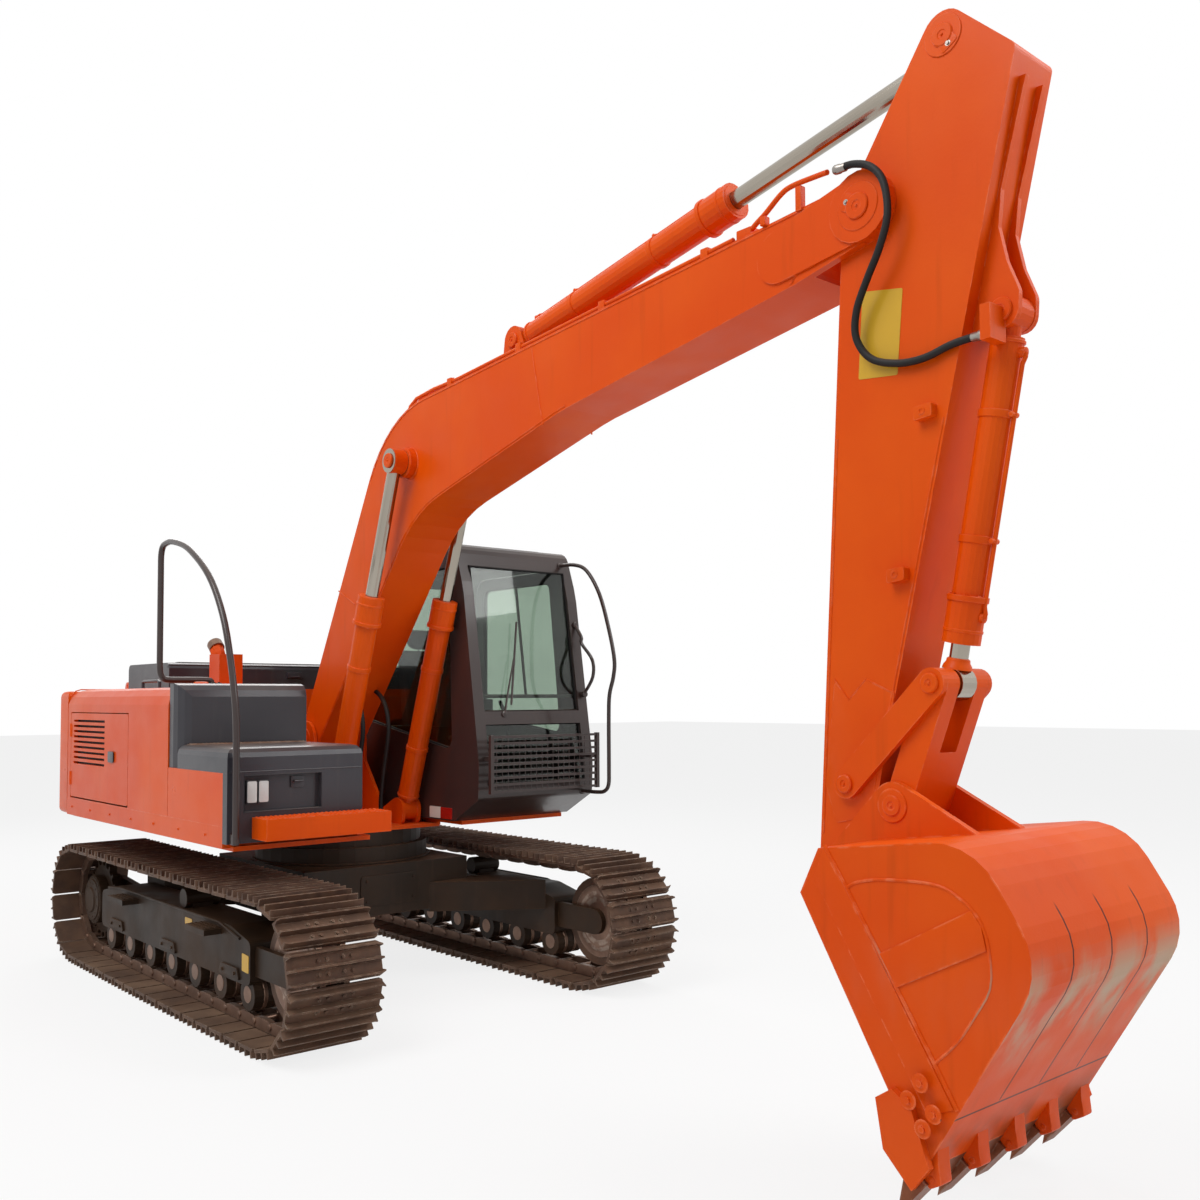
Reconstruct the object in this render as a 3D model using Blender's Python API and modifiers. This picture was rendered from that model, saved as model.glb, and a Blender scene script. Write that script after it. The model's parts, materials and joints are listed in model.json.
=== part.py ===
"""Crawler excavator of the 13 tonne class: undercarriage, turning house, boom, arm and bucket.

Metres, +Z up, +X towards the boom, +Y towards the cab side. Every place below is measured from the
swing axis on the ground. At the end the whole machine is moved along X, so that the origin lies under
the middle of its length.
"""
import math

import bmesh
import bpy
from mathutils import Matrix, Vector

# Clearances between pieces
SEAT_GAP = 0.0003
PIN_GAP = 0.0006
RUNNING_GAP = 0.0009
PANEL_GAP = 0.006
CUT_OVERRUN = 0.02
WELD_OVERLAP = 0.006
MOVING_GAP = 0.008

# Corner radii
SMALL_CORNER = 0.02
PLATE_CORNER = 0.04
WINDOW_CORNER = 0.06
LARGE_CORNER = 0.10

# Facets of round forms
ROUND_SIDES = 20
RING_SIDES = 36
SMALL_SIDES = 16
CORNER_STEPS = 4
HULL_SAMPLES = 24
FLAT_TURN = 0.000002

# Tracks
TRACK_GAUGE = 1.99
SHOE_WIDTH = 0.50
SHOE_COUNT = 44
TUMBLER_SPAN = 2.88
TRACK_HEIGHT = 0.79
GROUSER_HEIGHT = 0.026
SHOE_THICKNESS = 0.028
CHAIN_DEPTH = 0.075
CHAIN_WIDTH = 0.17
END_SEGMENTS = 16
RUN_SAG = 0.004

# Columns: place along the shoe as a share of its pitch, height as a share of the grouser height
SHOE_PROFILE_shares = (
    (0.03, -0.35), (0.10, 0.95), (0.18, 0.0), (0.44, 0.0), (0.50, 1.0), (0.56, 0.0), (0.84, 0.0),
    (0.92, 0.95),
)

# Track frames, sprockets, idlers, rollers
TRACK_FRAME_WIDTH = 0.24
TRACK_FRAME_LOW = 0.27
TRACK_FRAME_TOP = 0.55
ROLLER_RADIUS = 0.085
ROLLER_WIDTH = 0.20
ROLLER_COUNT = 7
ROLLER_END_GAPS = 0.82
ROLLER_SPAN = TUMBLER_SPAN - ROLLER_END_GAPS
TRACK_FRAME_SLOPE = 0.25
TRACK_FRAME_DROP = 0.055
TOP_ROLLER_RADIUS = 0.055
TOP_ROLLER_X = 0.16
TOP_ROLLER_POST = 0.09
YOKE_PLATE = 0.035
YOKE_RADIUS = 0.075
YOKE_REACH = 0.34
YOKE_ROOT = 0.08
MOTOR_ARM_RADIUS = 0.144
MOTOR_ARM_ROOT_RADIUS = 0.11
MOTOR_ARM_REACH = 0.10
IDLER_WIDTH = 0.11
SPROCKET_TEETH = 21
SPROCKET_PLATE = 0.05
SPROCKET_TOOTH = 0.035
MOTOR_RADIUS = 0.16
MOTOR_WIDTH = 0.17
MOTOR_ARM_PLATE = 0.04
STEP_LENGTH = 0.26
STEP_DEPTH = 0.10
STEP_PLATE = 0.03
STEP_PLACES_X = (-0.62, 0.62)

# Centre frame and slewing ring
FRAME_HALF_LENGTH = 0.60
FRAME_HALF_WIDTH = 0.56
FRAME_BOTTOM = 0.44
FRAME_TOP = 0.74
LEG_REACH = 0.86
LEG_WIDTH = 0.30
LEG_TOP = 0.60
LEG_BOTTOM = 0.42
PEDESTAL_RADIUS = 0.54
PEDESTAL_TOP = 0.84
RING_RADIUS = 0.50
RING_BORE = 0.40
RING_TOP = 0.93

# House: deck, brackets, counterweight, covers
DECK_PLATE = 0.022
SKIRT_INSET = 0.045
DECK_FRONT = 1.055
DECK_NOSE = 0.50
DECK_NOSE_HALF_WIDTH = 0.42
SIDE_DECK_TOP = 0.9847
SIDE_DECK_PLATE = 0.025
DECK_WEB = 0.02
SKIRT_BOTTOM = 0.975
SKIRT_TOP = 1.085
SKIRT_PLATE = 0.05
HOUSE_HALF_WIDTH = 1.235
DECK_HALF_WIDTH = HOUSE_HALF_WIDTH - SKIRT_INSET
BRACKET_PLATE = 0.020
BRACKET_REAR = -0.60
BRACKET_ROUND_share = 0.95
BRACKET_FRONT = 0.17
BRACKET_BOSS = 0.13
BRACKET_HEEL = 0.156
BRACKET_TOE = 0.16
BRACKET_WEB = 0.03
BRACKET_WEB_INSET = 0.10
EAR_PLATE = 0.022
EAR_RADIUS = 0.075
EAR_TOE = 0.03
EAR_HEEL = 0.20
TAIL_RADIUS = 2.13
TAIL_FLANK = 0.2054
TAIL_FRONT = TAIL_FLANK - math.sqrt(TAIL_RADIUS ** 2 - HOUSE_HALF_WIDTH ** 2)
TAIL_CORNER = 0.28
TAIL_EDGE = 0.05
TAIL_FACETS = 6
TAIL_TOP = 1.80
TAIL_BOTTOM = 0.975
TAIL_SEAT_TOP = 1.12
TAIL_SEAT_PLATE = 0.009
COVER_TOP = 1.81
COVER_PLATE = 0.035
CAB_REAR = -0.56
COVER_SEAM = 0.01
COVER_REAR = TAIL_FRONT + COVER_SEAM
COVER_CAB_GAP = 0.06
COVER_STEP = CAB_REAR - COVER_CAB_GAP
COVER_FRONT = 0.27
COVER_INSIDE = -0.46
COVER_EDGE = 0.10
HOOD_REAR_BAND = 0.12
HOOD_REAR = COVER_REAR + HOOD_REAR_BAND
HOOD_FRONT_BAND = 0.10
HOOD_FRONT = COVER_STEP - HOOD_FRONT_BAND
HOOD_HALF_WIDTH = 0.84
HOOD_RISE = 0.17
HOOD_EDGE = 0.035
HOOD_PLATE = 0.03
HOOD_LIP = 0.03
DOOR_SEAM = -0.365
DOOR_REAR_BAND = 0.06
DOOR_REAR = COVER_REAR + DOOR_REAR_BAND
DOOR_PLATE = 0.03
DOOR_BOTTOM = 1.10
DOOR_TOP = 1.66
LEFT_DOOR_FRONT = -0.70
LOUVRE_REAR_BAND = 0.06
LOUVRE_REAR = DOOR_REAR + LOUVRE_REAR_BAND
LOUVRE_FRONT_BAND = 0.425
LOUVRE_FRONT = DOOR_SEAM - LOUVRE_FRONT_BAND
LOUVRE_LOW = 1.32
LOUVRE_TOP = 1.63
LOUVRE_COUNT = 9
LOUVRE_OPEN_share = 0.45
DOOR_HINGE_Z = (1.22, 1.54)
CAB_HINGE_Z = (1.30, 1.85, 2.35)
KNUCKLE_RADIUS = 0.009
KNUCKLE_LENGTH = 0.045
ENGINE_MARGIN = 0.15
ENGINE_WIDTH = 1.05
ENGINE_HEIGHT = 0.58
TANK_FRONT = 1.02
TANK_INSIDE = -0.46
TANK_TOP = 1.36
WALL_DEPTH = 0.13
WALL_TOP = 1.83
WALL_EDGE = 0.075
PANEL_FRONT = 1.075
PANEL_BOTTOM = 1.0
RECESS_DEPTH = 0.035
RECESS_INSET = 0.095
RECESS_OUTSIDE = RECESS_INSET - HOUSE_HALF_WIDTH
RECESS_INSIDE = -0.71
RECESS_LOW = 1.16
RECESS_TOP = 1.345
LAMP_WIDTH = 0.058
LAMP_LOW = 1.20
LAMP_TOP = 1.32
LID_TOP = 1.49
LID_EDGE = 0.05
LID_PIN_HEIGHT = 0.12
STEP_DECK_FRONT = 1.25
STEP_DECK_INSIDE = -0.38
STEP_DECK_INSET = 0.135
STEP_DECK_OUTSIDE = STEP_DECK_INSET - HOUSE_HALF_WIDTH
STEP_DECK_BOTTOM = 1.02
STEP_DECK_TOP = 1.13
RAIL_RADIUS = 0.0175
RAIL_BEND = 0.08
RAIL_INSET = 0.03
RAIL_Y = RAIL_INSET - HOUSE_HALF_WIDTH
RAIL_REACH = 0.305
RAIL_INSIDE_Y = RAIL_Y + RAIL_REACH
RAIL_FOOT_X = 1.115
RAIL_FOOT_Z = 1.0
RAIL_LIFT = 0.045
RAIL_PAD = 0.05
RAIL_TOP_Z = 2.64
RAIL_REAR_X = 0.05
# Columns: x, z of the hoop's corners between its foot and its rear leg
RAIL_CORNERS = ((RAIL_FOOT_X, 1.62), (1.03, 1.90), (0.93, 2.20), (0.72, 2.43), (0.42, 2.60),
                (0.16, RAIL_TOP_Z))
EXHAUST_X = -0.20
EXHAUST_Y = -0.70
EXHAUST_SIZE = 0.15
EXHAUST_TOP = 2.02
EXHAUST_PIPE = 0.045
EXHAUST_PIPE_BACK = 0.04
EXHAUST_PIPE_SWEEP = 0.06
EXHAUST_PIPE_RISE = 0.07

# Cab
CAB_RIGHT = 0.34
CAB_LEFT = HOUSE_HALF_WIDTH
CAB_FLOOR = 0.985
CAB_ROOF = 2.71
CAB_WALL = 0.045
CAB_CHIN_X = 0.78
CAB_CHIN_FRONT = 1.04
CAB_CHIN_TOP = 1.13
CAB_WAIST_X = 1.05
CAB_WAIST_Z = 1.34
CAB_BROW_X = 0.88
CAB_BROW_Z = 2.42
CAB_ROOF_FRONT = 0.78
CAB_CORNER = 0.10
CAB_FRONT_BEND = 0.30
CAB_BROW_BEND = 0.50
PILLAR = 0.075
GLASS = 0.008
DOOR_SILL = 1.09
CAB_DOOR_REAR = -0.20
CAB_DOOR_TOP = 2.60
CAB_DOOR_PLATE = 0.04
CAB_DOOR_NOSE = 0.88
CAB_DOOR_NOSE_TOP = 1.45
CAB_DOOR_TOP_FRONT = 0.73
CAB_DOOR_BEND = 0.20
CAB_DOOR_FRAME = 0.08
CAB_DOOR_SILL_REAR = 1.62
CAB_DOOR_SILL_FRONT = 1.50
CAB_DOOR_GLASS_FRONT = 0.76
CAB_DOOR_GLASS_BACK = 0.64
CAB_REAR_POST = 0.14
RIGHT_WINDOW_REAR = CAB_REAR + CAB_REAR_POST
RIGHT_WINDOW_SILL_REAR = 1.62
RIGHT_WINDOW_SILL_FRONT = 1.42
CAB_FRONT_POST = 0.12
RIGHT_WINDOW_FRONT = CAB_BROW_X - CAB_FRONT_POST
CAB_BROW_POST = 0.16
RIGHT_WINDOW_TOP_FRONT = CAB_BROW_X - CAB_BROW_POST
QUARTER_REAR_POST = 0.08
QUARTER_WINDOW_REAR = CAB_REAR + QUARTER_REAR_POST
CAB_DOOR_POST = 0.06
QUARTER_WINDOW_FRONT = CAB_DOOR_REAR - CAB_DOOR_POST
QUARTER_WINDOW_SILL = 1.70
WINDOW_SILL = 1.66
WINDOW_TOP = 2.56
LOWER_WINDOW_SILL = 1.22
LOWER_WINDOW_TOP = 1.58
REAR_WINDOW_SILL = 1.75
SEAT_WIDTH = 0.50
SEAT_X = 0.10
SEAT_HEIGHT = 1.48
SEAT_BASE = 0.40
SEAT_BASE_WIDTH = 0.35
SEAT_CUSHION = 0.12
SEAT_CUSHION_LENGTH = 0.52
SEAT_BACK = 0.11
SEAT_BACK_HEIGHT = 0.75
SEAT_BACK_LEAN = 0.14
CONSOLE_WIDTH = 0.14
CONSOLE_LENGTH = 0.60
CONSOLE_RISE = 0.08
CONSOLE_GAP = 0.0125
STICK_RADIUS = 0.022
STICK_RISE = 0.24
STICK_LEAN = 0.04
GUARD_BAR = 0.012
GUARD_RUNG = 0.0075
GUARD_RUNGS = 9
GUARD_AHEAD = 0.09
GUARD_INSIDE = 0.014
GUARD_LOW = 1.17
GUARD_TOP = 1.52
GUARD_ARM = 0.03
GUARD_ARM_Z = 1.36
MIRROR_TUBE = 0.0125
MIRROR_BEND = 0.05
MIRROR_INSET = 0.08
# Columns: x, z of the stay's corners from the roof to the chin
MIRROR_CORNERS = ((0.74, 2.62), (1.02, 2.60), (1.25, 2.38), (1.37, 1.98), (1.30, 1.76), (1.30, 1.16),
                  (0.98, 1.14))
LEVER_X = 0.62
LEVER_LEAN = 0.02
LEVER_GRIP = 0.12
LEVER_GRIP_LEAN = 0.08
LEVER_SPREAD = 0.09
LEVER_PEDAL = 0.08
LEVER_BASE = 0.05
LEVER_TOP = 1.72
LEVER_RADIUS = 0.013

# Work equipment: pins in the machine's side view
FOOT_X = -0.15
FOOT_Z = 1.47
BOOM_LENGTH = 4.86
BOOM_REST_DEG = 25.54
BOOM_HALF_WIDTH = 0.16
BOOM_FOOT_RADIUS = 0.115
BOOM_TIP_RADIUS = 0.135
BOOM_DOUBLER = 0.018
BOOM_SLOT_RADIUS = 0.31
BOOM_SHOULDER_RADIUS = 0.11
BOOM_RAM_BOSS_RADIUS = 0.085
BOOM_EAR_PLATE = 0.03
BOOM_EAR_RADIUS = 0.075
BOOM_EAR_ROOT_RADIUS = 0.084
BOOM_EAR_FRONT_RADIUS = 0.061
RAM_FOOT_X = 0.36
RAM_FOOT_Z = 1.04
RAM_SPREAD = 0.255
ARM_LENGTH = 2.52
ARM_REST_DEG = -93.75
BEAM_INSIDE_BOSS_share = 0.96
ARM_NOTCH_MARGIN_DEG = 1
ARM_NOTCH_RISE_DEG = -60
ARM_HALF_WIDTH = 0.125
ARM_PIVOT_RADIUS = 0.11
ARM_TIP_RADIUS = 0.095
ARM_EAR_RADIUS = 0.09
ARM_CORNER_RADIUS = 0.03
ARM_TIP_HALF_WIDTH = 0.13
ARM_LINK_BOSS_RADIUS = 0.06
ARM_SWING_LOW_DEG = -22.0
ARM_SWING_HIGH_DEG = 92.0
ARM_RAM_TURN_share = 0.04
ARM_FORK_STEPS = 6
ARM_FORK_REACH = 0.34
BUCKET_REACH = 1.0
BUCKET_REST_DEG = -60.0
BUCKET_HALF_WIDTH = 0.50
BUCKET_WALL = 0.024
BUCKET_EAR_PLATE = 0.028
BUCKET_EAR_RADIUS = 0.095
BUCKET_LINK_EAR_RADIUS = 0.0855
BUCKET_EAR_ROOT_RADIUS = 0.03
TOOTH_COUNT = 5
TOOTH_WIDTH = 0.085
TOOTH_LENGTH = 0.20
TOOTH_THICKNESS = 0.06
TOOTH_ROOT = 0.03
TOOTH_HEEL = 0.03
EDGE_LENGTH = 0.10
EDGE_TIP = 0.018
EDGE_HEEL = 0.035
CUTTER_PLATE = 0.0256

# Columns: along the pivot line and square to it, as shares of the member's length
BOOM_RAM_PIN_share = (0.3706, 0.1924)
BOOM_ARM_RAM_PIN_share = (0.5806, 0.2129)
BOOM_ARM_RAM_ROOT_share = (0.5716, 0.1579)
BOOM_ARM_RAM_FRONT_share = (0.5506, 0.1729)
BOOM_SHOULDER_share = (0.92, 0.022)
ARM_RAM_PIN_share = (-0.2159, 0.1210)
ARM_CORNER_share = (-0.160, 0.222)
ARM_BUCKET_RAM_PIN_share = (0.1846, 0.2161)
ARM_LINK_PIN_share = (0.8556, 0.0124)
LINK_KNEE_share = (0.6991, 0.1504)
BUCKET_LINK_PIN_share = (-0.1221, 0.3765)
BUCKET_EAR_ROOT_shares = ((0.06, 0.16), (0.12, 0.60))
BUCKET_LIP_shares = ((0.93, 0.25), (1.00, 0.12))

# Columns: along, across, corner radius, as shares of the boom's length
BOOM_OUTLINE_shares = (
    (-0.010, 0.021, 0.0), (0.351, 0.276, 0.155), (0.985, 0.030, 0.0), (0.990, -0.026, 0.0),
    (0.9193, -0.0091, 0.05), (0.629, 0.0788, 0.20), (0.3545, 0.1338, 0.166), (0.010, -0.0215, 0.0),
)

# Columns: along, across, corner radius, as shares of the arm's length
ARM_NECK_shares = (
    (-0.13, 0.150, 0.0), (-0.13, 0.2385, 0.0), (0.07, 0.1975, 0.16), (0.162, 0.2415, 0.022),
    (0.2095, 0.2415, 0.022), (0.2075, 0.160, 0.0), (0.198, 0.120, 0.0),
)

# Columns: along, across, corner radius, as shares of the bucket's reach
BUCKET_WRAPPER_shares = (
    (-0.044, 0.255, 0.0), (0.188, 0.81, 0.24), (0.612, 0.825, 0.22), (1.00, 0.12, 0.0),
)
BUCKET_FRONT_shares = ((0.055, 0.105),)
BUCKET_MOUTH_shares = ((0.98, 0.02), (0.115, 0.02), (0.115, 0.17), (0.03, 0.30))
CUTTER_shares = ((0.745, 0.150), (0.750, 0.075), (0.90, 0.020), (1.04, 0.060), (1.00, 0.160), (0.82, 0.190))

# Rams. Columns: barrel, head, rod and eye radius, eye half width
RAM_SIZES = {
    "boom": (0.065, 0.0775, 0.0375, 0.070, 0.045),
    "arm": (0.070, 0.082, 0.040, 0.075, 0.045),
    "bucket": (0.058, 0.068, 0.034, 0.062, 0.045),
}
# Columns: space left at full retraction, travel in, travel out, as shares of the distance between pins
RAM_TRAVEL_shares = {
    "boom": (0.0040, 0.3315, 0.1540),
    "arm": (0.0850, 0.3105, 0.0745),
    "bucket": (0.0400, 0.0240, 0.7300),
}
RAM_EYE_ROOT_share = 0.4
RAM_HEAD_LENGTH = 0.17
RAM_BORE_GAP = 0.0006
RAM_START = 0.084
RAM_END_PLATE = 0.018
RAM_NECK_GAP = 0.003
LINK_PLATE = 0.026
LINK_RADIUS = 0.055
LINK_FORK_DEPTH = 0.27
LINK_SLOT_HALF_WIDTH = 0.0525
LINK_SLOT_RADIUS = 0.0715
LINK_SLOT_BEYOND = 0.12

# Hoses: x, y, z of the machine
HOSE_RADIUS = 0.014
ARM_HOSE_ROUTE = (
    (4.16, -0.199, 3.7245), (4.24, -0.205, 3.715), (4.32, -0.207, 3.675), (4.372, -0.207, 3.60),
    (4.385, -0.205, 3.48), (4.345, -0.20, 3.37), (4.28, -0.19, 3.27), (4.225, -0.18, 3.17),
    (4.215, -0.17, 3.07), (4.27, -0.155, 2.985), (4.38, -0.148, 2.945), (4.49, -0.147, 2.94),
    (4.59, -0.142, 2.963), (4.66, -0.14, 2.97), (4.72, -0.14, 2.97),
)
HOSE_CLIP = 0.022
HOSE_CLIP_REACH = 0.04
HOSE_CLIP_RISE = 0.10
BOOM_HOSE_Y = 0.09
# Columns: x, z of the hose that rises from the deck to the boom's underside
BOOM_HOSE_ROUTE = (
    (0.335, 1.02), (0.335, 1.06), (0.335, 1.10), (0.345, 1.18), (0.365, 1.28), (0.40, 1.42), (0.425, 1.55),
    (0.40, 1.67), (0.335, 1.75),
    (0.25, 1.795), (0.205, 1.815),
)
HOSE_PORT = 0.02

MATERIALS = {
    "orange_paint": ((0.80, 0.16, 0.03), 0.42, 0.0),
    "dark_frame_paint": ((0.035, 0.028, 0.024), 0.55, 0.0),
    "track_steel": ((0.16, 0.10, 0.06), 0.62, 0.8),
    "cab_paint": ((0.045, 0.038, 0.036), 0.45, 0.0),
    "cover_paint": ((0.035, 0.038, 0.046), 0.50, 0.0),
    "chrome_rod": ((0.62, 0.60, 0.57), 0.18, 1.0),
    "glass": ((0.42, 0.52, 0.55), 0.05, 0.0),
    "seat_cloth": ((0.05, 0.05, 0.055), 0.85, 0.0),
    "hose_rubber": ((0.02, 0.02, 0.02), 0.60, 0.0),
    "engine_iron": ((0.12, 0.12, 0.13), 0.60, 0.5),
    "tooth_steel": ((0.20, 0.14, 0.10), 0.55, 0.7),
}


# Helpers: collections, materials and bodies

def clear_scene():
    for thing in list(bpy.data.objects):
        bpy.data.objects.remove(thing, do_unlink=True)


def make_collection(name):
    group = bpy.data.collections.new(name)
    bpy.context.scene.collection.children.link(group)
    return group


def make_material(name):
    colour, roughness, metallic = MATERIALS[name]
    material = bpy.data.materials.new(name)
    material.use_nodes = True
    shader = material.node_tree.nodes["Principled BSDF"]
    shader.inputs["Base Color"].default_value = (*colour, 1.0)
    shader.inputs["Roughness"].default_value = roughness
    shader.inputs["Metallic"].default_value = metallic
    return material


def new_object(name, mesh):
    piece = bpy.data.objects.new(name, mesh)
    PARTS.objects.link(piece)
    return piece


def make_body(name, place, parent):
    """An empty on a body's joint axis, to which the body's pieces are parented."""
    holder = bpy.data.objects.new(name, None)
    PARTS.objects.link(holder)
    holder.parent = parent
    holder.location = Vector(place) - (Vector(parent["place"]) if parent else Vector((0, 0, 0)))
    holder["place"] = Vector(place)
    return holder


def finish(piece, name, material, body):
    """Names a piece, gives it its material and hangs it on its body without moving it."""
    piece.name = name
    piece.data.name = name
    piece.data.materials.clear()
    piece.data.materials.append(SHADES[material])
    piece.data.transform(Matrix.Translation(-Vector(body["place"])))
    piece.parent = body
    piece.data.shade_smooth()
    piece.data.set_sharp_from_angle(angle=math.radians(35))
    return piece


# Helpers: outlines

def fillet(points, closed=True, steps=CORNER_STEPS):
    """Rounds the corners of a polygon; each point is (a, b, radius)."""
    rounded = []
    count = len(points)
    for index, (a, b, radius) in enumerate(points):
        end = not closed and index in (0, count - 1)
        if radius <= 0 or end:
            rounded.append((a, b))
            continue
        corner = Vector((a, b))
        before = (Vector(points[index - 1][:2]) - corner).normalized()
        after = (Vector(points[(index + 1) % count][:2]) - corner).normalized()
        half = before.angle(after) / 2
        start = corner + before * (radius / math.tan(half))
        centre = corner + (before + after).normalized() * (radius / math.sin(half))
        first = start - centre
        turn = math.pi - 2 * half
        sign = 1 if before.cross(after) < 0 else -1
        arc_steps = max(1, math.ceil(steps * turn / (math.pi / 2)))
        for step in range(arc_steps + 1):
            angle = sign * turn * step / arc_steps
            spoke = Matrix.Rotation(angle, 2) @ first
            rounded.append(tuple(centre + spoke))
    return rounded


def circle(a, b, radius, sides=ROUND_SIDES):
    return [(a + radius * math.cos(math.tau * step / sides), b + radius * math.sin(math.tau * step / sides))
            for step in range(sides)]


def hull(points):
    """The convex outline round a set of points."""
    ordered = sorted(set((round(a, 9), round(b, 9)) for a, b in points))

    def chain(sequence):
        path = []
        for point in sequence:
            while len(path) > 1 and turn_of(path[-2], path[-1], point) <= FLAT_TURN:
                path.pop()
            path.append(point)
        return path[:-1]

    return chain(ordered) + chain(reversed(ordered))


def turn_of(first, middle, last):
    return (middle[0] - first[0]) * (last[1] - first[1]) - (middle[1] - first[1]) * (last[0] - first[0])


def belt(*circles):
    """The outline of a belt laid round circles; each is (a, b, radius)."""
    points = []
    for a, b, radius in circles:
        points += circle(a, b, radius, HULL_SAMPLES)
    return hull(points)


def on_member(origin, degrees, length, share):
    """A point given as shares along and across a member, in the machine's side view."""
    angle = math.radians(degrees)
    along = Vector((math.cos(angle), math.sin(angle)))
    across = Vector((-math.sin(angle), math.cos(angle)))
    place = Vector(origin) + along * (length * share[0]) + across * (length * share[1])
    return tuple(place)


def member_outline(origin, degrees, length, shares):
    return [(*on_member(origin, degrees, length, row), length * row[2]) for row in shares]


def offset_path(points, distance):
    """Moves an open path sideways, to its left for a positive distance."""
    moved = []
    for index, point in enumerate(points):
        here = Vector(point)
        sides = []
        if index > 0:
            sides.append((here - Vector(points[index - 1])).normalized())
        if index < len(points) - 1:
            sides.append((Vector(points[index + 1]) - here).normalized())
        normals = [Vector((-side.y, side.x)) for side in sides]
        middle = sum(normals, Vector((0, 0))).normalized()
        moved.append(tuple(here + middle * (distance / middle.dot(normals[0]))))
    return moved


# Helpers: solids

def bake(piece):
    """Replaces an object's mesh by its evaluated mesh and drops its modifiers."""
    graph = bpy.context.evaluated_depsgraph_get()
    mesh = bpy.data.meshes.new_from_object(piece.evaluated_get(graph))
    piece.modifiers.clear()
    piece.data = mesh
    return piece


def mesh_object(name, builder):
    sheet = bmesh.new()
    builder(sheet)
    mesh = bpy.data.meshes.new(name)
    sheet.to_mesh(mesh)
    sheet.free()
    return new_object(name, mesh)


def box(low, high):
    """A box between two corners."""
    size = [b - a for a, b in zip(low, high)]
    middle = [(a + b) / 2 for a, b in zip(low, high)]
    matrix = Matrix.Translation(middle) @ Matrix.Diagonal((*size, 1))
    return mesh_object("box", lambda sheet: bmesh.ops.create_cube(sheet, size=1, matrix=matrix))


def rod(start, end, radius, sides=ROUND_SIDES, end_radius=None):
    """A round bar or cone between two points."""
    line = Vector(end) - Vector(start)
    turn = line.to_track_quat("Z", "X").to_matrix().to_4x4()
    matrix = Matrix.Translation((Vector(start) + Vector(end)) / 2) @ turn
    top = radius if end_radius is None else end_radius
    return mesh_object("rod", lambda sheet: bmesh.ops.create_cone(
        sheet, cap_ends=True, segments=sides, radius1=radius, radius2=top, depth=line.length, matrix=matrix))


def across(place, low, high, radius, sides=ROUND_SIDES):
    """A round bar along Y at a point (x, z) of the side view."""
    return rod((place[0], low, place[1]), (place[0], high, place[1]), radius, sides)


def plate(outline, low, high, plane="XZ", holes=()):
    """A flat outline given thickness: XZ lies between two Y places, XY between Z, YZ between X."""
    curve = bpy.data.curves.new("outline", "CURVE")
    curve.dimensions = "2D"
    curve.fill_mode = "BOTH"
    curve.extrude = (high - low) / 2
    for ring in (outline, *holes):
        spline = curve.splines.new("POLY")
        spline.points.add(len(ring) - 1)
        for point, (a, b) in zip(spline.points, ring):
            point.co = (a, b, 0, 1)
        spline.use_cyclic_u = True
    flat = bpy.data.objects.new("outline", curve)
    PARTS.objects.link(flat)
    graph = bpy.context.evaluated_depsgraph_get()
    mesh = bpy.data.meshes.new_from_object(flat.evaluated_get(graph))
    bpy.data.objects.remove(flat, do_unlink=True)
    middle = (low + high) / 2
    turns = {
        "XZ": Matrix.Translation((0, middle, 0)) @ Matrix.Rotation(math.radians(90), 4, "X"),
        "XY": Matrix.Translation((0, 0, middle)),
        "YZ": Matrix(((0, 0, 1, middle), (1, 0, 0, 0), (0, 1, 0, 0), (0, 0, 0, 1))),
    }
    mesh.transform(turns[plane])
    weld(mesh)
    return new_object("plate", mesh)


def weld(mesh):
    sheet = bmesh.new()
    sheet.from_mesh(mesh)
    bmesh.ops.remove_doubles(sheet, verts=sheet.verts, dist=0.00001)
    bmesh.ops.dissolve_limit(sheet, angle_limit=math.radians(0.5), edges=sheet.edges)
    bmesh.ops.recalc_face_normals(sheet, faces=sheet.faces)
    sheet.to_mesh(mesh)
    sheet.free()


def tube(points, radius, bend=0.0, sides=2):
    """A round tube along a path whose corners are bent to a radius."""
    path = bent_path([Vector(point) for point in points], bend)
    curve = bpy.data.curves.new("tube", "CURVE")
    curve.dimensions = "3D"
    curve.bevel_depth = radius
    curve.bevel_resolution = sides
    curve.use_fill_caps = True
    spline = curve.splines.new("POLY")
    spline.points.add(len(path) - 1)
    for point, place in zip(spline.points, path):
        point.co = (*place, 1)
    line = bpy.data.objects.new("tube", curve)
    PARTS.objects.link(line)
    graph = bpy.context.evaluated_depsgraph_get()
    mesh = bpy.data.meshes.new_from_object(line.evaluated_get(graph))
    bpy.data.objects.remove(line, do_unlink=True)
    weld(mesh)
    return new_object("tube", mesh)


def bent_path(points, bend, steps=CORNER_STEPS):
    path = [points[0]]
    for before, corner, after in zip(points, points[1:], points[2:]):
        back = (before - corner).normalized()
        ahead = (after - corner).normalized()
        half = back.angle(ahead) / 2
        if bend <= 0 or half > math.radians(88):
            path.append(corner)
            continue
        reach = bend / math.tan(half)
        centre = corner + (back + ahead).normalized() * (bend / math.sin(half))
        first = corner + back * reach - centre
        last = corner + ahead * reach - centre
        for step in range(steps + 1):
            path.append(centre + first.slerp(last, step / steps) * bend)
    path.append(points[-1])
    return path


def combine(base, others, operation):
    for other in others:
        modifier = base.modifiers.new(operation.lower(), "BOOLEAN")
        modifier.operation = operation
        modifier.solver = "EXACT"
        modifier.object = other
    bake(base)
    for other in others:
        bpy.data.objects.remove(other, do_unlink=True)
    return base


def fuse(*pieces):
    return combine(pieces[0], pieces[1:], "UNION")


def cut(base, *cutters):
    return combine(base, cutters, "DIFFERENCE")


def span(low, high, side):
    """A range of Y places, mirrored to the right side when side is -1."""
    return (low, high) if side > 0 else (-high, -low)


# Undercarriage

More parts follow.
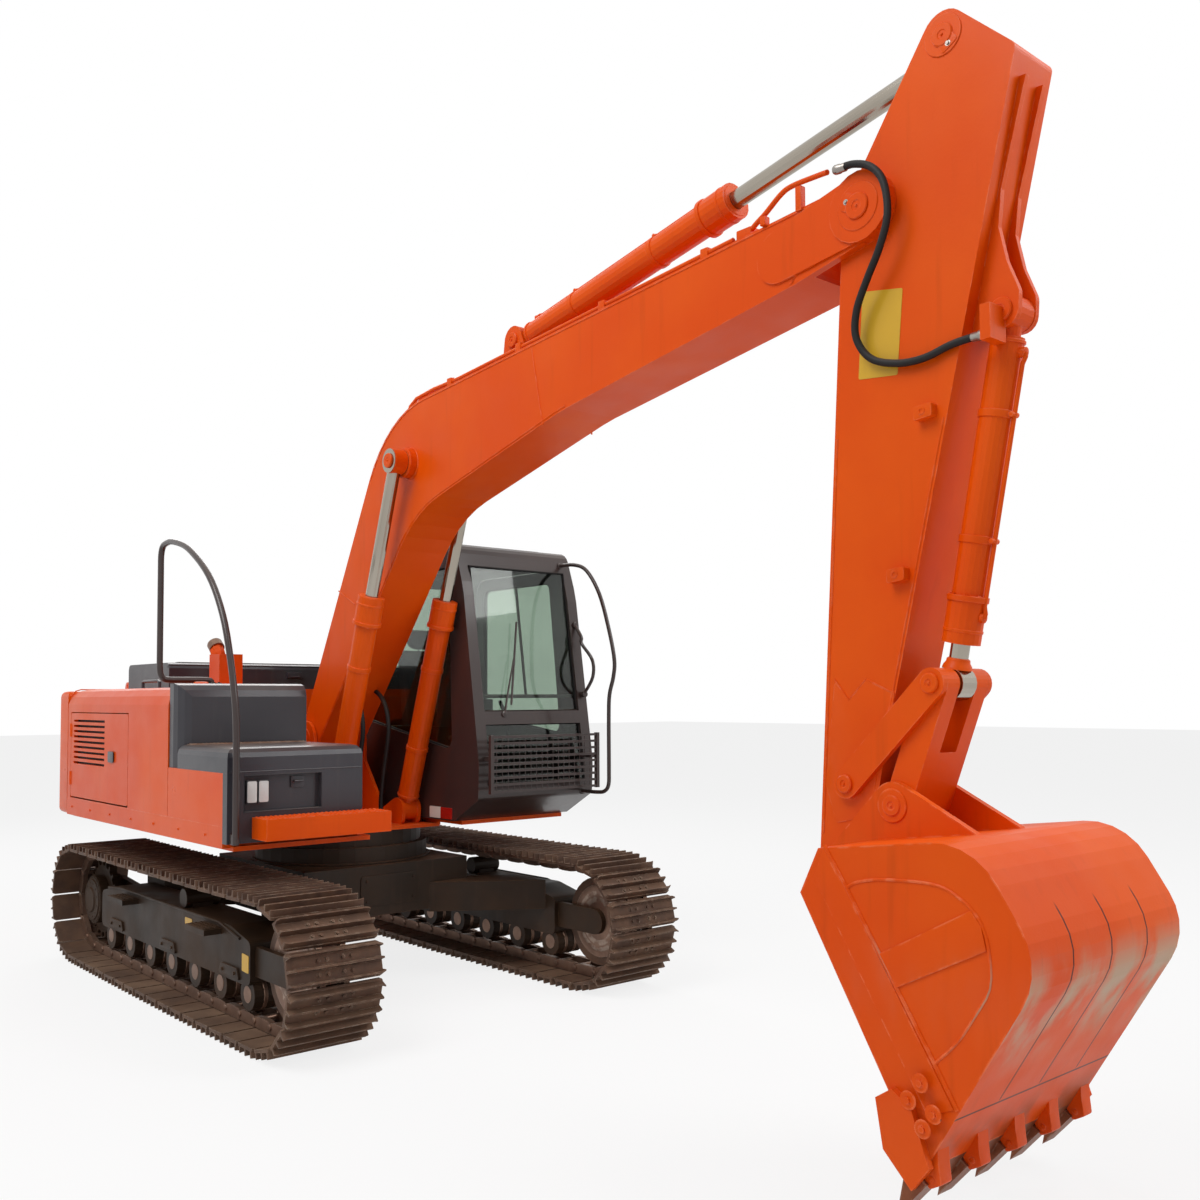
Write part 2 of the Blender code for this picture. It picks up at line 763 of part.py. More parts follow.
def shoe_seat_radius():
    """The radius of the shoes' underside round the end wheels."""
    return TRACK_HEIGHT / 2 - RUN_SAG - GROUSER_HEIGHT - SHOE_THICKNESS


def stadium(distance, height):
    """A point on the track's path: distance round the shoes' underside, height outwards of it."""
    radius = shoe_seat_radius()
    straight = TUMBLER_SPAN
    turn = math.pi * radius
    total = 2 * (straight + turn)
    distance %= total
    centre_z = TRACK_HEIGHT / 2
    reach = radius + height
    if distance < straight:
        x = distance - straight / 2
        return (x, centre_z - reach - run_sag(x))
    distance -= straight
    if distance < turn:
        angle = -math.pi / 2 + distance / radius
        return (straight / 2 + reach * math.cos(angle), centre_z + reach * math.sin(angle))
    distance -= turn
    if distance < straight:
        x = straight / 2 - distance
        return (x, centre_z + reach - run_sag(x))
    angle = math.pi / 2 + (distance - straight) / radius
    return (-straight / 2 + reach * math.cos(angle), centre_z + reach * math.sin(angle))


def run_sag(x):
    """How far a straight run of the track hangs below the line of its ends."""
    return RUN_SAG * (1 - (2 * x / TUMBLER_SPAN) ** 2)


def loop_length():
    return 2 * (TUMBLER_SPAN + math.pi * shoe_seat_radius())


def rounded_loop(height):
    """A smooth stadium at a height off the shoes' underside."""
    radius = shoe_seat_radius() + height
    points = []
    for side in (1, -1):
        for step in range(END_SEGMENTS + 1):
            angle = -math.pi / 2 + math.pi * step / END_SEGMENTS
            points.append((side * (TUMBLER_SPAN / 2 + radius * math.cos(angle)),
                           TRACK_HEIGHT / 2 + side * radius * math.sin(angle)))
    return points


def wheel_seat_radius():
    """The radius of the chain's inner face, on which idler, sprocket and rollers run."""
    return shoe_seat_radius() - CHAIN_DEPTH


def track(side, name):
    middle = side * TRACK_GAUGE / 2
    pitch = loop_length() / SHOE_COUNT
    outer = []
    for shoe in range(SHOE_COUNT):
        for along, rise in SHOE_PROFILE_shares:
            outer.append(stadium((shoe + along) * pitch, SHOE_THICKNESS + rise * GROUSER_HEIGHT))
    band = plate(outer, middle - SHOE_WIDTH / 2, middle + SHOE_WIDTH / 2, holes=(rounded_loop(0),))
    chain = plate(rounded_loop(SHOE_THICKNESS / 2), middle - CHAIN_WIDTH / 2, middle + CHAIN_WIDTH / 2,
                  holes=(rounded_loop(-CHAIN_DEPTH),))
    return finish(fuse(band, chain), name, "track_steel", UNDERCARRIAGE)


def track_frame(side, name):
    middle = side * TRACK_GAUGE / 2
    half = TRACK_FRAME_WIDTH / 2
    centre_z = TRACK_HEIGHT / 2
    seat = wheel_seat_radius()
    front = TUMBLER_SPAN / 2 - YOKE_REACH
    rear = -TUMBLER_SPAN / 2 + seat + PANEL_GAP * 4
    shoulder = TRACK_FRAME_TOP - TRACK_FRAME_DROP
    body = plate(fillet([(rear, TRACK_FRAME_LOW, PLATE_CORNER), (front, TRACK_FRAME_LOW, PLATE_CORNER),
                         (front, shoulder, PLATE_CORNER),
                         (front - TRACK_FRAME_SLOPE, TRACK_FRAME_TOP, LARGE_CORNER),
                         (rear + TRACK_FRAME_SLOPE, TRACK_FRAME_TOP, LARGE_CORNER),
                         (rear, shoulder, PLATE_CORNER)]),
                 middle - half, middle + half)
    pieces = []
    roller_z = centre_z - seat + SEAT_GAP + ROLLER_RADIUS
    for index in range(ROLLER_COUNT):
        x = -ROLLER_SPAN / 2 + ROLLER_SPAN * index / (ROLLER_COUNT - 1)
        pieces.append(across((x, roller_z), middle - ROLLER_WIDTH / 2, middle + ROLLER_WIDTH / 2,
                             ROLLER_RADIUS, SMALL_SIDES))
    top_z = centre_z + seat - SEAT_GAP - TOP_ROLLER_RADIUS
    pieces.append(across((TOP_ROLLER_X, top_z), middle - ROLLER_WIDTH / 2, middle + ROLLER_WIDTH / 2,
                         TOP_ROLLER_RADIUS, SMALL_SIDES))
    pieces.append(box((TOP_ROLLER_X - TOP_ROLLER_POST / 2, middle - half / 2, TRACK_FRAME_TOP - WELD_OVERLAP),
                      (TOP_ROLLER_X + TOP_ROLLER_POST / 2, middle + half / 2, top_z)))
    idler_x = TUMBLER_SPAN / 2
    cheek = IDLER_WIDTH / 2 + SEAT_GAP
    for turn in (1, -1):
        low, high = sorted((middle + turn * cheek, middle + turn * (cheek + YOKE_PLATE)))
        pieces.append(plate(belt((idler_x, centre_z, YOKE_RADIUS),
                                 (front - YOKE_ROOT, centre_z, YOKE_RADIUS)),
                            low, high))
    inner = side * (TRACK_GAUGE / 2 - half)
    arm_low, arm_high = sorted((inner, inner + side * MOTOR_ARM_PLATE))
    pieces.append(plate(belt((-idler_x, centre_z, MOTOR_ARM_RADIUS),
                             (rear + MOTOR_ARM_REACH, centre_z, MOTOR_ARM_ROOT_RADIUS)), arm_low, arm_high))
    outer = middle + side * half
    for x in STEP_PLACES_X:
        low, high = sorted((outer - side * WELD_OVERLAP, outer + side * STEP_DEPTH))
        pieces.append(box((x - STEP_LENGTH / 2, low, TRACK_FRAME_TOP - STEP_PLATE * 2),
                          (x + STEP_LENGTH / 2, high, TRACK_FRAME_TOP - STEP_PLATE)))
    return finish(fuse(body, *pieces), name, "dark_frame_paint", UNDERCARRIAGE)


def idler(side, name):
    middle = side * TRACK_GAUGE / 2
    place = (TUMBLER_SPAN / 2, TRACK_HEIGHT / 2)
    seat = wheel_seat_radius() - SEAT_GAP
    wheel = across(place, middle - IDLER_WIDTH / 2, middle + IDLER_WIDTH / 2, seat, 2 * END_SEGMENTS)
    return finish(wheel, name, "track_steel", UNDERCARRIAGE)


def sprocket(side, name):
    middle = side * TRACK_GAUGE / 2
    x, z = -TUMBLER_SPAN / 2, TRACK_HEIGHT / 2
    tip = wheel_seat_radius() * math.cos(math.pi / (2 * END_SEGMENTS)) - SEAT_GAP
    root = tip - SPROCKET_TOOTH
    outline = []
    for tooth in range(SPROCKET_TEETH):
        for share, radius in ((0.0, root), (0.30, root), (0.42, tip), (0.58, tip), (0.70, root)):
            angle = math.tau * (tooth + share) / SPROCKET_TEETH
            outline.append((x + radius * math.cos(angle), z + radius * math.sin(angle)))
    ring = plate(outline, middle - SPROCKET_PLATE / 2, middle + SPROCKET_PLATE / 2)
    inner = side * (TRACK_GAUGE / 2 - TRACK_FRAME_WIDTH / 2 + MOTOR_ARM_PLATE + SEAT_GAP)
    outer = side * (TRACK_GAUGE / 2 + MOTOR_WIDTH / 2)
    hub = across((x, z), min(inner, outer), max(inner, outer), MOTOR_RADIUS)
    return finish(fuse(ring, hub), name, "dark_frame_paint", UNDERCARRIAGE)


def centre_frame():
    reach = TRACK_GAUGE / 2 - TRACK_FRAME_WIDTH / 2 - SEAT_GAP
    middle = box((-FRAME_HALF_LENGTH, -FRAME_HALF_WIDTH, FRAME_BOTTOM),
                 (FRAME_HALF_LENGTH, FRAME_HALF_WIDTH, FRAME_TOP))
    legs = []
    for end in (1, -1):
        for side in (1, -1):
            root_x = end * (FRAME_HALF_LENGTH - LEG_WIDTH / 2)
            foot_x = end * LEG_REACH
            outline = [(root_x - LEG_WIDTH / 2, side * FRAME_HALF_WIDTH / 2),
                       (foot_x - LEG_WIDTH / 2, side * reach), (foot_x + LEG_WIDTH / 2, side * reach),
                       (root_x + LEG_WIDTH / 2, side * FRAME_HALF_WIDTH / 2)]
            legs.append(plate(outline, LEG_BOTTOM, LEG_TOP, plane="XY"))
    pedestal = rod((0, 0, FRAME_TOP - CUT_OVERRUN), (0, 0, PEDESTAL_TOP), PEDESTAL_RADIUS, RING_SIDES)
    return finish(fuse(middle, *legs, pedestal), "centre_frame", "dark_frame_paint", UNDERCARRIAGE)


def slewing_ring():
    low = PEDESTAL_TOP + SEAT_GAP
    ring = plate(circle(0, 0, RING_RADIUS, RING_SIDES), low, RING_TOP, plane="XY",
                 holes=(circle(0, 0, RING_BORE, RING_SIDES),))
    return finish(ring, "slewing_ring", "dark_frame_paint", UNDERCARRIAGE)


# House

def deck_top():
    return RING_TOP + RUNNING_GAP + DECK_PLATE


def main_frame():
    low = RING_TOP + RUNNING_GAP
    rear = TAIL_FRONT + SEAT_GAP
    nose = DECK_NOSE_HALF_WIDTH
    deck = box((rear, -nose, low), (DECK_NOSE, nose, deck_top()))
    pieces = []
    for side, front in ((1, CAB_CHIN_X), (-1, DECK_FRONT)):
        y_low, y_high = span(nose - DECK_WEB, DECK_HALF_WIDTH, side)
        pieces.append(box((rear, y_low, SIDE_DECK_TOP - SIDE_DECK_PLATE), (front, y_high, SIDE_DECK_TOP)))
        y_low, y_high = span(nose - DECK_WEB, nose + WELD_OVERLAP, side)
        pieces.append(box((rear, y_low, low + WELD_OVERLAP),
                          (DECK_NOSE, y_high, SIDE_DECK_TOP - WELD_OVERLAP)))
    pieces.append(box((rear, -nose + DECK_WEB, deck_top() - WELD_OVERLAP),
                      (rear + TAIL_SEAT_PLATE, nose - DECK_WEB, TAIL_SEAT_TOP)))
    foot_inside = BOOM_HALF_WIDTH + BOOM_DOUBLER / 2 + PIN_GAP
    root = deck_top() - WELD_OVERLAP
    boss = BRACKET_BOSS
    for side in (1, -1):
        y_low, y_high = span(foot_inside, foot_inside + BRACKET_PLATE, side)
        outline = fillet([(BRACKET_REAR, root, 0), (BRACKET_FRONT, root, 0),
                          (BRACKET_FRONT, root + BRACKET_TOE, PLATE_CORNER),
                          (FOOT_X + boss, FOOT_Z - boss, PLATE_CORNER),
                          (FOOT_X + boss, FOOT_Z + boss, boss * BRACKET_ROUND_share),
                          (FOOT_X - BRACKET_HEEL, FOOT_Z + boss, boss * BRACKET_ROUND_share),
                          (BRACKET_REAR, root + BRACKET_TOE, PLATE_CORNER)])
        pieces.append(plate(outline, y_low, y_high))
        for turn in (1, -1):
            face = RAM_SPREAD + turn * (RAM_SIZES["boom"][4] + PIN_GAP)
            low_y, high_y = span(*sorted((face, face + turn * EAR_PLATE)), side)
            pieces.append(plate(belt((RAM_FOOT_X, RAM_FOOT_Z, EAR_RADIUS),
                                     (RAM_FOOT_X + EAR_TOE, root + EAR_RADIUS / 2, EAR_RADIUS / 2),
                                     (RAM_FOOT_X - EAR_HEEL, root + EAR_RADIUS / 2, EAR_RADIUS / 2)), low_y,
                                     high_y))
    web = BRACKET_REAR + BRACKET_WEB_INSET
    pieces.append(box((web, -foot_inside - WELD_OVERLAP, root),
                      (web + BRACKET_WEB, foot_inside + WELD_OVERLAP, root + BRACKET_WEB_INSET)))
    foot = BOOM_HOSE_ROUTE[0]
    for side in (1, -1):
        y_low, y_high = span(BOOM_HOSE_Y - HOSE_PORT, BOOM_HOSE_Y + HOSE_PORT, side)
        pieces.append(box((foot[0] - HOSE_PORT, y_low, root),
                          (foot[0] + HOSE_PORT, y_high, foot[1] - SEAT_GAP)))
    return finish(fuse(deck, *pieces), "main_frame", "orange_paint", HOUSE)


def skirt(side, name):
    """The rounded band along a side of the deck."""
    front = TANK_FRONT if side < 0 else CAB_REAR - PANEL_GAP
    outer = side * HOUSE_HALF_WIDTH
    inner = side * (DECK_HALF_WIDTH + SEAT_GAP)
    low, high = sorted((inner, outer))
    band = box((TAIL_FRONT + PANEL_GAP, low, SKIRT_BOTTOM), (front, high, SKIRT_TOP))
    return finish(band, name, "orange_paint", HOUSE)


def counterweight():
    half = HOUSE_HALF_WIDTH
    side_x = -math.sqrt(TAIL_RADIUS ** 2 - half ** 2)
    outline = [(TAIL_FRONT, half, 0), (side_x, half, TAIL_CORNER)]
    for step in range(1, TAIL_FACETS):
        y = half - 2 * half * step / TAIL_FACETS
        outline.append((-math.sqrt(TAIL_RADIUS ** 2 - y ** 2), y, 0))
    outline += [(side_x, -half, TAIL_CORNER), (TAIL_FRONT, -half, 0)]
    block = plate(fillet(outline), TAIL_BOTTOM, TAIL_TOP, plane="XY")
    edge = block.modifiers.new("edge", "BEVEL")
    edge.width = TAIL_EDGE
    edge.segments = 2
    edge.limit_method = "ANGLE"
    edge.angle_limit = math.radians(60)
    bake(block)
    return finish(block, "counterweight", "orange_paint", HOUSE)


def body_cover():
    """The fixed cover round the engine: roof, wall ends and the narrow panel ahead of the right door."""
    half = HOUSE_HALF_WIDTH
    low = SKIRT_TOP + SEAT_GAP
    rear = COVER_REAR
    plan = [(rear, -half), (COVER_FRONT, -half), (COVER_FRONT, COVER_INSIDE), (COVER_STEP, COVER_INSIDE),
            (COVER_STEP, half), (rear, half)]
    shell = plate(plan, low, COVER_TOP, plane="XY")
    round_edges(shell, COVER_EDGE, lambda a, b: min(a.z, b.z) > COVER_TOP - CUT_OVERRUN
                and min(abs(a.y), abs(b.y)) > half - CUT_OVERRUN)
    wall = COVER_PLATE
    inside = [(rear + wall, -half + wall), (COVER_FRONT - wall, -half + wall),
              (COVER_FRONT - wall, COVER_INSIDE - wall), (COVER_STEP - wall, COVER_INSIDE - wall),
              (COVER_STEP - wall, half - wall), (rear + wall, half - wall)]
    hollow = plate(inside, low - CUT_OVERRUN, COVER_TOP - wall, plane="XY")
    right_door = box((DOOR_REAR, -half - CUT_OVERRUN, DOOR_BOTTOM - CUT_OVERRUN * 2),
                     (DOOR_SEAM, -half + wall + CUT_OVERRUN, DOOR_TOP))
    left_door = box((DOOR_REAR, half - wall - CUT_OVERRUN, DOOR_BOTTOM - CUT_OVERRUN * 2),
                    (LEFT_DOOR_FRONT, half + CUT_OVERRUN, DOOR_TOP))
    hatch = box((HOOD_REAR, -HOOD_HALF_WIDTH, COVER_TOP - wall - CUT_OVERRUN),
                (HOOD_FRONT, HOOD_HALF_WIDTH, COVER_TOP + CUT_OVERRUN))
    shell = cut(shell, hollow, right_door, left_door, hatch)
    shell, right_leaf = hang(shell, side_door(-1, DOOR_SEAM), RIGHT_DOOR_PIN, DOOR_HINGE_Z)
    shell, left_leaf = hang(shell, side_door(1, LEFT_DOOR_FRONT), LEFT_DOOR_PIN, DOOR_HINGE_Z)
    finish(right_leaf, "right_side_door", "orange_paint", RIGHT_DOOR)
    finish(left_leaf, "left_side_door", "orange_paint", LEFT_DOOR)
    return finish(shell, "body_cover", "orange_paint", HOUSE)


def knuckle(axis, low, high, radius):
    return rod((*axis, low), (*axis, high), radius, SMALL_SIDES)


def hang(frame, leaf, axis, heights):
    """Gives a fixed piece and its door the knuckles of vertical hinges, each clear of the other."""
    reach = KNUCKLE_RADIUS + RUNNING_GAP
    for z in heights:
        middle, top, bottom = z, z + KNUCKLE_LENGTH, z - KNUCKLE_LENGTH
        frame = cut(frame, knuckle(axis, middle - SEAT_GAP, top + SEAT_GAP, reach))
        leaf = cut(leaf, knuckle(axis, bottom - SEAT_GAP, middle + SEAT_GAP, reach))
        frame = fuse(frame, knuckle(axis, bottom, middle - SEAT_GAP, KNUCKLE_RADIUS))
        leaf = fuse(leaf, knuckle(axis, middle, top, KNUCKLE_RADIUS))
    return frame, leaf


def side_door(side, front):
    low, high = span(HOUSE_HALF_WIDTH - DOOR_PLATE, HOUSE_HALF_WIDTH, side)
    rear, nose, top = DOOR_REAR + PANEL_GAP, front - PANEL_GAP, DOOR_TOP - PANEL_GAP
    panel = plate(fillet([(rear, DOOR_BOTTOM, SMALL_CORNER), (nose, DOOR_BOTTOM, SMALL_CORNER),
                          (nose, top, SMALL_CORNER), (rear, top, SMALL_CORNER)]), low, high)
    return louvred(panel, side) if side < 0 else panel


def louvred(panel, side):
    """Opens a grille of level slots in a door."""
    pitch = (LOUVRE_TOP - LOUVRE_LOW) / LOUVRE_COUNT
    y_low, y_high = span(HOUSE_HALF_WIDTH - DOOR_PLATE - CUT_OVERRUN, HOUSE_HALF_WIDTH + CUT_OVERRUN, side)
    slots = []
    for index in range(LOUVRE_COUNT):
        z = LOUVRE_LOW + pitch * index
        slots.append(box((LOUVRE_REAR, y_low, z), (LOUVRE_FRONT, y_high, z + pitch * LOUVRE_OPEN_share)))
    return cut(panel, *slots)


def engine_hood():
    low = COVER_TOP + SEAT_GAP
    top = COVER_TOP + HOOD_RISE
    rear, front, half = HOOD_REAR - HOOD_LIP, HOOD_FRONT + HOOD_LIP, HOOD_HALF_WIDTH + HOOD_LIP
    outer = plate(fillet([(rear, low, 0), (front, low, 0), (front, top, HOOD_EDGE), (rear, top, HOOD_EDGE)],
                         steps=2),
                  -half, half)
    wall = HOOD_PLATE
    hollow = box((HOOD_REAR + wall, -HOOD_HALF_WIDTH + wall, low - CUT_OVERRUN),
                 (HOOD_FRONT - wall, HOOD_HALF_WIDTH - wall, top - wall))
    return finish(cut(outer, hollow), "engine_hood", "cover_paint", HOOD)


def engine_block():
    low = SIDE_DECK_TOP + SEAT_GAP
    block = box((COVER_REAR + ENGINE_MARGIN, -ENGINE_WIDTH / 2, low),
                (BRACKET_REAR - ENGINE_MARGIN, ENGINE_WIDTH / 2, low + ENGINE_HEIGHT))
    return finish(block, "engine_block", "engine_iron", HOUSE)


def fuel_tank():
    """The tank and tool box ahead of the body cover, on the right."""
    half = HOUSE_HALF_WIDTH
    block = box((COVER_FRONT + PANEL_GAP, -half, SKIRT_TOP + SEAT_GAP), (TANK_FRONT, TANK_INSIDE, TANK_TOP))
    foot = box((COVER_FRONT + PANEL_GAP, -DECK_HALF_WIDTH, SIDE_DECK_TOP + SEAT_GAP),
               (TANK_FRONT, TANK_INSIDE, SKIRT_TOP + WELD_OVERLAP))
    return finish(fuse(block, foot), "fuel_tank", "orange_paint", HOUSE)


def front_wall():
    """The black moulding that closes the front of the engine cover, on the tank's rear end."""
    rear = COVER_FRONT + PANEL_GAP
    front = rear + WALL_DEPTH
    side = -HOUSE_HALF_WIDTH + PANEL_GAP

    def seen(a, b):
        on_front = min(a.x, b.x) > front - CUT_OVERRUN
        on_top = min(a.z, b.z) > WALL_TOP - CUT_OVERRUN
        return on_front and (on_top or max(a.y, b.y) < side + CUT_OVERRUN)

    block = box((rear, side, TANK_TOP + SEAT_GAP), (front, TANK_INSIDE, WALL_TOP))
    return finish(round_edges(block, WALL_EDGE, seen), "front_wall", "cover_paint", HOUSE)


def toolbox_front():
    """The black front of the tool box, with the recess of its two work lamps."""
    rear = TANK_FRONT + SEAT_GAP
    block = box((rear, -HOUSE_HALF_WIDTH, PANEL_BOTTOM), (PANEL_FRONT, TANK_INSIDE, TANK_TOP))
    recess = box((PANEL_FRONT - RECESS_DEPTH, RECESS_OUTSIDE, RECESS_LOW),
                 (PANEL_FRONT + CUT_OVERRUN, RECESS_INSIDE, RECESS_TOP))
    block = cut(block, recess)
    lamps = []
    for place in range(2):
        y = RECESS_OUTSIDE + PANEL_GAP * 2 + place * (LAMP_WIDTH + PANEL_GAP)
        lamps.append(box((PANEL_FRONT - RECESS_DEPTH - WELD_OVERLAP, y, LAMP_LOW),
                         (PANEL_FRONT - PANEL_GAP, y + LAMP_WIDTH, LAMP_TOP)))
    return finish(fuse(block, *lamps), "toolbox_front", "cover_paint", HOUSE)


def round_edges(piece, width, wanted, segments=3):
    """Bevels the edges whose two ends satisfy a test."""
    weight = piece.data.attributes.new("bevel_weight_edge", "FLOAT", "EDGE")
    for line in piece.data.edges:
        ends = [piece.data.vertices[index].co for index in line.vertices]
        weight.data[line.index].value = 1.0 if wanted(*ends) else 0.0
    edge = piece.modifiers.new("edge", "BEVEL")
    edge.width = width
    edge.segments = segments
    edge.limit_method = "WEIGHT"
    bake(piece)
    piece.data.attributes.remove(piece.data.attributes["bevel_weight_edge"])
    return piece


def toolbox_lid():
    rear = COVER_FRONT + WALL_DEPTH + 2 * PANEL_GAP

    def seen(a, b):
        return min(a.z, b.z) > LID_TOP - CUT_OVERRUN and max(a.x, b.x) > rear + CUT_OVERRUN

    block = box((rear, -HOUSE_HALF_WIDTH, TANK_TOP + SEAT_GAP), (PANEL_FRONT, TANK_INSIDE, LID_TOP))
    return finish(round_edges(block, LID_EDGE, seen), "toolbox_lid", "cover_paint", LID)


def step_deck():
    block = box((PANEL_FRONT + SEAT_GAP, STEP_DECK_OUTSIDE, STEP_DECK_BOTTOM),
                (STEP_DECK_FRONT, STEP_DECK_INSIDE, STEP_DECK_TOP))
    return finish(block, "front_step", "orange_paint", HOUSE)


def hand_rail():
    """The hoop that stands ahead of the tool box and ends on the engine cover."""
    rest = COVER_TOP + SEAT_GAP
    path = [(RAIL_FOOT_X, RAIL_Y, RAIL_FOOT_Z)] + [(x, RAIL_Y, z) for x, z in RAIL_CORNERS]
    path += [(RAIL_REAR_X, RAIL_Y, RAIL_TOP_Z - RAIL_PAD), (RAIL_REAR_X, RAIL_Y, rest + RAIL_LIFT),
             (RAIL_REAR_X, RAIL_INSIDE_Y, rest + RAIL_LIFT)]
    pipe = tube(path, RAIL_RADIUS, RAIL_BEND)
    foot = box((PANEL_FRONT + SEAT_GAP, RAIL_Y - RAIL_RADIUS, RAIL_FOOT_Z),
               (RAIL_FOOT_X, RAIL_Y + RAIL_RADIUS, RAIL_FOOT_Z + RAIL_PAD))
    pad = box((RAIL_REAR_X - RAIL_PAD, RAIL_INSIDE_Y - RAIL_PAD, rest),
              (RAIL_REAR_X + RAIL_PAD, RAIL_INSIDE_Y + RAIL_PAD, rest + RAIL_LIFT - RAIL_RADIUS / 2))
    return finish(fuse(pipe, foot, pad), "hand_rail", "cover_paint", HOUSE)


def exhaust():
    low = COVER_TOP + SEAT_GAP
    half = EXHAUST_SIZE / 2
    block = box((EXHAUST_X - half, EXHAUST_Y - half, low), (EXHAUST_X + half, EXHAUST_Y + half, EXHAUST_TOP))
    back = EXHAUST_X - half - EXHAUST_PIPE_BACK
    pipe = tube([(back, EXHAUST_Y, low), (back, EXHAUST_Y, EXHAUST_TOP),
                 (back - EXHAUST_PIPE_SWEEP, EXHAUST_Y, EXHAUST_TOP + EXHAUST_PIPE_RISE)],
                EXHAUST_PIPE, EXHAUST_PIPE_BACK)
    return finish(fuse(block, pipe), "exhaust", "orange_paint", HOUSE)


# Cab

def cab_profile(inset=0.0):
    """The cab's side outline, all walls moved in by an inset."""
    corner = CAB_CORNER - inset / 2
    return [(CAB_REAR + inset, CAB_FLOOR + inset, SMALL_CORNER),
            (CAB_CHIN_X - inset / 2, CAB_FLOOR + inset, PLATE_CORNER),
            (CAB_CHIN_FRONT - inset, CAB_CHIN_TOP + inset / 2, PLATE_CORNER),
            (CAB_WAIST_X - inset, CAB_WAIST_Z, CAB_FRONT_BEND),
            (CAB_BROW_X - inset, CAB_BROW_Z, CAB_BROW_BEND),
            (CAB_ROOF_FRONT - inset, CAB_ROOF - inset, corner), (CAB_REAR + inset, CAB_ROOF - inset, corner)]


def cab_front_x(z):
    """The outer face of the cab's front at a height."""
    low = (CAB_WAIST_X, CAB_WAIST_Z)
    high = (CAB_BROW_X, CAB_BROW_Z)
    return low[0] + (high[0] - low[0]) * (z - low[1]) / (high[1] - low[1])


def door_outline(gap):
    """The doorway on the cab's left side, in the side view, shrunk by a gap."""
    rear, sill, top = CAB_DOOR_REAR + gap, DOOR_SILL + gap, CAB_DOOR_TOP - gap
    return fillet([(rear, sill, WINDOW_CORNER), (CAB_DOOR_NOSE - gap, sill, LARGE_CORNER),
                   (CAB_DOOR_NOSE - gap, CAB_DOOR_NOSE_TOP, CAB_DOOR_BEND),
                   (CAB_DOOR_TOP_FRONT - gap, top, LARGE_CORNER), (rear, top, LARGE_CORNER)])


def cab_shell():
    outer = plate(fillet(cab_profile()), CAB_RIGHT, CAB_LEFT)
    inner = plate(fillet(cab_profile(CAB_WALL)), CAB_RIGHT + CAB_WALL, CAB_LEFT - CAB_WALL)
    pane_low, pane_high = CAB_RIGHT + PILLAR, CAB_LEFT - PILLAR
    behind = CAB_ROOF_FRONT - LARGE_CORNER
    ahead = CAB_WAIST_X + LARGE_CORNER
    front = box((behind, pane_low, WINDOW_SILL), (ahead, pane_high, WINDOW_TOP))
    lower = box((behind, pane_low, LOWER_WINDOW_SILL), (ahead, pane_high, LOWER_WINDOW_TOP))
    left_low, left_high = CAB_LEFT - CAB_WALL - CUT_OVERRUN, CAB_LEFT + CUT_OVERRUN
    doorway = plate(door_outline(0), left_low, left_high)
    side_window = plate(right_window_outline(0), CAB_RIGHT - CUT_OVERRUN, CAB_RIGHT + CAB_WALL + CUT_OVERRUN)
    quarter = plate(quarter_window_outline(0), left_low, left_high)
    back = box((CAB_REAR - CUT_OVERRUN, pane_low, REAR_WINDOW_SILL),
               (CAB_REAR + CAB_WALL + CUT_OVERRUN, pane_high, WINDOW_TOP))
    shell = cut(outer, inner, front, lower, doorway, side_window, quarter, back)
    shell, leaf = hang(shell, cab_door(), CAB_DOOR_PIN, CAB_HINGE_Z)
    finish(leaf, "cab_door", "cab_paint", CAB_DOOR)
    return finish(shell, "cab_shell", "cab_paint", HOUSE)


def right_window_outline(gap):
    rear, top = RIGHT_WINDOW_REAR + gap, WINDOW_TOP - gap
    return fillet([(rear, RIGHT_WINDOW_SILL_REAR + gap, WINDOW_CORNER),
                   (RIGHT_WINDOW_FRONT - gap, RIGHT_WINDOW_SILL_FRONT + gap, WINDOW_CORNER),
                   (RIGHT_WINDOW_TOP_FRONT - gap, top, WINDOW_CORNER), (rear, top, WINDOW_CORNER)])


def quarter_window_outline(gap):
    rear, front = QUARTER_WINDOW_REAR + gap, QUARTER_WINDOW_FRONT - gap
    sill, top = QUARTER_WINDOW_SILL + gap, WINDOW_TOP - gap
    return fillet([(rear, sill, PLATE_CORNER), (front, sill, PLATE_CORNER), (front, top, PLATE_CORNER),
                   (rear, top, PLATE_CORNER)])


def pane(outline, y_outer, side, name):
    low, high = sorted((y_outer, y_outer - side * GLASS))
    return finish(plate(outline, low, high), name, "glass", HOUSE)


def front_pane(low_z, high_z, name):
    """A windscreen pane that lies along the cab's leaning front."""
    gap = SEAT_GAP
    recess = CAB_WALL / 2
    low = (cab_front_x(low_z) - recess, low_z + gap)
    high = (cab_front_x(high_z) - recess, high_z - gap)
    outline = [low, high, (high[0] - GLASS, high[1]), (low[0] - GLASS, low[1])]
    sheet = plate(outline, CAB_RIGHT + PILLAR + gap, CAB_LEFT - PILLAR - gap)
    return finish(sheet, name, "glass", HOUSE)


def rear_pane():
    gap = SEAT_GAP
    sheet = box((CAB_REAR + CAB_WALL / 2, CAB_RIGHT + PILLAR + gap, REAR_WINDOW_SILL + gap),
                (CAB_REAR + CAB_WALL / 2 + GLASS, CAB_LEFT - PILLAR - gap, WINDOW_TOP - gap))
    return finish(sheet, "rear_window", "glass", HOUSE)


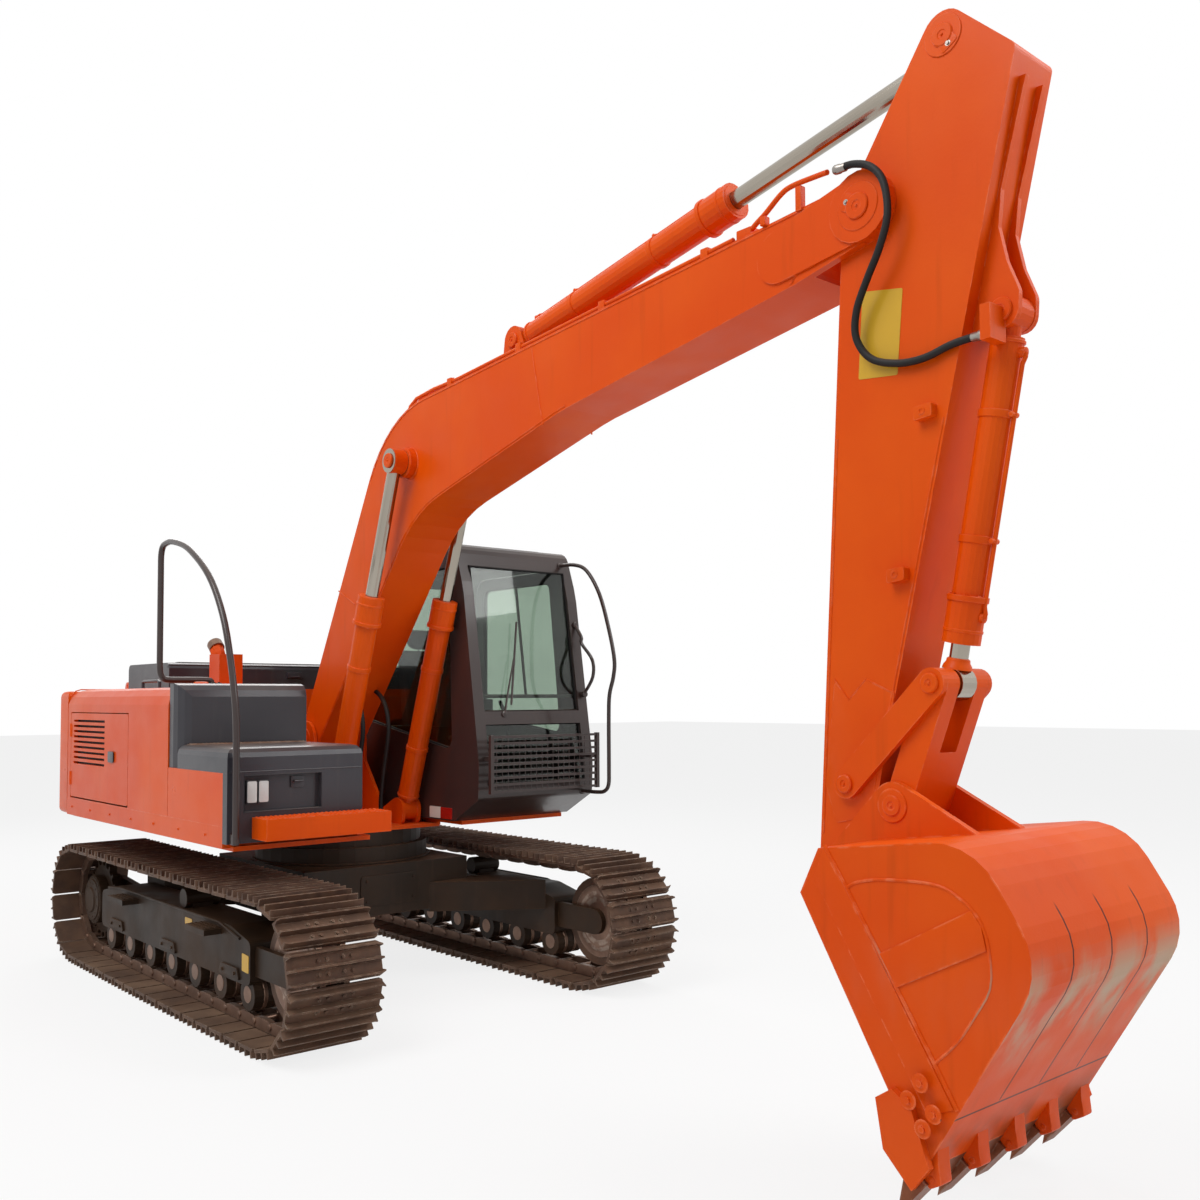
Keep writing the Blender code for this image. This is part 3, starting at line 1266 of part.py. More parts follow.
def travel_levers():
    """The two travel levers with their pedals, ahead of the seat."""
    middle = seat_middle()
    floor = CAB_FLOOR + CAB_WALL + SEAT_GAP
    base = box((LEVER_X - LEVER_PEDAL, middle - LEVER_SPREAD - LEVER_PEDAL / 2, floor),
               (LEVER_X + LEVER_PEDAL, middle + LEVER_SPREAD + LEVER_PEDAL / 2, floor + LEVER_BASE))
    pieces = []
    for side in (1, -1):
        y = middle + side * LEVER_SPREAD
        pieces.append(tube([(LEVER_X, y, floor + LEVER_BASE / 2),
                            (LEVER_X - LEVER_LEAN, y, LEVER_TOP - LEVER_GRIP),
                            (LEVER_X - LEVER_LEAN - LEVER_GRIP_LEAN, y, LEVER_TOP)], LEVER_RADIUS))
    return finish(fuse(base, *pieces), "travel_levers", "seat_cloth", HOUSE)


def door_glass_outline(gap):
    rear, top = CAB_DOOR_REAR + CAB_DOOR_FRAME + gap, CAB_DOOR_TOP - CAB_DOOR_FRAME - gap
    return fillet([(rear, CAB_DOOR_SILL_REAR + gap, WINDOW_CORNER),
                   (CAB_DOOR_GLASS_FRONT - gap, CAB_DOOR_SILL_FRONT + gap, WINDOW_CORNER),
                   (CAB_DOOR_GLASS_BACK - gap, top, WINDOW_CORNER), (rear, top, WINDOW_CORNER)])


def cab_door():
    return plate(door_outline(PANEL_GAP), CAB_LEFT - CAB_DOOR_PLATE, CAB_LEFT, holes=(door_glass_outline(0),))


def door_glass():
    middle = CAB_LEFT - CAB_DOOR_PLATE / 2
    sheet = plate(door_glass_outline(SEAT_GAP), middle - GLASS / 2, middle + GLASS / 2)
    return finish(sheet, "cab_door_glass", "glass", CAB_DOOR)


def window_guard():
    """The bar grille in front of the lower windscreen."""
    low_y, high_y = CAB_RIGHT + GUARD_INSIDE, CAB_LEFT - GUARD_ARM
    x = CAB_WAIST_X + GUARD_AHEAD
    bar = GUARD_BAR
    pieces = [box((x - bar, low_y, GUARD_LOW), (x + bar, low_y + 2 * bar, GUARD_TOP)),
              box((x - bar, high_y - 2 * bar, GUARD_LOW), (x + bar, high_y, GUARD_TOP))]
    for index in range(GUARD_RUNGS):
        z = GUARD_LOW + bar + (GUARD_TOP - GUARD_LOW - 2 * bar) * index / (GUARD_RUNGS - 1)
        pieces.append(box((x - GUARD_RUNG, low_y + bar, z - GUARD_RUNG),
                          (x + GUARD_RUNG, high_y - bar, z + GUARD_RUNG)))
    for y in (low_y + GUARD_ARM, high_y - 2 * GUARD_ARM):
        pieces.append(box((CAB_WAIST_X - CUT_OVERRUN, y, GUARD_ARM_Z),
                          (x, y + GUARD_ARM, GUARD_ARM_Z + GUARD_ARM)))
    return finish(cut(fuse(*pieces), cab_seat()), "window_guard", "cab_paint", HOUSE)


def cab_seat():
    """A cutter that trims what stands on the cab to a seat on its outer face."""
    return plate(fillet(cab_profile(-SEAT_GAP)), CAB_RIGHT - SEAT_GAP, CAB_LEFT + SEAT_GAP)


def mirror_stay():
    path = [(x, CAB_LEFT - MIRROR_INSET, z) for x, z in MIRROR_CORNERS]
    return finish(cut(tube(path, MIRROR_TUBE, MIRROR_BEND), cab_seat()), "mirror_stay", "cab_paint", HOUSE)


def seat_middle():
    return CAB_RIGHT + CAB_WALL + CONSOLE_WIDTH + CONSOLE_GAP + SEAT_WIDTH / 2


def seat():
    middle = seat_middle()
    half = SEAT_WIDTH / 2
    floor = CAB_FLOOR + CAB_WALL + SEAT_GAP
    cushion_low = SEAT_HEIGHT - SEAT_CUSHION
    rear = SEAT_X - SEAT_CUSHION_LENGTH / 2
    base = box((SEAT_X - SEAT_BASE / 2, middle - SEAT_BASE_WIDTH / 2, floor),
               (SEAT_X + SEAT_BASE / 2, middle + SEAT_BASE_WIDTH / 2, cushion_low + SMALL_CORNER))
    cushion = box((rear, middle - half, cushion_low),
                  (rear + SEAT_CUSHION_LENGTH, middle + half, SEAT_HEIGHT))
    top = SEAT_HEIGHT + SEAT_BACK_HEIGHT
    back = plate(fillet([(rear - SMALL_CORNER, cushion_low + SMALL_CORNER, SMALL_CORNER),
                         (rear - SMALL_CORNER + SEAT_BACK, cushion_low + SMALL_CORNER, SMALL_CORNER),
                         (rear - SMALL_CORNER + SEAT_BACK - SEAT_BACK_LEAN, top, PLATE_CORNER),
                         (rear - SMALL_CORNER - SEAT_BACK_LEAN, top, PLATE_CORNER)]), middle - half,
                         middle + half)
    return finish(fuse(base, cushion, back), "operator_seat", "seat_cloth", HOUSE)


def console():
    floor = CAB_FLOOR + CAB_WALL + SEAT_GAP
    low = CAB_RIGHT + CAB_WALL + SEAT_GAP
    rear = SEAT_X - SEAT_CUSHION_LENGTH / 2
    front = rear + CONSOLE_LENGTH
    top = SEAT_HEIGHT + CONSOLE_RISE
    block = box((rear, low, floor), (front, low + CONSOLE_WIDTH, top))
    middle = low + CONSOLE_WIDTH / 2
    foot = front - CONSOLE_RISE
    lever = tube([(foot, middle, top - STICK_LEAN),
                  (foot + STICK_LEAN, middle, top - STICK_LEAN + STICK_RISE)],
                 STICK_RADIUS)
    return finish(fuse(block, lever), "side_console", "seat_cloth", HOUSE)


# Work equipment: pins

def foot_pin():
    return (FOOT_X, FOOT_Z)


def boom_point(share):
    return on_member(foot_pin(), BOOM_REST_DEG, BOOM_LENGTH, share)


def arm_pivot():
    return boom_point((1, 0))


def arm_point(share):
    return on_member(arm_pivot(), ARM_REST_DEG, ARM_LENGTH, share)


def bucket_pin():
    return arm_point((1, 0))


def bucket_point(share):
    return on_member(bucket_pin(), BUCKET_REST_DEG, BUCKET_REACH, share)


def boom_solid():
    """The boom's plain box section, also used to trim what ends on it."""
    outline = fillet(member_outline(foot_pin(), BOOM_REST_DEG, BOOM_LENGTH, BOOM_OUTLINE_shares), steps=12)
    return plate(outline, -BOOM_HALF_WIDTH, BOOM_HALF_WIDTH)


def boom():
    beam = boom_solid()
    foot_face = BOOM_HALF_WIDTH + BOOM_DOUBLER / 2
    tip_face = BOOM_HALF_WIDTH + BOOM_DOUBLER
    pieces = [across(foot_pin(), -foot_face, foot_face, BOOM_FOOT_RADIUS),
              across(arm_pivot(), -tip_face, tip_face, BOOM_TIP_RADIUS)]
    boss = RAM_SPREAD - RAM_SIZES["boom"][4] - PIN_GAP
    pieces.append(across(boom_point(BOOM_RAM_PIN_share), -boss, boss, BOOM_RAM_BOSS_RADIUS))
    ear = belt((*boom_point(BOOM_ARM_RAM_PIN_share), BOOM_EAR_RADIUS),
               (*boom_point(BOOM_ARM_RAM_ROOT_share), BOOM_EAR_ROOT_RADIUS),
               (*boom_point(BOOM_ARM_RAM_FRONT_share), BOOM_EAR_FRONT_RADIUS))
    shoulder = belt((*arm_pivot(), BOOM_TIP_RADIUS * BEAM_INSIDE_BOSS_share),
                    (*boom_point(BOOM_SHOULDER_share), BOOM_SHOULDER_RADIUS))
    ear_low = RAM_SIZES["arm"][4] + PIN_GAP
    for side in (1, -1):
        pieces.append(plate(ear, *span(ear_low, ear_low + BOOM_EAR_PLATE, side)))
        pieces.append(plate(shoulder, *span(BOOM_HALF_WIDTH - WELD_OVERLAP, foot_face, side)))
    beam = fuse(beam, *pieces)
    reach = ARM_HALF_WIDTH + PIN_GAP
    slot = across(arm_pivot(), -reach, reach, BOOM_SLOT_RADIUS, RING_SIDES)
    return finish(cut(beam, slot, arm_notch(reach)), "boom", "orange_paint", BOOM)


def turned(place, centre, degrees):
    """A place of the side view turned about a centre."""
    angle = math.radians(degrees)
    a, b = place[0] - centre[0], place[1] - centre[1]
    return (centre[0] + a * math.cos(angle) - b * math.sin(angle),
            centre[1] + a * math.sin(angle) + b * math.cos(angle))


def arm_notch(reach):
    """The room in the boom's tip for the arm's heel when the arm is swung out."""
    heel = turned(arm_point(ARM_RAM_PIN_share), arm_pivot(), ARM_SWING_HIGH_DEG + ARM_NOTCH_MARGIN_DEG)
    raised = turned(heel, arm_pivot(), ARM_NOTCH_RISE_DEG)
    return plate(belt((*arm_pivot(), ARM_PIVOT_RADIUS + MOVING_GAP), (*heel, ARM_EAR_RADIUS + MOVING_GAP),
                      (*raised, ARM_EAR_RADIUS + MOVING_GAP)), -reach, reach)


def arm_fork(reach):
    """The slot between the arm's rear ears, swept by the ram's eye and rod as the arm swings."""
    base, pin, pivot = boom_point(BOOM_ARM_RAM_PIN_share), arm_point(ARM_RAM_PIN_share), arm_pivot()
    line = Vector(pin) - Vector(base)
    travel_in, travel_out = [share * line.length for share in RAM_TRAVEL_shares["arm"][1:]]
    eye_room = RAM_SIZES["arm"][3] + MOVING_GAP
    rod_room = RAM_SIZES["arm"][2] + MOVING_GAP
    circles = []
    for step in range(ARM_FORK_STEPS + 1):
        swing = ARM_SWING_LOW_DEG + (ARM_SWING_HIGH_DEG - ARM_SWING_LOW_DEG) * step / ARM_FORK_STEPS
        stroke = -travel_in * swing / ARM_SWING_HIGH_DEG
        angle = math.atan2(line.y, line.x) + math.radians(swing * ARM_RAM_TURN_share)
        for back, room in ((0, eye_room), (ARM_FORK_REACH, rod_room)):
            length = line.length + stroke - back
            place = (base[0] + length * math.cos(angle), base[1] + length * math.sin(angle))
            circles.append((*turned(place, pivot, -swing), room))
    return plate(belt(*circles), -reach, reach)


def arm():
    outline = belt((*arm_pivot(), ARM_PIVOT_RADIUS), (*arm_point(ARM_RAM_PIN_share), ARM_EAR_RADIUS),
                   (*arm_point(ARM_CORNER_share), ARM_CORNER_RADIUS), (*bucket_pin(), ARM_TIP_RADIUS))
    beam = plate(outline, -ARM_HALF_WIDTH, ARM_HALF_WIDTH)
    tip = ARM_TIP_HALF_WIDTH
    pieces = [across(bucket_pin(), -tip, tip, ARM_TIP_RADIUS * BEAM_INSIDE_BOSS_share),
              across(arm_point(ARM_LINK_PIN_share), -tip, tip, ARM_LINK_BOSS_RADIUS)]
    ear_low = RAM_SIZES["bucket"][4] + PIN_GAP
    neck = fillet(member_outline(arm_pivot(), ARM_REST_DEG, ARM_LENGTH, ARM_NECK_shares))
    for side in (1, -1):
        pieces.append(plate(neck, *span(ear_low, ear_low + EAR_PLATE, side)))
    clip = ARM_HOSE_ROUTE[-1]
    pieces.append(box((clip[0] + SEAT_GAP, clip[1] - HOSE_CLIP, clip[2] - HOSE_CLIP),
                      (clip[0] + HOSE_CLIP_REACH, -ear_low - EAR_PLATE + WELD_OVERLAP,
                       clip[2] + HOSE_CLIP_RISE)))
    return finish(cut(fuse(beam, *pieces), arm_fork(RAM_SIZES["arm"][4] + PIN_GAP)), "arm", "orange_paint",
                  ARM)


def bucket_outline(inset=0.0):
    return fillet(member_outline(bucket_pin(), BUCKET_REST_DEG, BUCKET_REACH, BUCKET_WRAPPER_shares),
                  closed=False, steps=6)


def bucket():
    wrapper = bucket_outline()
    front = [bucket_point(row) for row in BUCKET_FRONT_shares]
    half = BUCKET_HALF_WIDTH
    shell = plate(wrapper + front, -half, half)
    pieces = []
    ear_low = ARM_TIP_HALF_WIDTH + PIN_GAP
    link = bucket_point(BUCKET_LINK_PIN_share)
    roots = [(*bucket_point(share), BUCKET_EAR_ROOT_RADIUS) for share in BUCKET_EAR_ROOT_shares]
    for side in (1, -1):
        low, high = span(ear_low, ear_low + BUCKET_EAR_PLATE, side)
        pieces.append(plate(belt((*bucket_pin(), BUCKET_EAR_RADIUS), (*link, BUCKET_LINK_EAR_RADIUS), *roots),
                            low, high))
    shell = fuse(shell, *pieces)
    inner = offset_path(wrapper, -BUCKET_WALL)
    past_lip = Vector(inner[-1]) + (Vector(inner[-1]) - Vector(inner[-2])).normalized() * 3 * CUT_OVERRUN
    mouth = [tuple(past_lip)] + [bucket_point(row) for row in BUCKET_MOUTH_shares]
    hollow = plate(inner[1:] + mouth, -half + BUCKET_WALL, half - BUCKET_WALL)
    return finish(cut(shell, hollow), "bucket", "orange_paint", BUCKET)


def bucket_teeth():
    """The cutting edge with its teeth, welded under the bucket's lip."""
    back, lip = [Vector(bucket_point(share)) for share in BUCKET_LIP_shares]
    direction = (lip - back).normalized()
    normal = Vector((-direction.y, direction.x))
    half = BUCKET_HALF_WIDTH
    start = lip + direction * SEAT_GAP
    edge = [start, start + direction * EDGE_LENGTH, start + direction * EDGE_LENGTH - normal * EDGE_TIP,
            start - normal * EDGE_HEEL]
    bar = plate([tuple(point) for point in edge], -half, half)
    pieces = []
    for index in range(TOOTH_COUNT):
        y = -half + TOOTH_WIDTH / 2 + (2 * half - TOOTH_WIDTH) * index / (TOOTH_COUNT - 1)
        root = start + direction * TOOTH_ROOT
        outline = [root + normal * TOOTH_THICKNESS / 2, start + direction * TOOTH_LENGTH,
                   root - normal * (TOOTH_THICKNESS / 2 + TOOTH_HEEL)]
        pieces.append(plate([tuple(point) for point in outline], y - TOOTH_WIDTH / 2, y + TOOTH_WIDTH / 2))
    return finish(fuse(bar, *pieces), "bucket_teeth", "tooth_steel", BUCKET)


def side_cutter(side, name):
    """The plate bolted outside a bucket side, ahead of its front edge."""
    outline = [bucket_point(row) for row in CUTTER_shares]
    low, high = span(BUCKET_HALF_WIDTH + SEAT_GAP, BUCKET_HALF_WIDTH + SEAT_GAP + CUTTER_PLATE, side)
    return finish(plate(outline, low, high), name, "orange_paint", BUCKET)


# Hoses

def smooth(points, steps=3):
    """A smooth curve through a route's points."""
    route = [Vector(point) for point in points]
    line = []
    for index in range(len(route) - 1):
        before = route[max(index - 1, 0)]
        after = route[min(index + 2, len(route) - 1)]
        for step in range(steps):
            t = step / steps
            line.append(0.5 * (2 * route[index] + (route[index + 1] - before) * t
                               + (2 * before - 5 * route[index] + 4 * route[index + 1] - after) * t ** 2
                               + (3 * route[index] - before - 3 * route[index + 1] + after) * t ** 3))
    return line + [route[-1]]


def arm_hose():
    """The hose that loops past the arm's pivot to the bucket ram."""
    return finish(tube(smooth(ARM_HOSE_ROUTE), HOSE_RADIUS), "arm_hose", "hose_rubber", ARM)


def boom_hose(side, name):
    """A hose from the deck up to the boom's underside, between the two boom rams."""
    pipe = tube(smooth([(x, side * BOOM_HOSE_Y, z) for x, z in BOOM_HOSE_ROUTE]), HOSE_RADIUS)
    beam = boom_solid()
    beam.data.transform(Matrix.Translation((SEAT_GAP, 0, -SEAT_GAP)))
    return finish(cut(pipe, beam), name, "hose_rubber", HOUSE)


# Rams and links

def ram(kind, base, pin, y, barrel_name, rod_name, barrel_body, rod_body):
    """A hydraulic ram: barrel with its foot eye, and a rod whose eye lies at the pin."""
    barrel_radius, head_radius, rod_radius, eye_radius, eye_half = RAM_SIZES[kind]
    line = Vector((pin[0] - base[0], 0, pin[1] - base[1]))
    spare, travel_in, travel_out = [share * line.length for share in RAM_TRAVEL_shares[kind]]
    barrel_length = line.length - travel_in - eye_radius - spare
    direction = line.normalized()
    start = Vector((base[0], y, base[1]))
    end = Vector((pin[0], y, pin[1]))
    head_end = start + direction * barrel_length
    head_start = start + direction * (barrel_length - RAM_HEAD_LENGTH)
    barrel = rod(start + direction * RAM_START, head_start + direction * WELD_OVERLAP, barrel_radius)
    head = rod(head_start, head_end, head_radius)
    eye = across(base, y - eye_half, y + eye_half, eye_radius)
    neck = rod(start, start + direction * (RAM_START + WELD_OVERLAP), eye_half - RAM_NECK_GAP)
    barrel = fuse(barrel, head, eye, neck)
    bottom = RAM_START + RAM_END_PLATE
    bore = rod(start + direction * bottom, head_end + direction * CUT_OVERRUN, rod_radius + RAM_BORE_GAP)
    finish(cut(barrel, bore), barrel_name, "orange_paint", barrel_body)
    rod_start = (bottom + travel_in + barrel_length - travel_out) / 2
    bar = rod(start + direction * rod_start, end - direction * eye_radius * RAM_EYE_ROOT_share, rod_radius)
    rod_eye = across(pin, y - eye_half, y + eye_half, eye_radius)
    finish(fuse(bar, rod_eye), rod_name, "chrome_rod", rod_body)


def side_link(side, name):
    pivot = arm_point(ARM_LINK_PIN_share)
    knee = arm_point(LINK_KNEE_share)
    inner = ARM_TIP_HALF_WIDTH + PIN_GAP
    low, high = span(inner, inner + LINK_PLATE, side)
    return finish(plate(belt((*pivot, LINK_RADIUS), (*knee, LINK_RADIUS)), low, high), name, "orange_paint",
                  SIDE_LINKS)


def bucket_link():
    knee = arm_point(LINK_KNEE_share)
    pin = bucket_point(BUCKET_LINK_PIN_share)
    half = ARM_TIP_HALF_WIDTH
    body = plate(belt((*knee, LINK_RADIUS), (*pin, LINK_RADIUS)), -half, half)
    direction = (Vector(pin) - Vector(knee)).normalized()
    beyond = Vector(knee) - direction * LINK_SLOT_BEYOND
    web = Vector(knee) + direction * (LINK_FORK_DEPTH - LINK_SLOT_RADIUS)
    slot = plate(belt((*tuple(beyond), LINK_SLOT_RADIUS), (*tuple(web), LINK_SLOT_RADIUS)),
                 -LINK_SLOT_HALF_WIDTH, LINK_SLOT_HALF_WIDTH)
    return finish(cut(body, slot), "bucket_link", "orange_paint", BUCKET_LINK)


def at(place, y=0.0):
    return (place[0], y, place[1])


def centre_on_origin():
    """Moves the machine along X until the origin lies under the middle of its length."""
    bpy.context.view_layer.update()
    places = []
    for piece in PARTS.objects:
        if piece.type == "MESH":
            places += [(piece.matrix_world @ vertex.co).x for vertex in piece.data.vertices]
    ROOT.location.x -= (min(places) + max(places)) / 2


clear_scene()
PARTS = make_collection("crawler_excavator")
SHADES = {name: make_material(name) for name in MATERIALS}

ROOT = make_body("machine", (0, 0, 0), None)
UNDERCARRIAGE = make_body("undercarriage_body", (0, 0, 0), ROOT)
HOUSE = make_body("house_body", (0, 0, 0), ROOT)
RIGHT_DOOR_PIN = (DOOR_REAR + PANEL_GAP / 2, -HOUSE_HALF_WIDTH)
LEFT_DOOR_PIN = (DOOR_REAR + PANEL_GAP / 2, HOUSE_HALF_WIDTH)
HOOD_PIN = (HOOD_REAR - HOOD_LIP, COVER_TOP + SEAT_GAP)
LID_PIN = (COVER_FRONT + WALL_DEPTH + 3 * PANEL_GAP, TANK_TOP + LID_PIN_HEIGHT)
CAB_DOOR_PIN = (CAB_DOOR_REAR + PANEL_GAP / 2, CAB_LEFT)
RIGHT_DOOR = make_body("right_door_body", (*RIGHT_DOOR_PIN, 0), HOUSE)
LEFT_DOOR = make_body("left_door_body", (*LEFT_DOOR_PIN, 0), HOUSE)
HOOD = make_body("hood_body", at(HOOD_PIN), HOUSE)
LID = make_body("lid_body", at(LID_PIN), HOUSE)
CAB_DOOR = make_body("cab_door_body", (*CAB_DOOR_PIN, 0), HOUSE)
BOOM = make_body("boom_body", at(foot_pin()), HOUSE)
BOOM_BARRELS = make_body("boom_barrel_body", (RAM_FOOT_X, 0, RAM_FOOT_Z), HOUSE)
BOOM_RODS = make_body("boom_rod_body", (RAM_FOOT_X, 0, RAM_FOOT_Z), BOOM_BARRELS)
ARM_BARREL = make_body("arm_barrel_body", at(boom_point(BOOM_ARM_RAM_PIN_share)), BOOM)
ARM_ROD = make_body("arm_rod_body", at(boom_point(BOOM_ARM_RAM_PIN_share)), ARM_BARREL)
ARM = make_body("arm_body", at(arm_pivot()), BOOM)
BUCKET_BARREL = make_body("bucket_barrel_body", at(arm_point(ARM_BUCKET_RAM_PIN_share)), ARM)
BUCKET_ROD = make_body("bucket_rod_body", at(arm_point(ARM_BUCKET_RAM_PIN_share)), BUCKET_BARREL)
SIDE_LINKS = make_body("side_link_body", at(arm_point(ARM_LINK_PIN_share)), ARM)
BUCKET = make_body("bucket_body", at(bucket_pin()), ARM)
BUCKET_LINK = make_body("bucket_link_body", at(bucket_point(BUCKET_LINK_PIN_share)), BUCKET)

for hand, word in ((1, "left"), (-1, "right")):
    track(hand, "track_" + word)
    track_frame(hand, "track_frame_" + word)
    idler(hand, "idler_" + word)
    sprocket(hand, "sprocket_" + word)
    skirt(hand, "skirt_" + word)
    side_link(hand, "side_link_" + word)
    side_cutter(hand, "side_cutter_" + word)
    boom_hose(hand, "boom_hose_" + word)
    ram("boom", (RAM_FOOT_X, RAM_FOOT_Z), boom_point(BOOM_RAM_PIN_share), hand * RAM_SPREAD,
        "boom_ram_barrel_" + word, "boom_ram_rod_" + word, BOOM_BARRELS, BOOM_RODS)
centre_frame()
slewing_ring()
main_frame()
counterweight()
body_cover()
engine_hood()
engine_block()
fuel_tank()
front_wall()
toolbox_front()
toolbox_lid()
step_deck()
hand_rail()
exhaust()
cab_shell()
door_glass()
front_pane(WINDOW_SILL, WINDOW_TOP, "windscreen")
front_pane(LOWER_WINDOW_SILL, LOWER_WINDOW_TOP, "lower_windscreen")
pane(right_window_outline(SEAT_GAP), CAB_RIGHT + CAB_WALL / 2 + GLASS, 1, "right_window")
pane(quarter_window_outline(SEAT_GAP), CAB_LEFT - CAB_WALL / 2, 1, "quarter_window")
rear_pane()
travel_levers()
window_guard()
mirror_stay()
seat()
console()
boom()
arm()
arm_hose()
bucket()
bucket_teeth()
bucket_link()
ram("arm", boom_point(BOOM_ARM_RAM_PIN_share), arm_point(ARM_RAM_PIN_share), 0,
    "arm_ram_barrel", "arm_ram_rod", ARM_BARREL, ARM_ROD)
ram("bucket", arm_point(ARM_BUCKET_RAM_PIN_share), arm_point(LINK_KNEE_share), 0,
    "bucket_ram_barrel", "bucket_ram_rod", BUCKET_BARREL, BUCKET_ROD)
centre_on_origin()
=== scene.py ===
import json
import math

import bmesh
import bpy
from mathutils import Matrix, Vector


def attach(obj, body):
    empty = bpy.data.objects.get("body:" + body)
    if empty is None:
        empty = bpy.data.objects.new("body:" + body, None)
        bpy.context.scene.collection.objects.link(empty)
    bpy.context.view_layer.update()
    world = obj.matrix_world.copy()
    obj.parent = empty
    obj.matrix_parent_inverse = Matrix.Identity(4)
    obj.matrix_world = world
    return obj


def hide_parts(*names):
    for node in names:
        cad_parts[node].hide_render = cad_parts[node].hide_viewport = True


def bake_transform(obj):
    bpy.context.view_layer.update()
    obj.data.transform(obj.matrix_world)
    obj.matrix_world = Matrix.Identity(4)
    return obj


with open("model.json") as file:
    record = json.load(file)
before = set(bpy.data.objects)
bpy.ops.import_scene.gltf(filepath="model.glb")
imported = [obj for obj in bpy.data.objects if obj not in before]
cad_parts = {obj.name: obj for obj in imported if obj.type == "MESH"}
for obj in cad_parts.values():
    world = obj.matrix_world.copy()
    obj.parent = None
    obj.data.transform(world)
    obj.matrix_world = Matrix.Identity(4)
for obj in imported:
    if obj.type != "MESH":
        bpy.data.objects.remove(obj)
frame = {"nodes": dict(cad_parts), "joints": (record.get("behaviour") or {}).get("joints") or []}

bl_info = {
    "name": "Crawler Excavator Dressing",
    "version": (1, 0, 0),
    "blender": (4, 5, 0),
    "location": "View3D > Sidebar > Excavator",
    "description": "Dresses the packed crawler excavator with its detailed pieces, finishes and stage",
    "category": "Add Mesh",
}

# The drawing's coordinates have x forward from the swing axis, y to the cab's side and z up.
SWING_X = next(joint["pos_m"][0] for joint in frame["joints"] if joint["name"] == "house_swing")
SHIFT = Vector((SWING_X, 0, 0))
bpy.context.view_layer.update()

FINISHES = {}
BOLTS = {}

FOOT = (-0.15, 1.47)
BOOM_DEGREES = 25.54
BOOM_LENGTH = 4.86
BOOM_HALF = 0.16
ARM_HALF = 0.125
BUCKET_DEGREES = -60.0
BUCKET_HALF = 0.50
ACROSS = Vector((0, 1, 0))
UP = (0, 0, 1)
AHEAD = (1, 0, 0)

# Where the pins sit, as (x, z).
BOOM_LIFT_PIN = (0.36, 1.04)
BOOM_ROD_PIN = (1.072, 3.0902)
ARM_FOOT_PIN = (1.9498, 3.6201)
ARM_PIVOT = (4.2352, 3.5653)
ARM_EYE_PIN = (4.575, 4.0883)
BUCKET_FOOT_PIN = (4.7481, 3.0655)
BUCKET_EYE_PIN = (4.4981, 1.7826)
LINK_PIN = (4.3353, 1.3447)
BUCKET_PIN = (4.0703, 1.0507)

# The body that a piece rides on, its slot and its finish.
CAR = ("undercarriage", "dark_frame_paint")
CAR_BLACK = (*CAR, "frame_black")
HOUSE_ORANGE = ("house", "orange_paint", "orange_paint")
HOUSE_COVER = ("house", "cover_paint", "cover_black")
HOUSE_CAB = ("house", "cab_paint", "cab_black")
PAINTED = ("orange_paint", "orange_paint")


def in_frame(point):
    """A point of the drawing in the CAD's own frame."""
    return Vector(point) + SHIFT


def colour(red, green, blue):
    """A colour picked as it looks on a screen, 0 to 255, as a shader's linear one."""
    levels = [value / 255 for value in (red, green, blue)]
    return tuple(v / 12.92 if v <= 0.04045 else ((v + 0.055) / 1.055) ** 2.4 for v in levels)


def on_screen(linear):
    """The reverse: a linear colour as 0 to 255."""
    return tuple(round(255 * (1.055 * c ** (1 / 2.4) - 0.055)) for c in linear)


def on_member(origin, degrees, length, share):
    """A point (x, z) at shares of a member's length along it and square to it."""
    turn = math.radians(degrees)
    along, rise = share[0] * length, share[1] * length
    return (origin[0] + along * math.cos(turn) - rise * math.sin(turn),
            origin[1] + along * math.sin(turn) + rise * math.cos(turn))


def bucket_point(along, rise):
    arm_pivot = on_member(FOOT, BOOM_DEGREES, BOOM_LENGTH, (1.0, 0.0))
    return on_member(on_member(arm_pivot, -93.75, 2.52, (1.0, 0.0)), BUCKET_DEGREES, 1.0, (along, rise))


def rectangle(left, low, right, high):
    return [(left, low), (right, low), (right, high), (left, high)]


def at_y(y, points):
    return [(x, y, z) for x, z in points]


def rounded(points, radius, steps=4):
    """A closed outline of (a, b) points with its corners rounded, or each by its own third number."""
    outline = []
    for index, point in enumerate(points):
        here = Vector(point[:2])
        size = point[2] if len(point) > 2 else radius
        back = Vector(points[index - 1][:2]) - here
        on = Vector(points[(index + 1) % len(points)][:2]) - here
        half = back.angle(on) / 2
        reach = min(size / math.tan(half), back.length * 0.49, on.length * 0.49)
        if reach <= 0.0001:
            outline.append(tuple(here))
            continue
        size = reach * math.tan(half)
        start = here + back.normalized() * reach
        centre = here + (back.normalized() + on.normalized()).normalized() * (size / math.sin(half))
        sweep = math.copysign(math.pi - 2 * half, -back.cross(on))
        outline += [tuple(centre + Matrix.Rotation(sweep * step / steps, 2) @ (start - centre))
                    for step in range(steps + 1)]
    return outline


def inset(outline, distance):
    """The closed outline moved inwards (for a counter-clockwise one) by a distance."""
    moved = []
    for index, point in enumerate(outline):
        before = Vector(point) - Vector(outline[index - 1])
        after = Vector(outline[(index + 1) % len(outline)]) - Vector(point)
        if min(before.length, after.length) >= 1e-6:
            normal = Vector((-before.y, before.x)).normalized() + Vector((-after.y, after.x)).normalized()
            moved.append(tuple(Vector(point) + normal.normalized() * distance))
    return moved


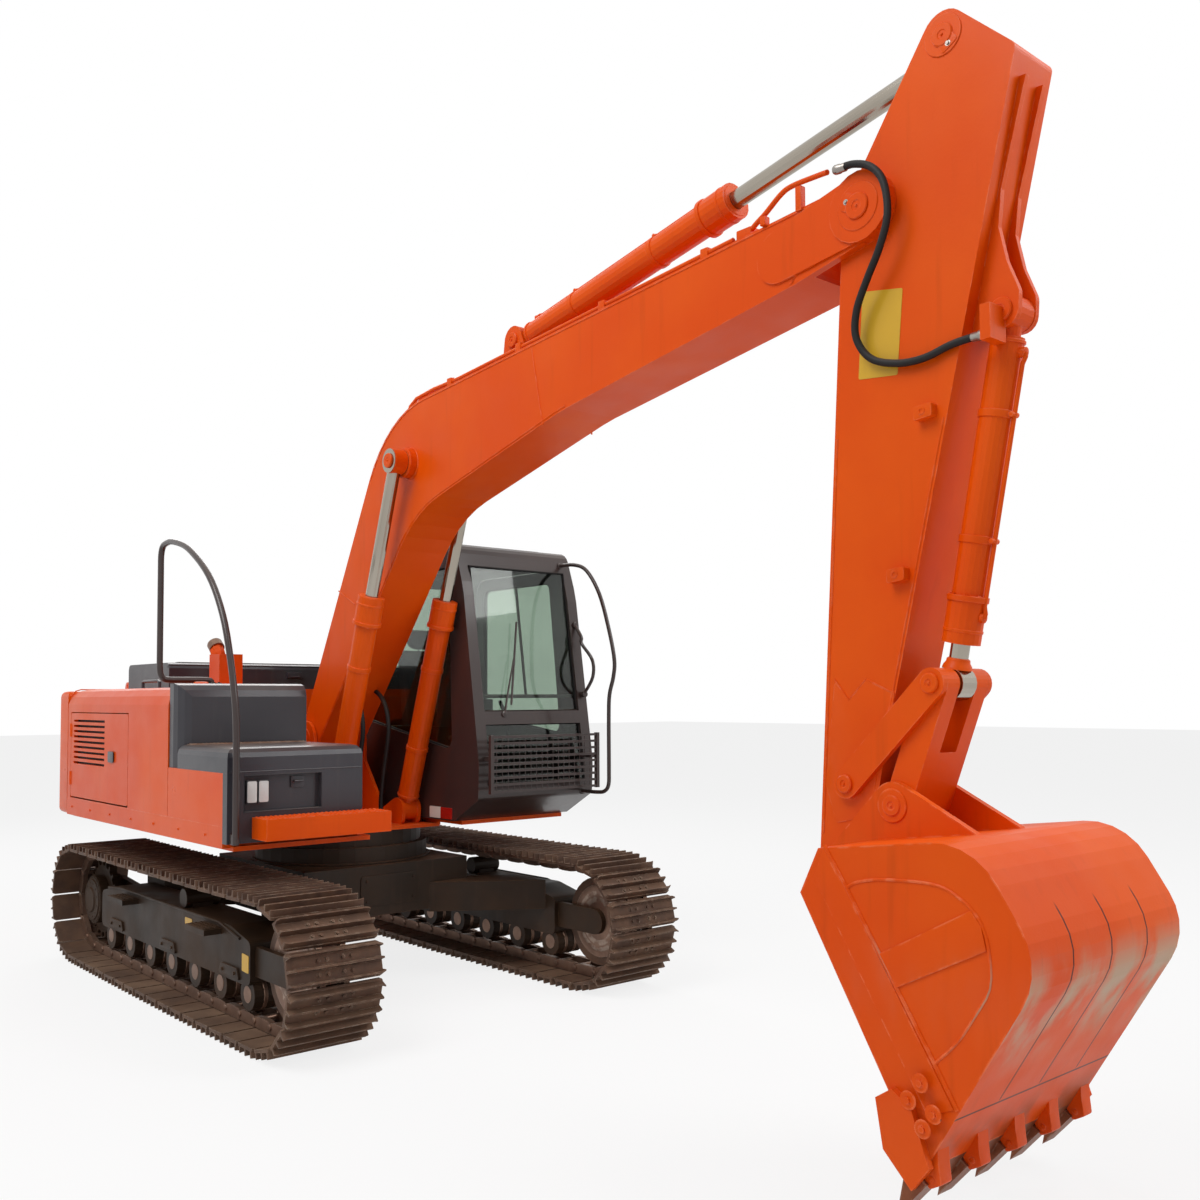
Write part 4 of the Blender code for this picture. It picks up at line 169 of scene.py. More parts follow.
def eased(points, steps=6):
    """A smooth line through points, as plain Vectors."""
    places = [Vector(point) for point in points]
    line = []
    for index, (here, on) in enumerate(zip(places, places[1:])):
        before = places[max(index - 1, 0)]
        after = places[min(index + 2, len(places) - 1)]
        for step in range(steps):
            t = step / steps
            line.append(0.5 * (2 * here + (on - before) * t + (2 * before - 5 * here + 4 * on - after) * t * t
                               + (3 * here - before - 3 * on + after) * t ** 3))
    return line + [places[-1]]


def axes(direction):
    """A direction made one long and two more square to it."""
    along = Vector(direction).normalized()
    side = along.orthogonal().normalized()
    return along, side, along.cross(side)


def ring(centre, side, up, radius, sides):
    return [centre + (side * math.cos(math.tau * s / sides) + up * math.sin(math.tau * s / sides)) * radius
            for s in range(sides)]


def upright_ring(spot, y, radius, sides):
    """A circle round a pin's axis at that y."""
    return ring(Vector((spot[0], y, spot[1])), Vector(AHEAD), Vector(UP), radius, sides)


def linked(name, data):
    item = bpy.data.objects.new(name, data)
    bpy.context.scene.collection.objects.link(item)
    return item


def hung(item, body):
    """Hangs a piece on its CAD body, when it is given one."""
    if body:
        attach(item, body)
    return item


def smoothed(form, sharp):
    """Smooth faces with sharp edges where they turn by more than that many degrees."""
    for face in form.faces:
        face.smooth = True
    for seam in form.edges:
        seam.smooth = seam.calc_face_angle(0) < math.radians(sharp)


class Form:
    """One piece while it is made, in the drawing's coordinates; shade picks one of the piece's finishes."""

    def __init__(self):
        self.bm = bmesh.new()

    def shaded(self, faces, shade, rims=(), edge=0.0):
        for face in faces:
            face.material_index = shade
        if edge > 0 and rims:
            made = bmesh.ops.bevel(self.bm, geom=list(rims), offset=edge, segments=2, profile=0.7, affect="EDGES",
                                   clamp_overlap=True)
            self.shaded(made["faces"], shade)
        return self

    def solid(self, rings, shade=0, edge=0.0, close=False):
        """Skins equal rings of points; edge bevels the two end rims."""
        grid = [[self.bm.verts.new(point) for point in points] for points in rings]
        count = len(grid[0])
        faces, rims = [], []
        for low, high in zip(grid, grid[1:] + grid[:1] if close else grid[1:]):
            for step in range(count):
                after = (step + 1) % count
                faces.append(self.bm.faces.new((low[step], low[after], high[after], high[step])))
        if not close:
            caps = [self.bm.faces.new(list(reversed(grid[0]))), self.bm.faces.new(grid[-1])]
            faces += caps
            rims = [rim for cap in caps for rim in cap.edges]
        return self.shaded(faces, shade, rims, edge)

    def prism(self, outline, low, high, plane="XZ", edge=0.003, shade=0):
        """A plate of that outline between two places on the third axis."""
        def place(a, b, c):
            return {"XZ": (a, c, b), "XY": (a, b, c), "YZ": (c, a, b)}[plane]
        return self.solid([[place(a, b, c) for a, b in outline] for c in sorted((low, high))], shade, edge)

    def box(self, start, end, edge=0.004):
        low, high = [[pick(a, b) for a, b in zip(start, end)] for pick in (min, max)]
        verts = bmesh.ops.create_cube(self.bm, size=1.0)["verts"]
        size = [b - a for a, b in zip(low, high)]
        bmesh.ops.scale(self.bm, vec=size, verts=verts)
        bmesh.ops.translate(self.bm, vec=[(a + b) / 2 for a, b in zip(low, high)], verts=verts)
        return self.shaded(list({f for v in verts for f in v.link_faces}), 0,
                           {e for v in verts for e in v.link_edges}, min(edge, min(size) * 0.45))

    def turned(self, start, direction, profile, sides=20, close=False):
        """A turned shape: profile is (distance, radius) pairs from start along a direction."""
        along, side, up = axes(direction)
        return self.solid([ring(Vector(start) + along * distance, side, up, max(radius, 0.0004), sides)
                           for distance, radius in profile], close=close)

    def drum(self, start, end, radius, sides=20, edge=0.003):
        line = Vector(end) - Vector(start)
        long = line.length
        edge = min(edge, radius * 0.4, long * 0.4)
        return self.turned(start, line, [(0, radius - edge), (edge * 0.3, radius - edge * 0.3), (edge, radius),
                                         (long - edge, radius), (long - edge * 0.3, radius - edge * 0.3),
                                         (long, radius - edge)], sides)

    def sleeve(self, start, end, outer, inner, sides=24, edge=0.002):
        """A ring or band with a hole through it."""
        line = Vector(end) - Vector(start)
        long = line.length
        return self.turned(start, line, [(0, inner), (0, outer - edge), (edge, outer), (long - edge, outer),
                                         (long, outer - edge), (long, inner)], sides, True)

    def collar(self, spot, low, high, *sizes):
        """A sleeve round a pin's axis at (x, z), from one y to another."""
        return self.sleeve((spot[0], low, spot[1]), (spot[0], high, spot[1]), *sizes)

    def tube(self, points, radius, sides=10, close=False):
        """A round bar or pipe along a line of points; radius may be one number for each point."""
        line = [Vector(point) for point in points]
        last = len(line) - 1
        radii = radius if isinstance(radius, list) else [radius] * len(line)
        rings = []
        for index, here in enumerate(line):
            before = line[index - 1] if index or close else here
            after = line[(index + 1) % len(line)] if index < last or close else here
            along = (after - before).normalized()
            if not index:
                side = along.orthogonal().normalized()
            side = (side - along * side.dot(along)).normalized()
            rings.append(ring(here, side, along.cross(side), radii[index], sides))
        return self.solid(rings, close=close)

    def mesh(self, name, finishes, sharp=34):
        bmesh.ops.recalc_face_normals(self.bm, faces=self.bm.faces)
        bmesh.ops.translate(self.bm, vec=SHIFT, verts=self.bm.verts)
        smoothed(self.bm, sharp)
        mesh = bpy.data.meshes.new(name)
        self.bm.to_mesh(mesh)
        self.bm.free()
        for finish in finishes:
            mesh.materials.append(FINISHES[finish])
        return mesh

    def piece(self, name, body, slot, *finishes, sharp=34):
        """Ends the piece and hangs it on its CAD body."""
        return hung(linked(name, self.mesh(name, finishes, sharp)), body)


def bolt(body, finish, place, facing, size=0.024):
    """Notes a bolt; they are all grown together at the end, one mesh for each body and finish."""
    BOLTS.setdefault((body, finish), []).append((Vector(place), Vector(facing).normalized(), size))


def bolt_ring(body, finish, centre, facing, radius, count, size):
    along, side, up = axes(facing)
    for place in ring(Vector(centre), side, up, radius, count):
        bolt(body, finish, place, along, size)


# Node trees. In a node's inputs a value is a number, a colour or a (node, output) pair to link.

def node(tree, kind, inputs=None, **settings):
    made = tree.nodes.new(kind)
    for label, value in settings.items():
        setattr(made, label, value)
    for label, value in (inputs or {}).items():
        socket = made.inputs[label]
        if isinstance(value, tuple) and isinstance(value[0], bpy.types.Node):
            tree.links.new(value[0].outputs[value[1]], socket)
        else:
            socket.default_value = (*value, 1.0) if socket.type == "RGBA" and len(value) == 3 else value
    return made


def new_tree(name, kind, inputs, output):
    """A node group with inputs as (label, kind of socket, value) and one output."""
    tree = bpy.data.node_groups.new(name, kind)
    for label, socket, value in inputs:
        made = tree.interface.new_socket(label, in_out="INPUT", socket_type="NodeSocket" + socket)
        if value is not None:
            made.default_value = value
    tree.interface.new_socket(output[0], in_out="OUTPUT", socket_type="NodeSocket" + output[1])
    return tree, tree.nodes.new("NodeGroupInput")


def growing_tree(name, *inputs):
    return new_tree(name, "GeometryNodeTree", [("Geometry", "Geometry", None), *inputs,
                                               ("Material", "Material", None)], ("Geometry", "Geometry"))


def closing_nodes(tree, geometry, start):
    """Every tree ends in real geometry with its material set."""
    real = node(tree, "GeometryNodeRealizeInstances", {"Geometry": geometry})
    shade = node(tree, "GeometryNodeSetMaterial", {"Geometry": (real, 0), "Material": (start, "Material")})
    node(tree, "NodeGroupOutput", {"Geometry": (shade, 0)})
    return tree


def on_points(tree, start, instance, scale):
    """Sets the instance on each point, its z turned to "facing" and its x to "along"."""
    facing, along = [(node(tree, "GeometryNodeInputNamedAttribute", {"Name": name}, data_type="FLOAT_VECTOR"),
                      "Attribute") for name in ("facing", "along")]
    up = node(tree, "FunctionNodeAlignRotationToVector", {"Vector": facing}, axis="Z")
    ahead = node(tree, "FunctionNodeAlignRotationToVector", {"Rotation": (up, "Rotation"), "Vector": along},
                 axis="X", pivot_axis="Z")
    place = node(tree, "GeometryNodeInstanceOnPoints", {"Points": (start, "Geometry"), "Instance": instance,
                                                        "Rotation": (ahead, "Rotation"), "Scale": scale})
    return closing_nodes(tree, (place, "Instances"), start)


def layout_tree():
    """A template object on every point."""
    tree, start = growing_tree("lay_out", ("Template", "Object", None), ("Scale", "Float", 1.0))
    template = node(tree, "GeometryNodeObjectInfo", {"Object": (start, "Template")})
    return on_points(tree, start, (template, "Geometry"), (start, "Scale"))


def bolt_tree():
    """A washer with a six-sided head, sized by the points' own "size"."""
    tree, start = growing_tree("bolt_heads", ("Head Radius", "Float", 0.5), ("Head Height", "Float", 0.55),
                               ("Washer Radius", "Float", 0.85), ("Washer Height", "Float", 0.12))
    both = tree.nodes.new("GeometryNodeJoinGeometry")
    for sides, part in ((6, "Head"), (12, "Washer")):
        height = (start, part + " Height")
        drum = node(tree, "GeometryNodeMeshCylinder", {"Vertices": sides, "Radius": (start, part + " Radius"),
                                                       "Depth": height})
        rise = node(tree, "ShaderNodeCombineXYZ", {"Z": maths(tree, "MULTIPLY", height, 0.5)})
        lift = node(tree, "GeometryNodeTransform", {"Geometry": (drum, "Mesh"), "Translation": (rise, 0)})
        tree.links.new(lift.outputs[0], both.inputs[0])
    size = node(tree, "GeometryNodeInputNamedAttribute", {"Name": "size"})
    return on_points(tree, start, (both, 0), (size, "Attribute"))


def pipe_tree():
    """A round pipe of that radius along the edges of the line that it is given."""
    tree, start = growing_tree("pipe_run", ("Radius", "Float", 0.01), ("Sides", "Int", 10))
    line = node(tree, "GeometryNodeMeshToCurve", {"Mesh": (start, "Geometry")})
    section = node(tree, "GeometryNodeCurvePrimitiveCircle", {"Radius": (start, "Radius"),
                                                              "Resolution": (start, "Sides")})
    sweep = node(tree, "GeometryNodeCurveToMesh", {"Curve": (line, 0), "Profile Curve": (section, 0),
                                                   "Fill Caps": True})
    smooth = node(tree, "GeometryNodeSetShadeSmooth", {"Geometry": (sweep, 0)})
    return closing_nodes(tree, (smooth, 0), start)


def grown(source, tree_name, name, body, slot, finish, sharp=34, **values):
    """Runs a tree on a carrier mesh and keeps the result as one plain piece."""
    carrier = linked(name + "_carrier", source)
    makers = {"lay_out": layout_tree, "bolt_heads": bolt_tree, "pipe_run": pipe_tree}
    tree = bpy.data.node_groups.get(tree_name) or makers[tree_name]()
    grow = carrier.modifiers.new("grow", "NODES")
    grow.node_group = tree
    values["Material"] = FINISHES[finish]
    for socket in tree.interface.items_tree:
        if socket.in_out == "INPUT" and socket.name in values:
            grow[socket.identifier] = values[socket.name]
    bpy.context.view_layer.update()
    graph = bpy.context.evaluated_depsgraph_get()
    mesh = bpy.data.meshes.new_from_object(carrier.evaluated_get(graph), depsgraph=graph)
    bpy.data.objects.remove(carrier)
    form = bmesh.new()
    form.from_mesh(mesh)
    bpy.data.meshes.remove(mesh)
    mesh = bpy.data.meshes.new(name)
    smoothed(form, sharp)
    for face in form.faces:
        face.material_index = 0
    layers = form.verts.layers.float_vector
    for layer in ("facing", "along"):
        if layer in layers:
            layers.remove(layers[layer])
    form.to_mesh(mesh)
    form.free()
    mesh.materials.append(FINISHES[finish])
    return hung(linked(name, mesh), body)


def line_mesh(name, places, edges=()):
    mesh = bpy.data.meshes.new(name)
    mesh.from_pydata([tuple(in_frame(place)) for place in places], list(edges), [])
    return mesh


def point_cloud(name, rows):
    """Loose points that carry where they face, which way they run and their size."""
    mesh = line_mesh(name, [row[0] for row in rows])
    for label, column in (("facing", 1), ("along", 2)):
        layer = mesh.attributes.new(label, "FLOAT_VECTOR", "POINT")
        layer.data.foreach_set("vector", [value for row in rows for value in row[column]])
    mesh.attributes.new("size", "FLOAT", "POINT").data.foreach_set("value", [float(row[3]) for row in rows])
    return mesh


def laid_out(form, rows, name, body, slot, finish, sharp=34):
    """Repeats a shape made round the origin at rows of (place, facing, along)."""
    template = linked(name + "_template", form.mesh(name + "_template", [finish]))
    template.data.transform(Matrix.Translation(-SHIFT))
    item = grown(point_cloud(name, [(*row, 1.0) for row in rows]), "lay_out", name, body, slot, finish, sharp,
                 Template=template)
    bpy.data.objects.remove(template)
    return item


def pipes(lines, radius, name, body, slot, finish, sides=10):
    """Pipes along lines of points, all of one radius, as one piece."""
    places, edges = [], []
    for line in lines:
        edges += [(len(places) + step, len(places) + step + 1) for step in range(len(line) - 1)]
        places += line
    return grown(line_mesh(name, places, edges), "pipe_run", name, body, slot, finish, 50, Radius=radius, Sides=sides)


# Shader groups for what several finishes share; they put out masks, colours and heights only.

def shader_group(name, output, **inputs):
    rows = [(label, "Color" if isinstance(value, tuple) else "Float", value) for label, value in inputs.items()]
    return new_tree(name, "ShaderNodeTree", rows, (output, "Color" if output == "Colour" else "Float"))


def group_output(group, label, value):
    node(group, "NodeGroupOutput", {label: value})
    return group


def maths(tree, operation, *values, clamp=False):
    return node(tree, "ShaderNodeMath", dict(enumerate(values)), operation=operation, use_clamp=clamp), 0


def product(tree, first, *others):
    for other in others:
        first = maths(tree, "MULTIPLY", first, other, clamp=other is others[-1])
    return first


def noise(tree, scale, detail=3.0, stretch=(1, 1, 1)):
    """Noise on the object's own coordinates."""
    place = tree.nodes.new("ShaderNodeTexCoord")
    fit = node(tree, "ShaderNodeMapping", {"Vector": (place, "Object"), "Scale": stretch})
    return node(tree, "ShaderNodeTexNoise", {"Vector": (fit, 0), "Scale": scale, "Detail": detail}), 0


def ramped(tree, value, low, high):
    return node(tree, "ShaderNodeMapRange", {"Value": value, "From Min": low, "From Max": high},
                interpolation_type="SMOOTHSTEP"), 0


def mixed(tree, factor, first, second):
    return node(tree, "ShaderNodeMix", {0: factor, 6: first, 7: second}, data_type="RGBA"), 2


def split(tree, vector):
    return node(tree, "ShaderNodeSeparateXYZ", {0: vector})


def surface_facing(tree):
    """The normal's three shares."""
    return split(tree, (tree.nodes.new("ShaderNodeNewGeometry"), "Normal"))


def surface_spot(tree):
    """The object coordinates' three shares."""
    return split(tree, (tree.nodes.new("ShaderNodeTexCoord"), "Object"))


def wear_and_edge_highlight_group():
    """A mask that is white along outer edges: where the paint is worn on most finishes, and where a painted highlight
    goes on the orange ones.
    """
    group, start = shader_group("wear_and_edge_highlight", "Mask", Reach=0.008, Amount=0.5)
    soft = node(group, "ShaderNodeBevel", {"Radius": (start, "Reach")}, samples=4)
    true = group.nodes.new("ShaderNodeNewGeometry")
    dot = node(group, "ShaderNodeVectorMath", {0: (soft, 0), 1: (true, "Normal")}, operation="DOT_PRODUCT")
    bend = ramped(group, maths(group, "SUBTRACT", 1.0, (dot, "Value")), 0.015, 0.16)
    rough = ramped(group, noise(group, 21.0, 6.0), 0.44, 0.62)
    return group_output(group, "Mask", product(group, bend, rough, (start, "Amount")))


def dust_group():
    """A mask for dust on what faces up and for mud below a height."""
    group, start = shader_group("settled_dust", "Mask", Upward=0.4, Low=0.3, Height=0.9)
    facing, spot = surface_facing(group), surface_spot(group)
    up = maths(group, "POWER", maths(group, "MAXIMUM", (facing, "Z"), 0.0), 3.0)
    up = maths(group, "MULTIPLY", up, (start, "Upward"))
    share = maths(group, "DIVIDE", (spot, "Z"), (start, "Height"))
    low = maths(group, "MULTIPLY", maths(group, "SUBTRACT", 1.0, share, clamp=True), (start, "Low"))
    cloud = maths(group, "ADD", ramped(group, noise(group, 3.1, 5.0), 0.3, 0.72), 0.25)
    return group_output(group, "Mask", product(group, maths(group, "ADD", up, low), cloud))


def mottle_group():
    """A paint's own colour, drifting to a faded one."""
    group, start = shader_group("mottle", "Colour", Colour=(1, 1, 1, 1), Faded=(1, 1, 1, 1), Scale=1.5, Amount=0.5)
    broad = ramped(group, noise(group, (start, "Scale"), 4.0), 0.35, 0.68)
    blend = product(group, broad, (start, "Amount"))
    return group_output(group, "Colour", mixed(group, blend, (start, "Colour"), (start, "Faded")))


def rain_marks_group():
    """Thin marks that run down upright faces."""
    group, start = shader_group("rain_marks", "Mask", Amount=0.3)
    upright = maths(group, "SUBTRACT", 1.0, maths(group, "ABSOLUTE", (surface_facing(group), "Z")), clamp=True)
    lines = ramped(group, noise(group, 1.0, 4.0, (17, 17, 1.1)), 0.55, 0.78)
    return group_output(group, "Mask", product(group, upright, lines, (start, "Amount")))


def fine_grain_group():
    """The height of a sprayed, cast or rolled surface."""
    group, start = shader_group("fine_grain", "Height", Scale=120.0, Waviness=0.4)
    broad = maths(group, "MULTIPLY", noise(group, 2.6, 2.0), (start, "Waviness"))
    return group_output(group, "Height", maths(group, "ADD", noise(group, (start, "Scale"), 2.0), broad))


GROUPS = {"wear_and_edge_highlight": wear_and_edge_highlight_group, "settled_dust": dust_group, "mottle": mottle_group,
          "rain_marks": rain_marks_group, "fine_grain": fine_grain_group}


def placed_group(tree, name, **values):
    group = bpy.data.node_groups.get(name) or GROUPS[name]()
    return node(tree, "ShaderNodeGroup", values, node_tree=group), 0


def new_material(name):
    """A material that is kept as a finish, with its tree and its Principled shader."""
    material = FINISHES[name] = bpy.data.materials.new(name)
    material.use_nodes = True
    return material.node_tree, material.node_tree.nodes["Principled BSDF"]


def fed(tree, shader, **inputs):
    """Sets a shader's inputs, named with _ for each blank."""
    for label, value in inputs.items():
        socket = shader.inputs[label.replace("_", " ")]
        if isinstance(value, tuple):
            tree.links.new(value[0].outputs[value[1]], socket)
        else:
            socket.default_value = value


def surface(name, base, faded, roughness=0.45, metallic=0.0, coat=0.0, drift=1.4, drift_amount=0.6,
            wear_and_highlight=0.5, wear_and_highlight_reach=0.008, bare=(104, 76, 60), dust=0.25, low=0.0, height=0.9,
            dust_colour=(168, 140, 116), rain=0.2, rain_colour=None, grain=120.0, grain_depth=0.0006,
            waviness=0.4, sheen=0.24, extra=None):
    """A finish: its own drifting colour, rain marks, dust and mud, edges worn on most finishes and painted with a
    highlight on the orange ones, and fine grain.
    """
    tree, shader = new_material(name)
    tint = placed_group(tree, "mottle", Colour=colour(*base), Faded=colour(*faded), Scale=drift,
                        Amount=drift_amount)
    dark = rain_colour or [value * 0.55 for value in base]
    tint = mixed(tree, placed_group(tree, "rain_marks", Amount=rain), tint, colour(*dark))
    if extra:
        tint = extra(tree, tint)
    dirt = placed_group(tree, "settled_dust", Upward=dust, Low=low, Height=height)
    tint = mixed(tree, dirt, tint, colour(*dust_colour))
    # Along the edges a second colour goes in: bare, worn material on most finishes, and on the orange finishes a pale
    # orange that is a painted highlight.
    edges = placed_group(tree, "wear_and_edge_highlight", Reach=wear_and_highlight_reach, Amount=wear_and_highlight)
    tint = mixed(tree, edges, tint, colour(*bare))
    gloss = ramped(tree, noise(tree, 5.3, 4.0), 0.2, 0.8)
    rough = maths(tree, "ADD", maths(tree, "MULTIPLY", gloss, 0.14), roughness - 0.07)
    rough = maths(tree, "ADD", rough, maths(tree, "MULTIPLY", dirt, 0.35), clamp=True)
    relief = placed_group(tree, "fine_grain", Scale=grain, Waviness=waviness)
    bump = node(tree, "ShaderNodeBump", {"Strength": 0.6, "Distance": grain_depth, "Height": relief})
    fed(tree, shader, Base_Color=tint, Roughness=rough, Normal=(bump, "Normal"), Metallic=metallic,
        Coat_Weight=coat, Coat_Roughness=0.12, Specular_IOR_Level=sheen)


SEAM_SPACING = 0.25
LIP_LINE = 0.43


def wrapper_seams(tree, tint):
    """The bucket's outside: its heel worn pale, a browner band towards the lip, and painted shade in the gaps between
    its wearing strips and along the lip line.
    """
    spot = surface_spot(tree)
    height = (spot, "Z")
    rough = ramped(tree, noise(tree, 5.0, 6.0, (1, 1, 0.4)), 0.38, 0.60)
    outside = ramped(tree, (surface_facing(tree), "X"), -0.05, 0.35)
    scraped = product(tree, ramped(tree, height, 1.00, 0.82), ramped(tree, height, 0.52, 0.74), rough, outside)
    tint = mixed(tree, scraped, tint, colour(190, 158, 130))
    tint = mixed(tree, product(tree, ramped(tree, height, 0.44, 0.24), rough, 0.8), tint, colour(122, 72, 46))
    # The dark orange in the gaps between the strips and along the lip line is painted shade, standing for the shadow in
    # those joints.
    across = maths(tree, "ABSOLUTE", (spot, "Y"))
    off = maths(tree, "MINIMUM", across, maths(tree, "ABSOLUTE", maths(tree, "SUBTRACT", across, SEAM_SPACING)))
    painted_gap_shade = product(tree, ramped(tree, off, 0.0050, 0.0030), ramped(tree, height, 1.10, 1.07),
                  ramped(tree, height, LIP_LINE, LIP_LINE + 0.02))
    line = ramped(tree, maths(tree, "ABSOLUTE", maths(tree, "SUBTRACT", height, LIP_LINE)), 0.0045, 0.0025)
    painted_gap_shade = maths(tree, "MAXIMUM", painted_gap_shade, line, clamp=True)
    return mixed(tree, maths(tree, "MULTIPLY", painted_gap_shade, outside), tint, colour(70, 26, 12))


def clear_glass(name, tint, roughness=0.02):
    """Tinted cab glass with faint smears; its gloss comes from its own Principled shader."""
    tree, shader = new_material(name)
    body = placed_group(tree, "mottle", Colour=colour(*tint), Faded=colour(*[v * 0.94 for v in tint]), Scale=2.2,
                        Amount=0.7)
    smear = ramped(tree, noise(tree, 3.0, 5.0, (1, 1, 2.5)), 0.52, 0.8)
    rough = maths(tree, "ADD", maths(tree, "MULTIPLY", smear, 0.05), roughness)
    fed(tree, shader, Base_Color=body, Roughness=rough, Transmission_Weight=1.0, IOR=1.45)


def louvred_gauze(tree, tint):
    """A fine wire gauze."""
    return mixed(tree, ramped(tree, noise(tree, 160.0, 0.0), 0.42, 0.55), tint, colour(12, 9, 8))


def mix_finishes(paint):
    """Every finish on the machine."""
    orange = on_screen(paint.orange)
    faded = tuple(min(255, v + d) for v, d in zip(orange, (10, 16, 8)))
    wear_and_highlight, dust = paint.wear_and_highlight, paint.dust
    # The pale orange edge colours of these three orange finishes are a painted highlight along their edges, not bare
    # metal.
    surface("orange_paint", orange, faded, 0.42, coat=0.06, wear_and_highlight=wear_and_highlight, dust=0.12 * dust, low=0.05 * dust, sheen=0.14,
            rain=0.14, dust_colour=(222, 142, 92), bare=(238, 142, 104), grain=90.0, waviness=0.6)
    surface("bucket_paint", orange, faded, 0.46, coat=0.04, wear_and_highlight=min(1.0, wear_and_highlight * 1.7), wear_and_highlight_reach=0.012,
            dust=0.16 * dust, low=0.06 * dust, height=0.8, rain=0.20, extra=wrapper_seams, sheen=0.14,
            dust_colour=(226, 140, 70), bare=(244, 140, 96))
    surface("house_paint", orange, faded, 0.34, coat=0.10, wear_and_highlight=wear_and_highlight * 0.8, dust=0.10 * dust, rain=0.10,
            sheen=0.16, dust_colour=(236, 144, 90), bare=(244, 156, 112), grain=60.0, waviness=0.9)
    surface("frame_black", (32, 22, 14), (46, 32, 20), 0.5, wear_and_highlight=0.6, bare=(88, 62, 42), dust=0.55 * dust,
            low=0.42 * dust, height=1.0, dust_colour=(92, 64, 42), rain=0.3, rain_colour=(66, 46, 34))
    surface("track_steel", (84, 64, 54), (104, 78, 62), 0.56, metallic=0.35, drift=9.0, drift_amount=0.9,
            wear_and_highlight=0.95, wear_and_highlight_reach=0.006, bare=(158, 138, 120), dust=0.70 * dust, low=0.25 * dust, height=0.8,
            dust_colour=(132, 106, 86), rain=0.35, rain_colour=(52, 34, 26), grain=70.0, grain_depth=0.0018)
    surface("cab_black", (54, 42, 40), (64, 52, 49), 0.34, coat=0.45, wear_and_highlight=0.3, bare=(96, 84, 78), dust=0.22 * dust,
            rain=0.16, rain_colour=(84, 70, 62))
    surface("cover_black", (50, 49, 55), (66, 65, 70), 0.36, coat=0.3, wear_and_highlight=0.2, bare=(92, 90, 92),
            dust=0.3 * dust, rain=0.14, rain_colour=(92, 86, 82), grain=210.0, grain_depth=0.0012)
    surface("chrome", (158, 150, 138), (176, 168, 156), 0.13, metallic=1.0, wear_and_highlight=0.0, dust=0.06 * dust, rain=0.1,
            rain_colour=(150, 140, 128), grain=40.0, grain_depth=0.00012, waviness=0.2)
    surface("bare_steel", (122, 96, 82), (146, 116, 98), 0.42, metallic=0.7, drift=12.0, wear_and_highlight=0.8,
            bare=(168, 150, 136), dust=0.2 * dust, rain=0.3, rain_colour=(96, 56, 36), grain=60.0,
            grain_depth=0.0015)
    surface("tooth_steel", (132, 78, 52), (112, 62, 40), 0.5, metallic=0.45, drift=14.0, wear_and_highlight=0.9,
            wear_and_highlight_reach=0.012, bare=(166, 140, 122), dust=0.2 * dust, rain=0.4, rain_colour=(82, 44, 28),
            grain=50.0, grain_depth=0.002)
    surface("zinc", (150, 144, 138), (172, 166, 158), 0.34, metallic=0.9, drift=20.0, wear_and_highlight=0.4, bare=(190, 186, 180),
            dust=0.2 * dust, rain=0.3, rain_colour=(110, 84, 66), grain=150.0)
    surface("rubber", (26, 24, 24), (40, 37, 36), 0.55, wear_and_highlight=0.1, bare=(70, 64, 60), dust=0.3 * dust, rain=0.25,
            rain_colour=(70, 60, 52), grain=260.0, grain_depth=0.0012)
    surface("gasket", (20, 18, 18), (30, 27, 27), 0.6, wear_and_highlight=0.0, dust=0.2 * dust, rain=0.2,
            rain_colour=(60, 52, 46), grain=200.0)
    surface("engine_iron", (62, 60, 60), (76, 70, 66), 0.6, metallic=0.4, wear_and_highlight=0.5, dust=0.5 * dust)
    surface("plate_yellow", (212, 166, 40), (198, 150, 38), 0.4, coat=0.3, wear_and_highlight=0.3, bare=(120, 100, 76),
            dust=0.15 * dust, rain=0.25, rain_colour=(150, 108, 44))
    surface("seat_cloth", (48, 47, 52), (60, 58, 62), 0.88, wear_and_highlight=0.0, rain=0.0, drift=6.0, grain=420.0,
            grain_depth=0.0022)
    surface("seat_vinyl", (30, 29, 31), (40, 38, 40), 0.5, wear_and_highlight=0.0, dust=0.15, rain=0.0, grain=300.0,
            grain_depth=0.0012)
    surface("gauze", (60, 46, 42), (46, 34, 32), 0.6, metallic=0.3, wear_and_highlight=0.0, extra=louvred_gauze)
    for name, base, pale, roughness, coat, options in (
            ("lamp_lens", (214, 216, 214), (196, 200, 198), 0.12, 0.8, dict(dust=0.1, grain=45.0, grain_depth=0.004)),
            ("reflector_red", (176, 26, 22), (150, 20, 18), 0.2, 0.7, dict(grain=190.0, grain_depth=0.003)),
            ("reflector_white", (222, 216, 206), (206, 198, 188), 0.25, 0.6, dict(grain=190.0, grain_depth=0.003))):
        surface(name, base, pale, roughness, coat=coat, wear_and_highlight=0.0, rain=0.1, **options)
    clear_glass("cab_glass", on_screen(paint.glass))


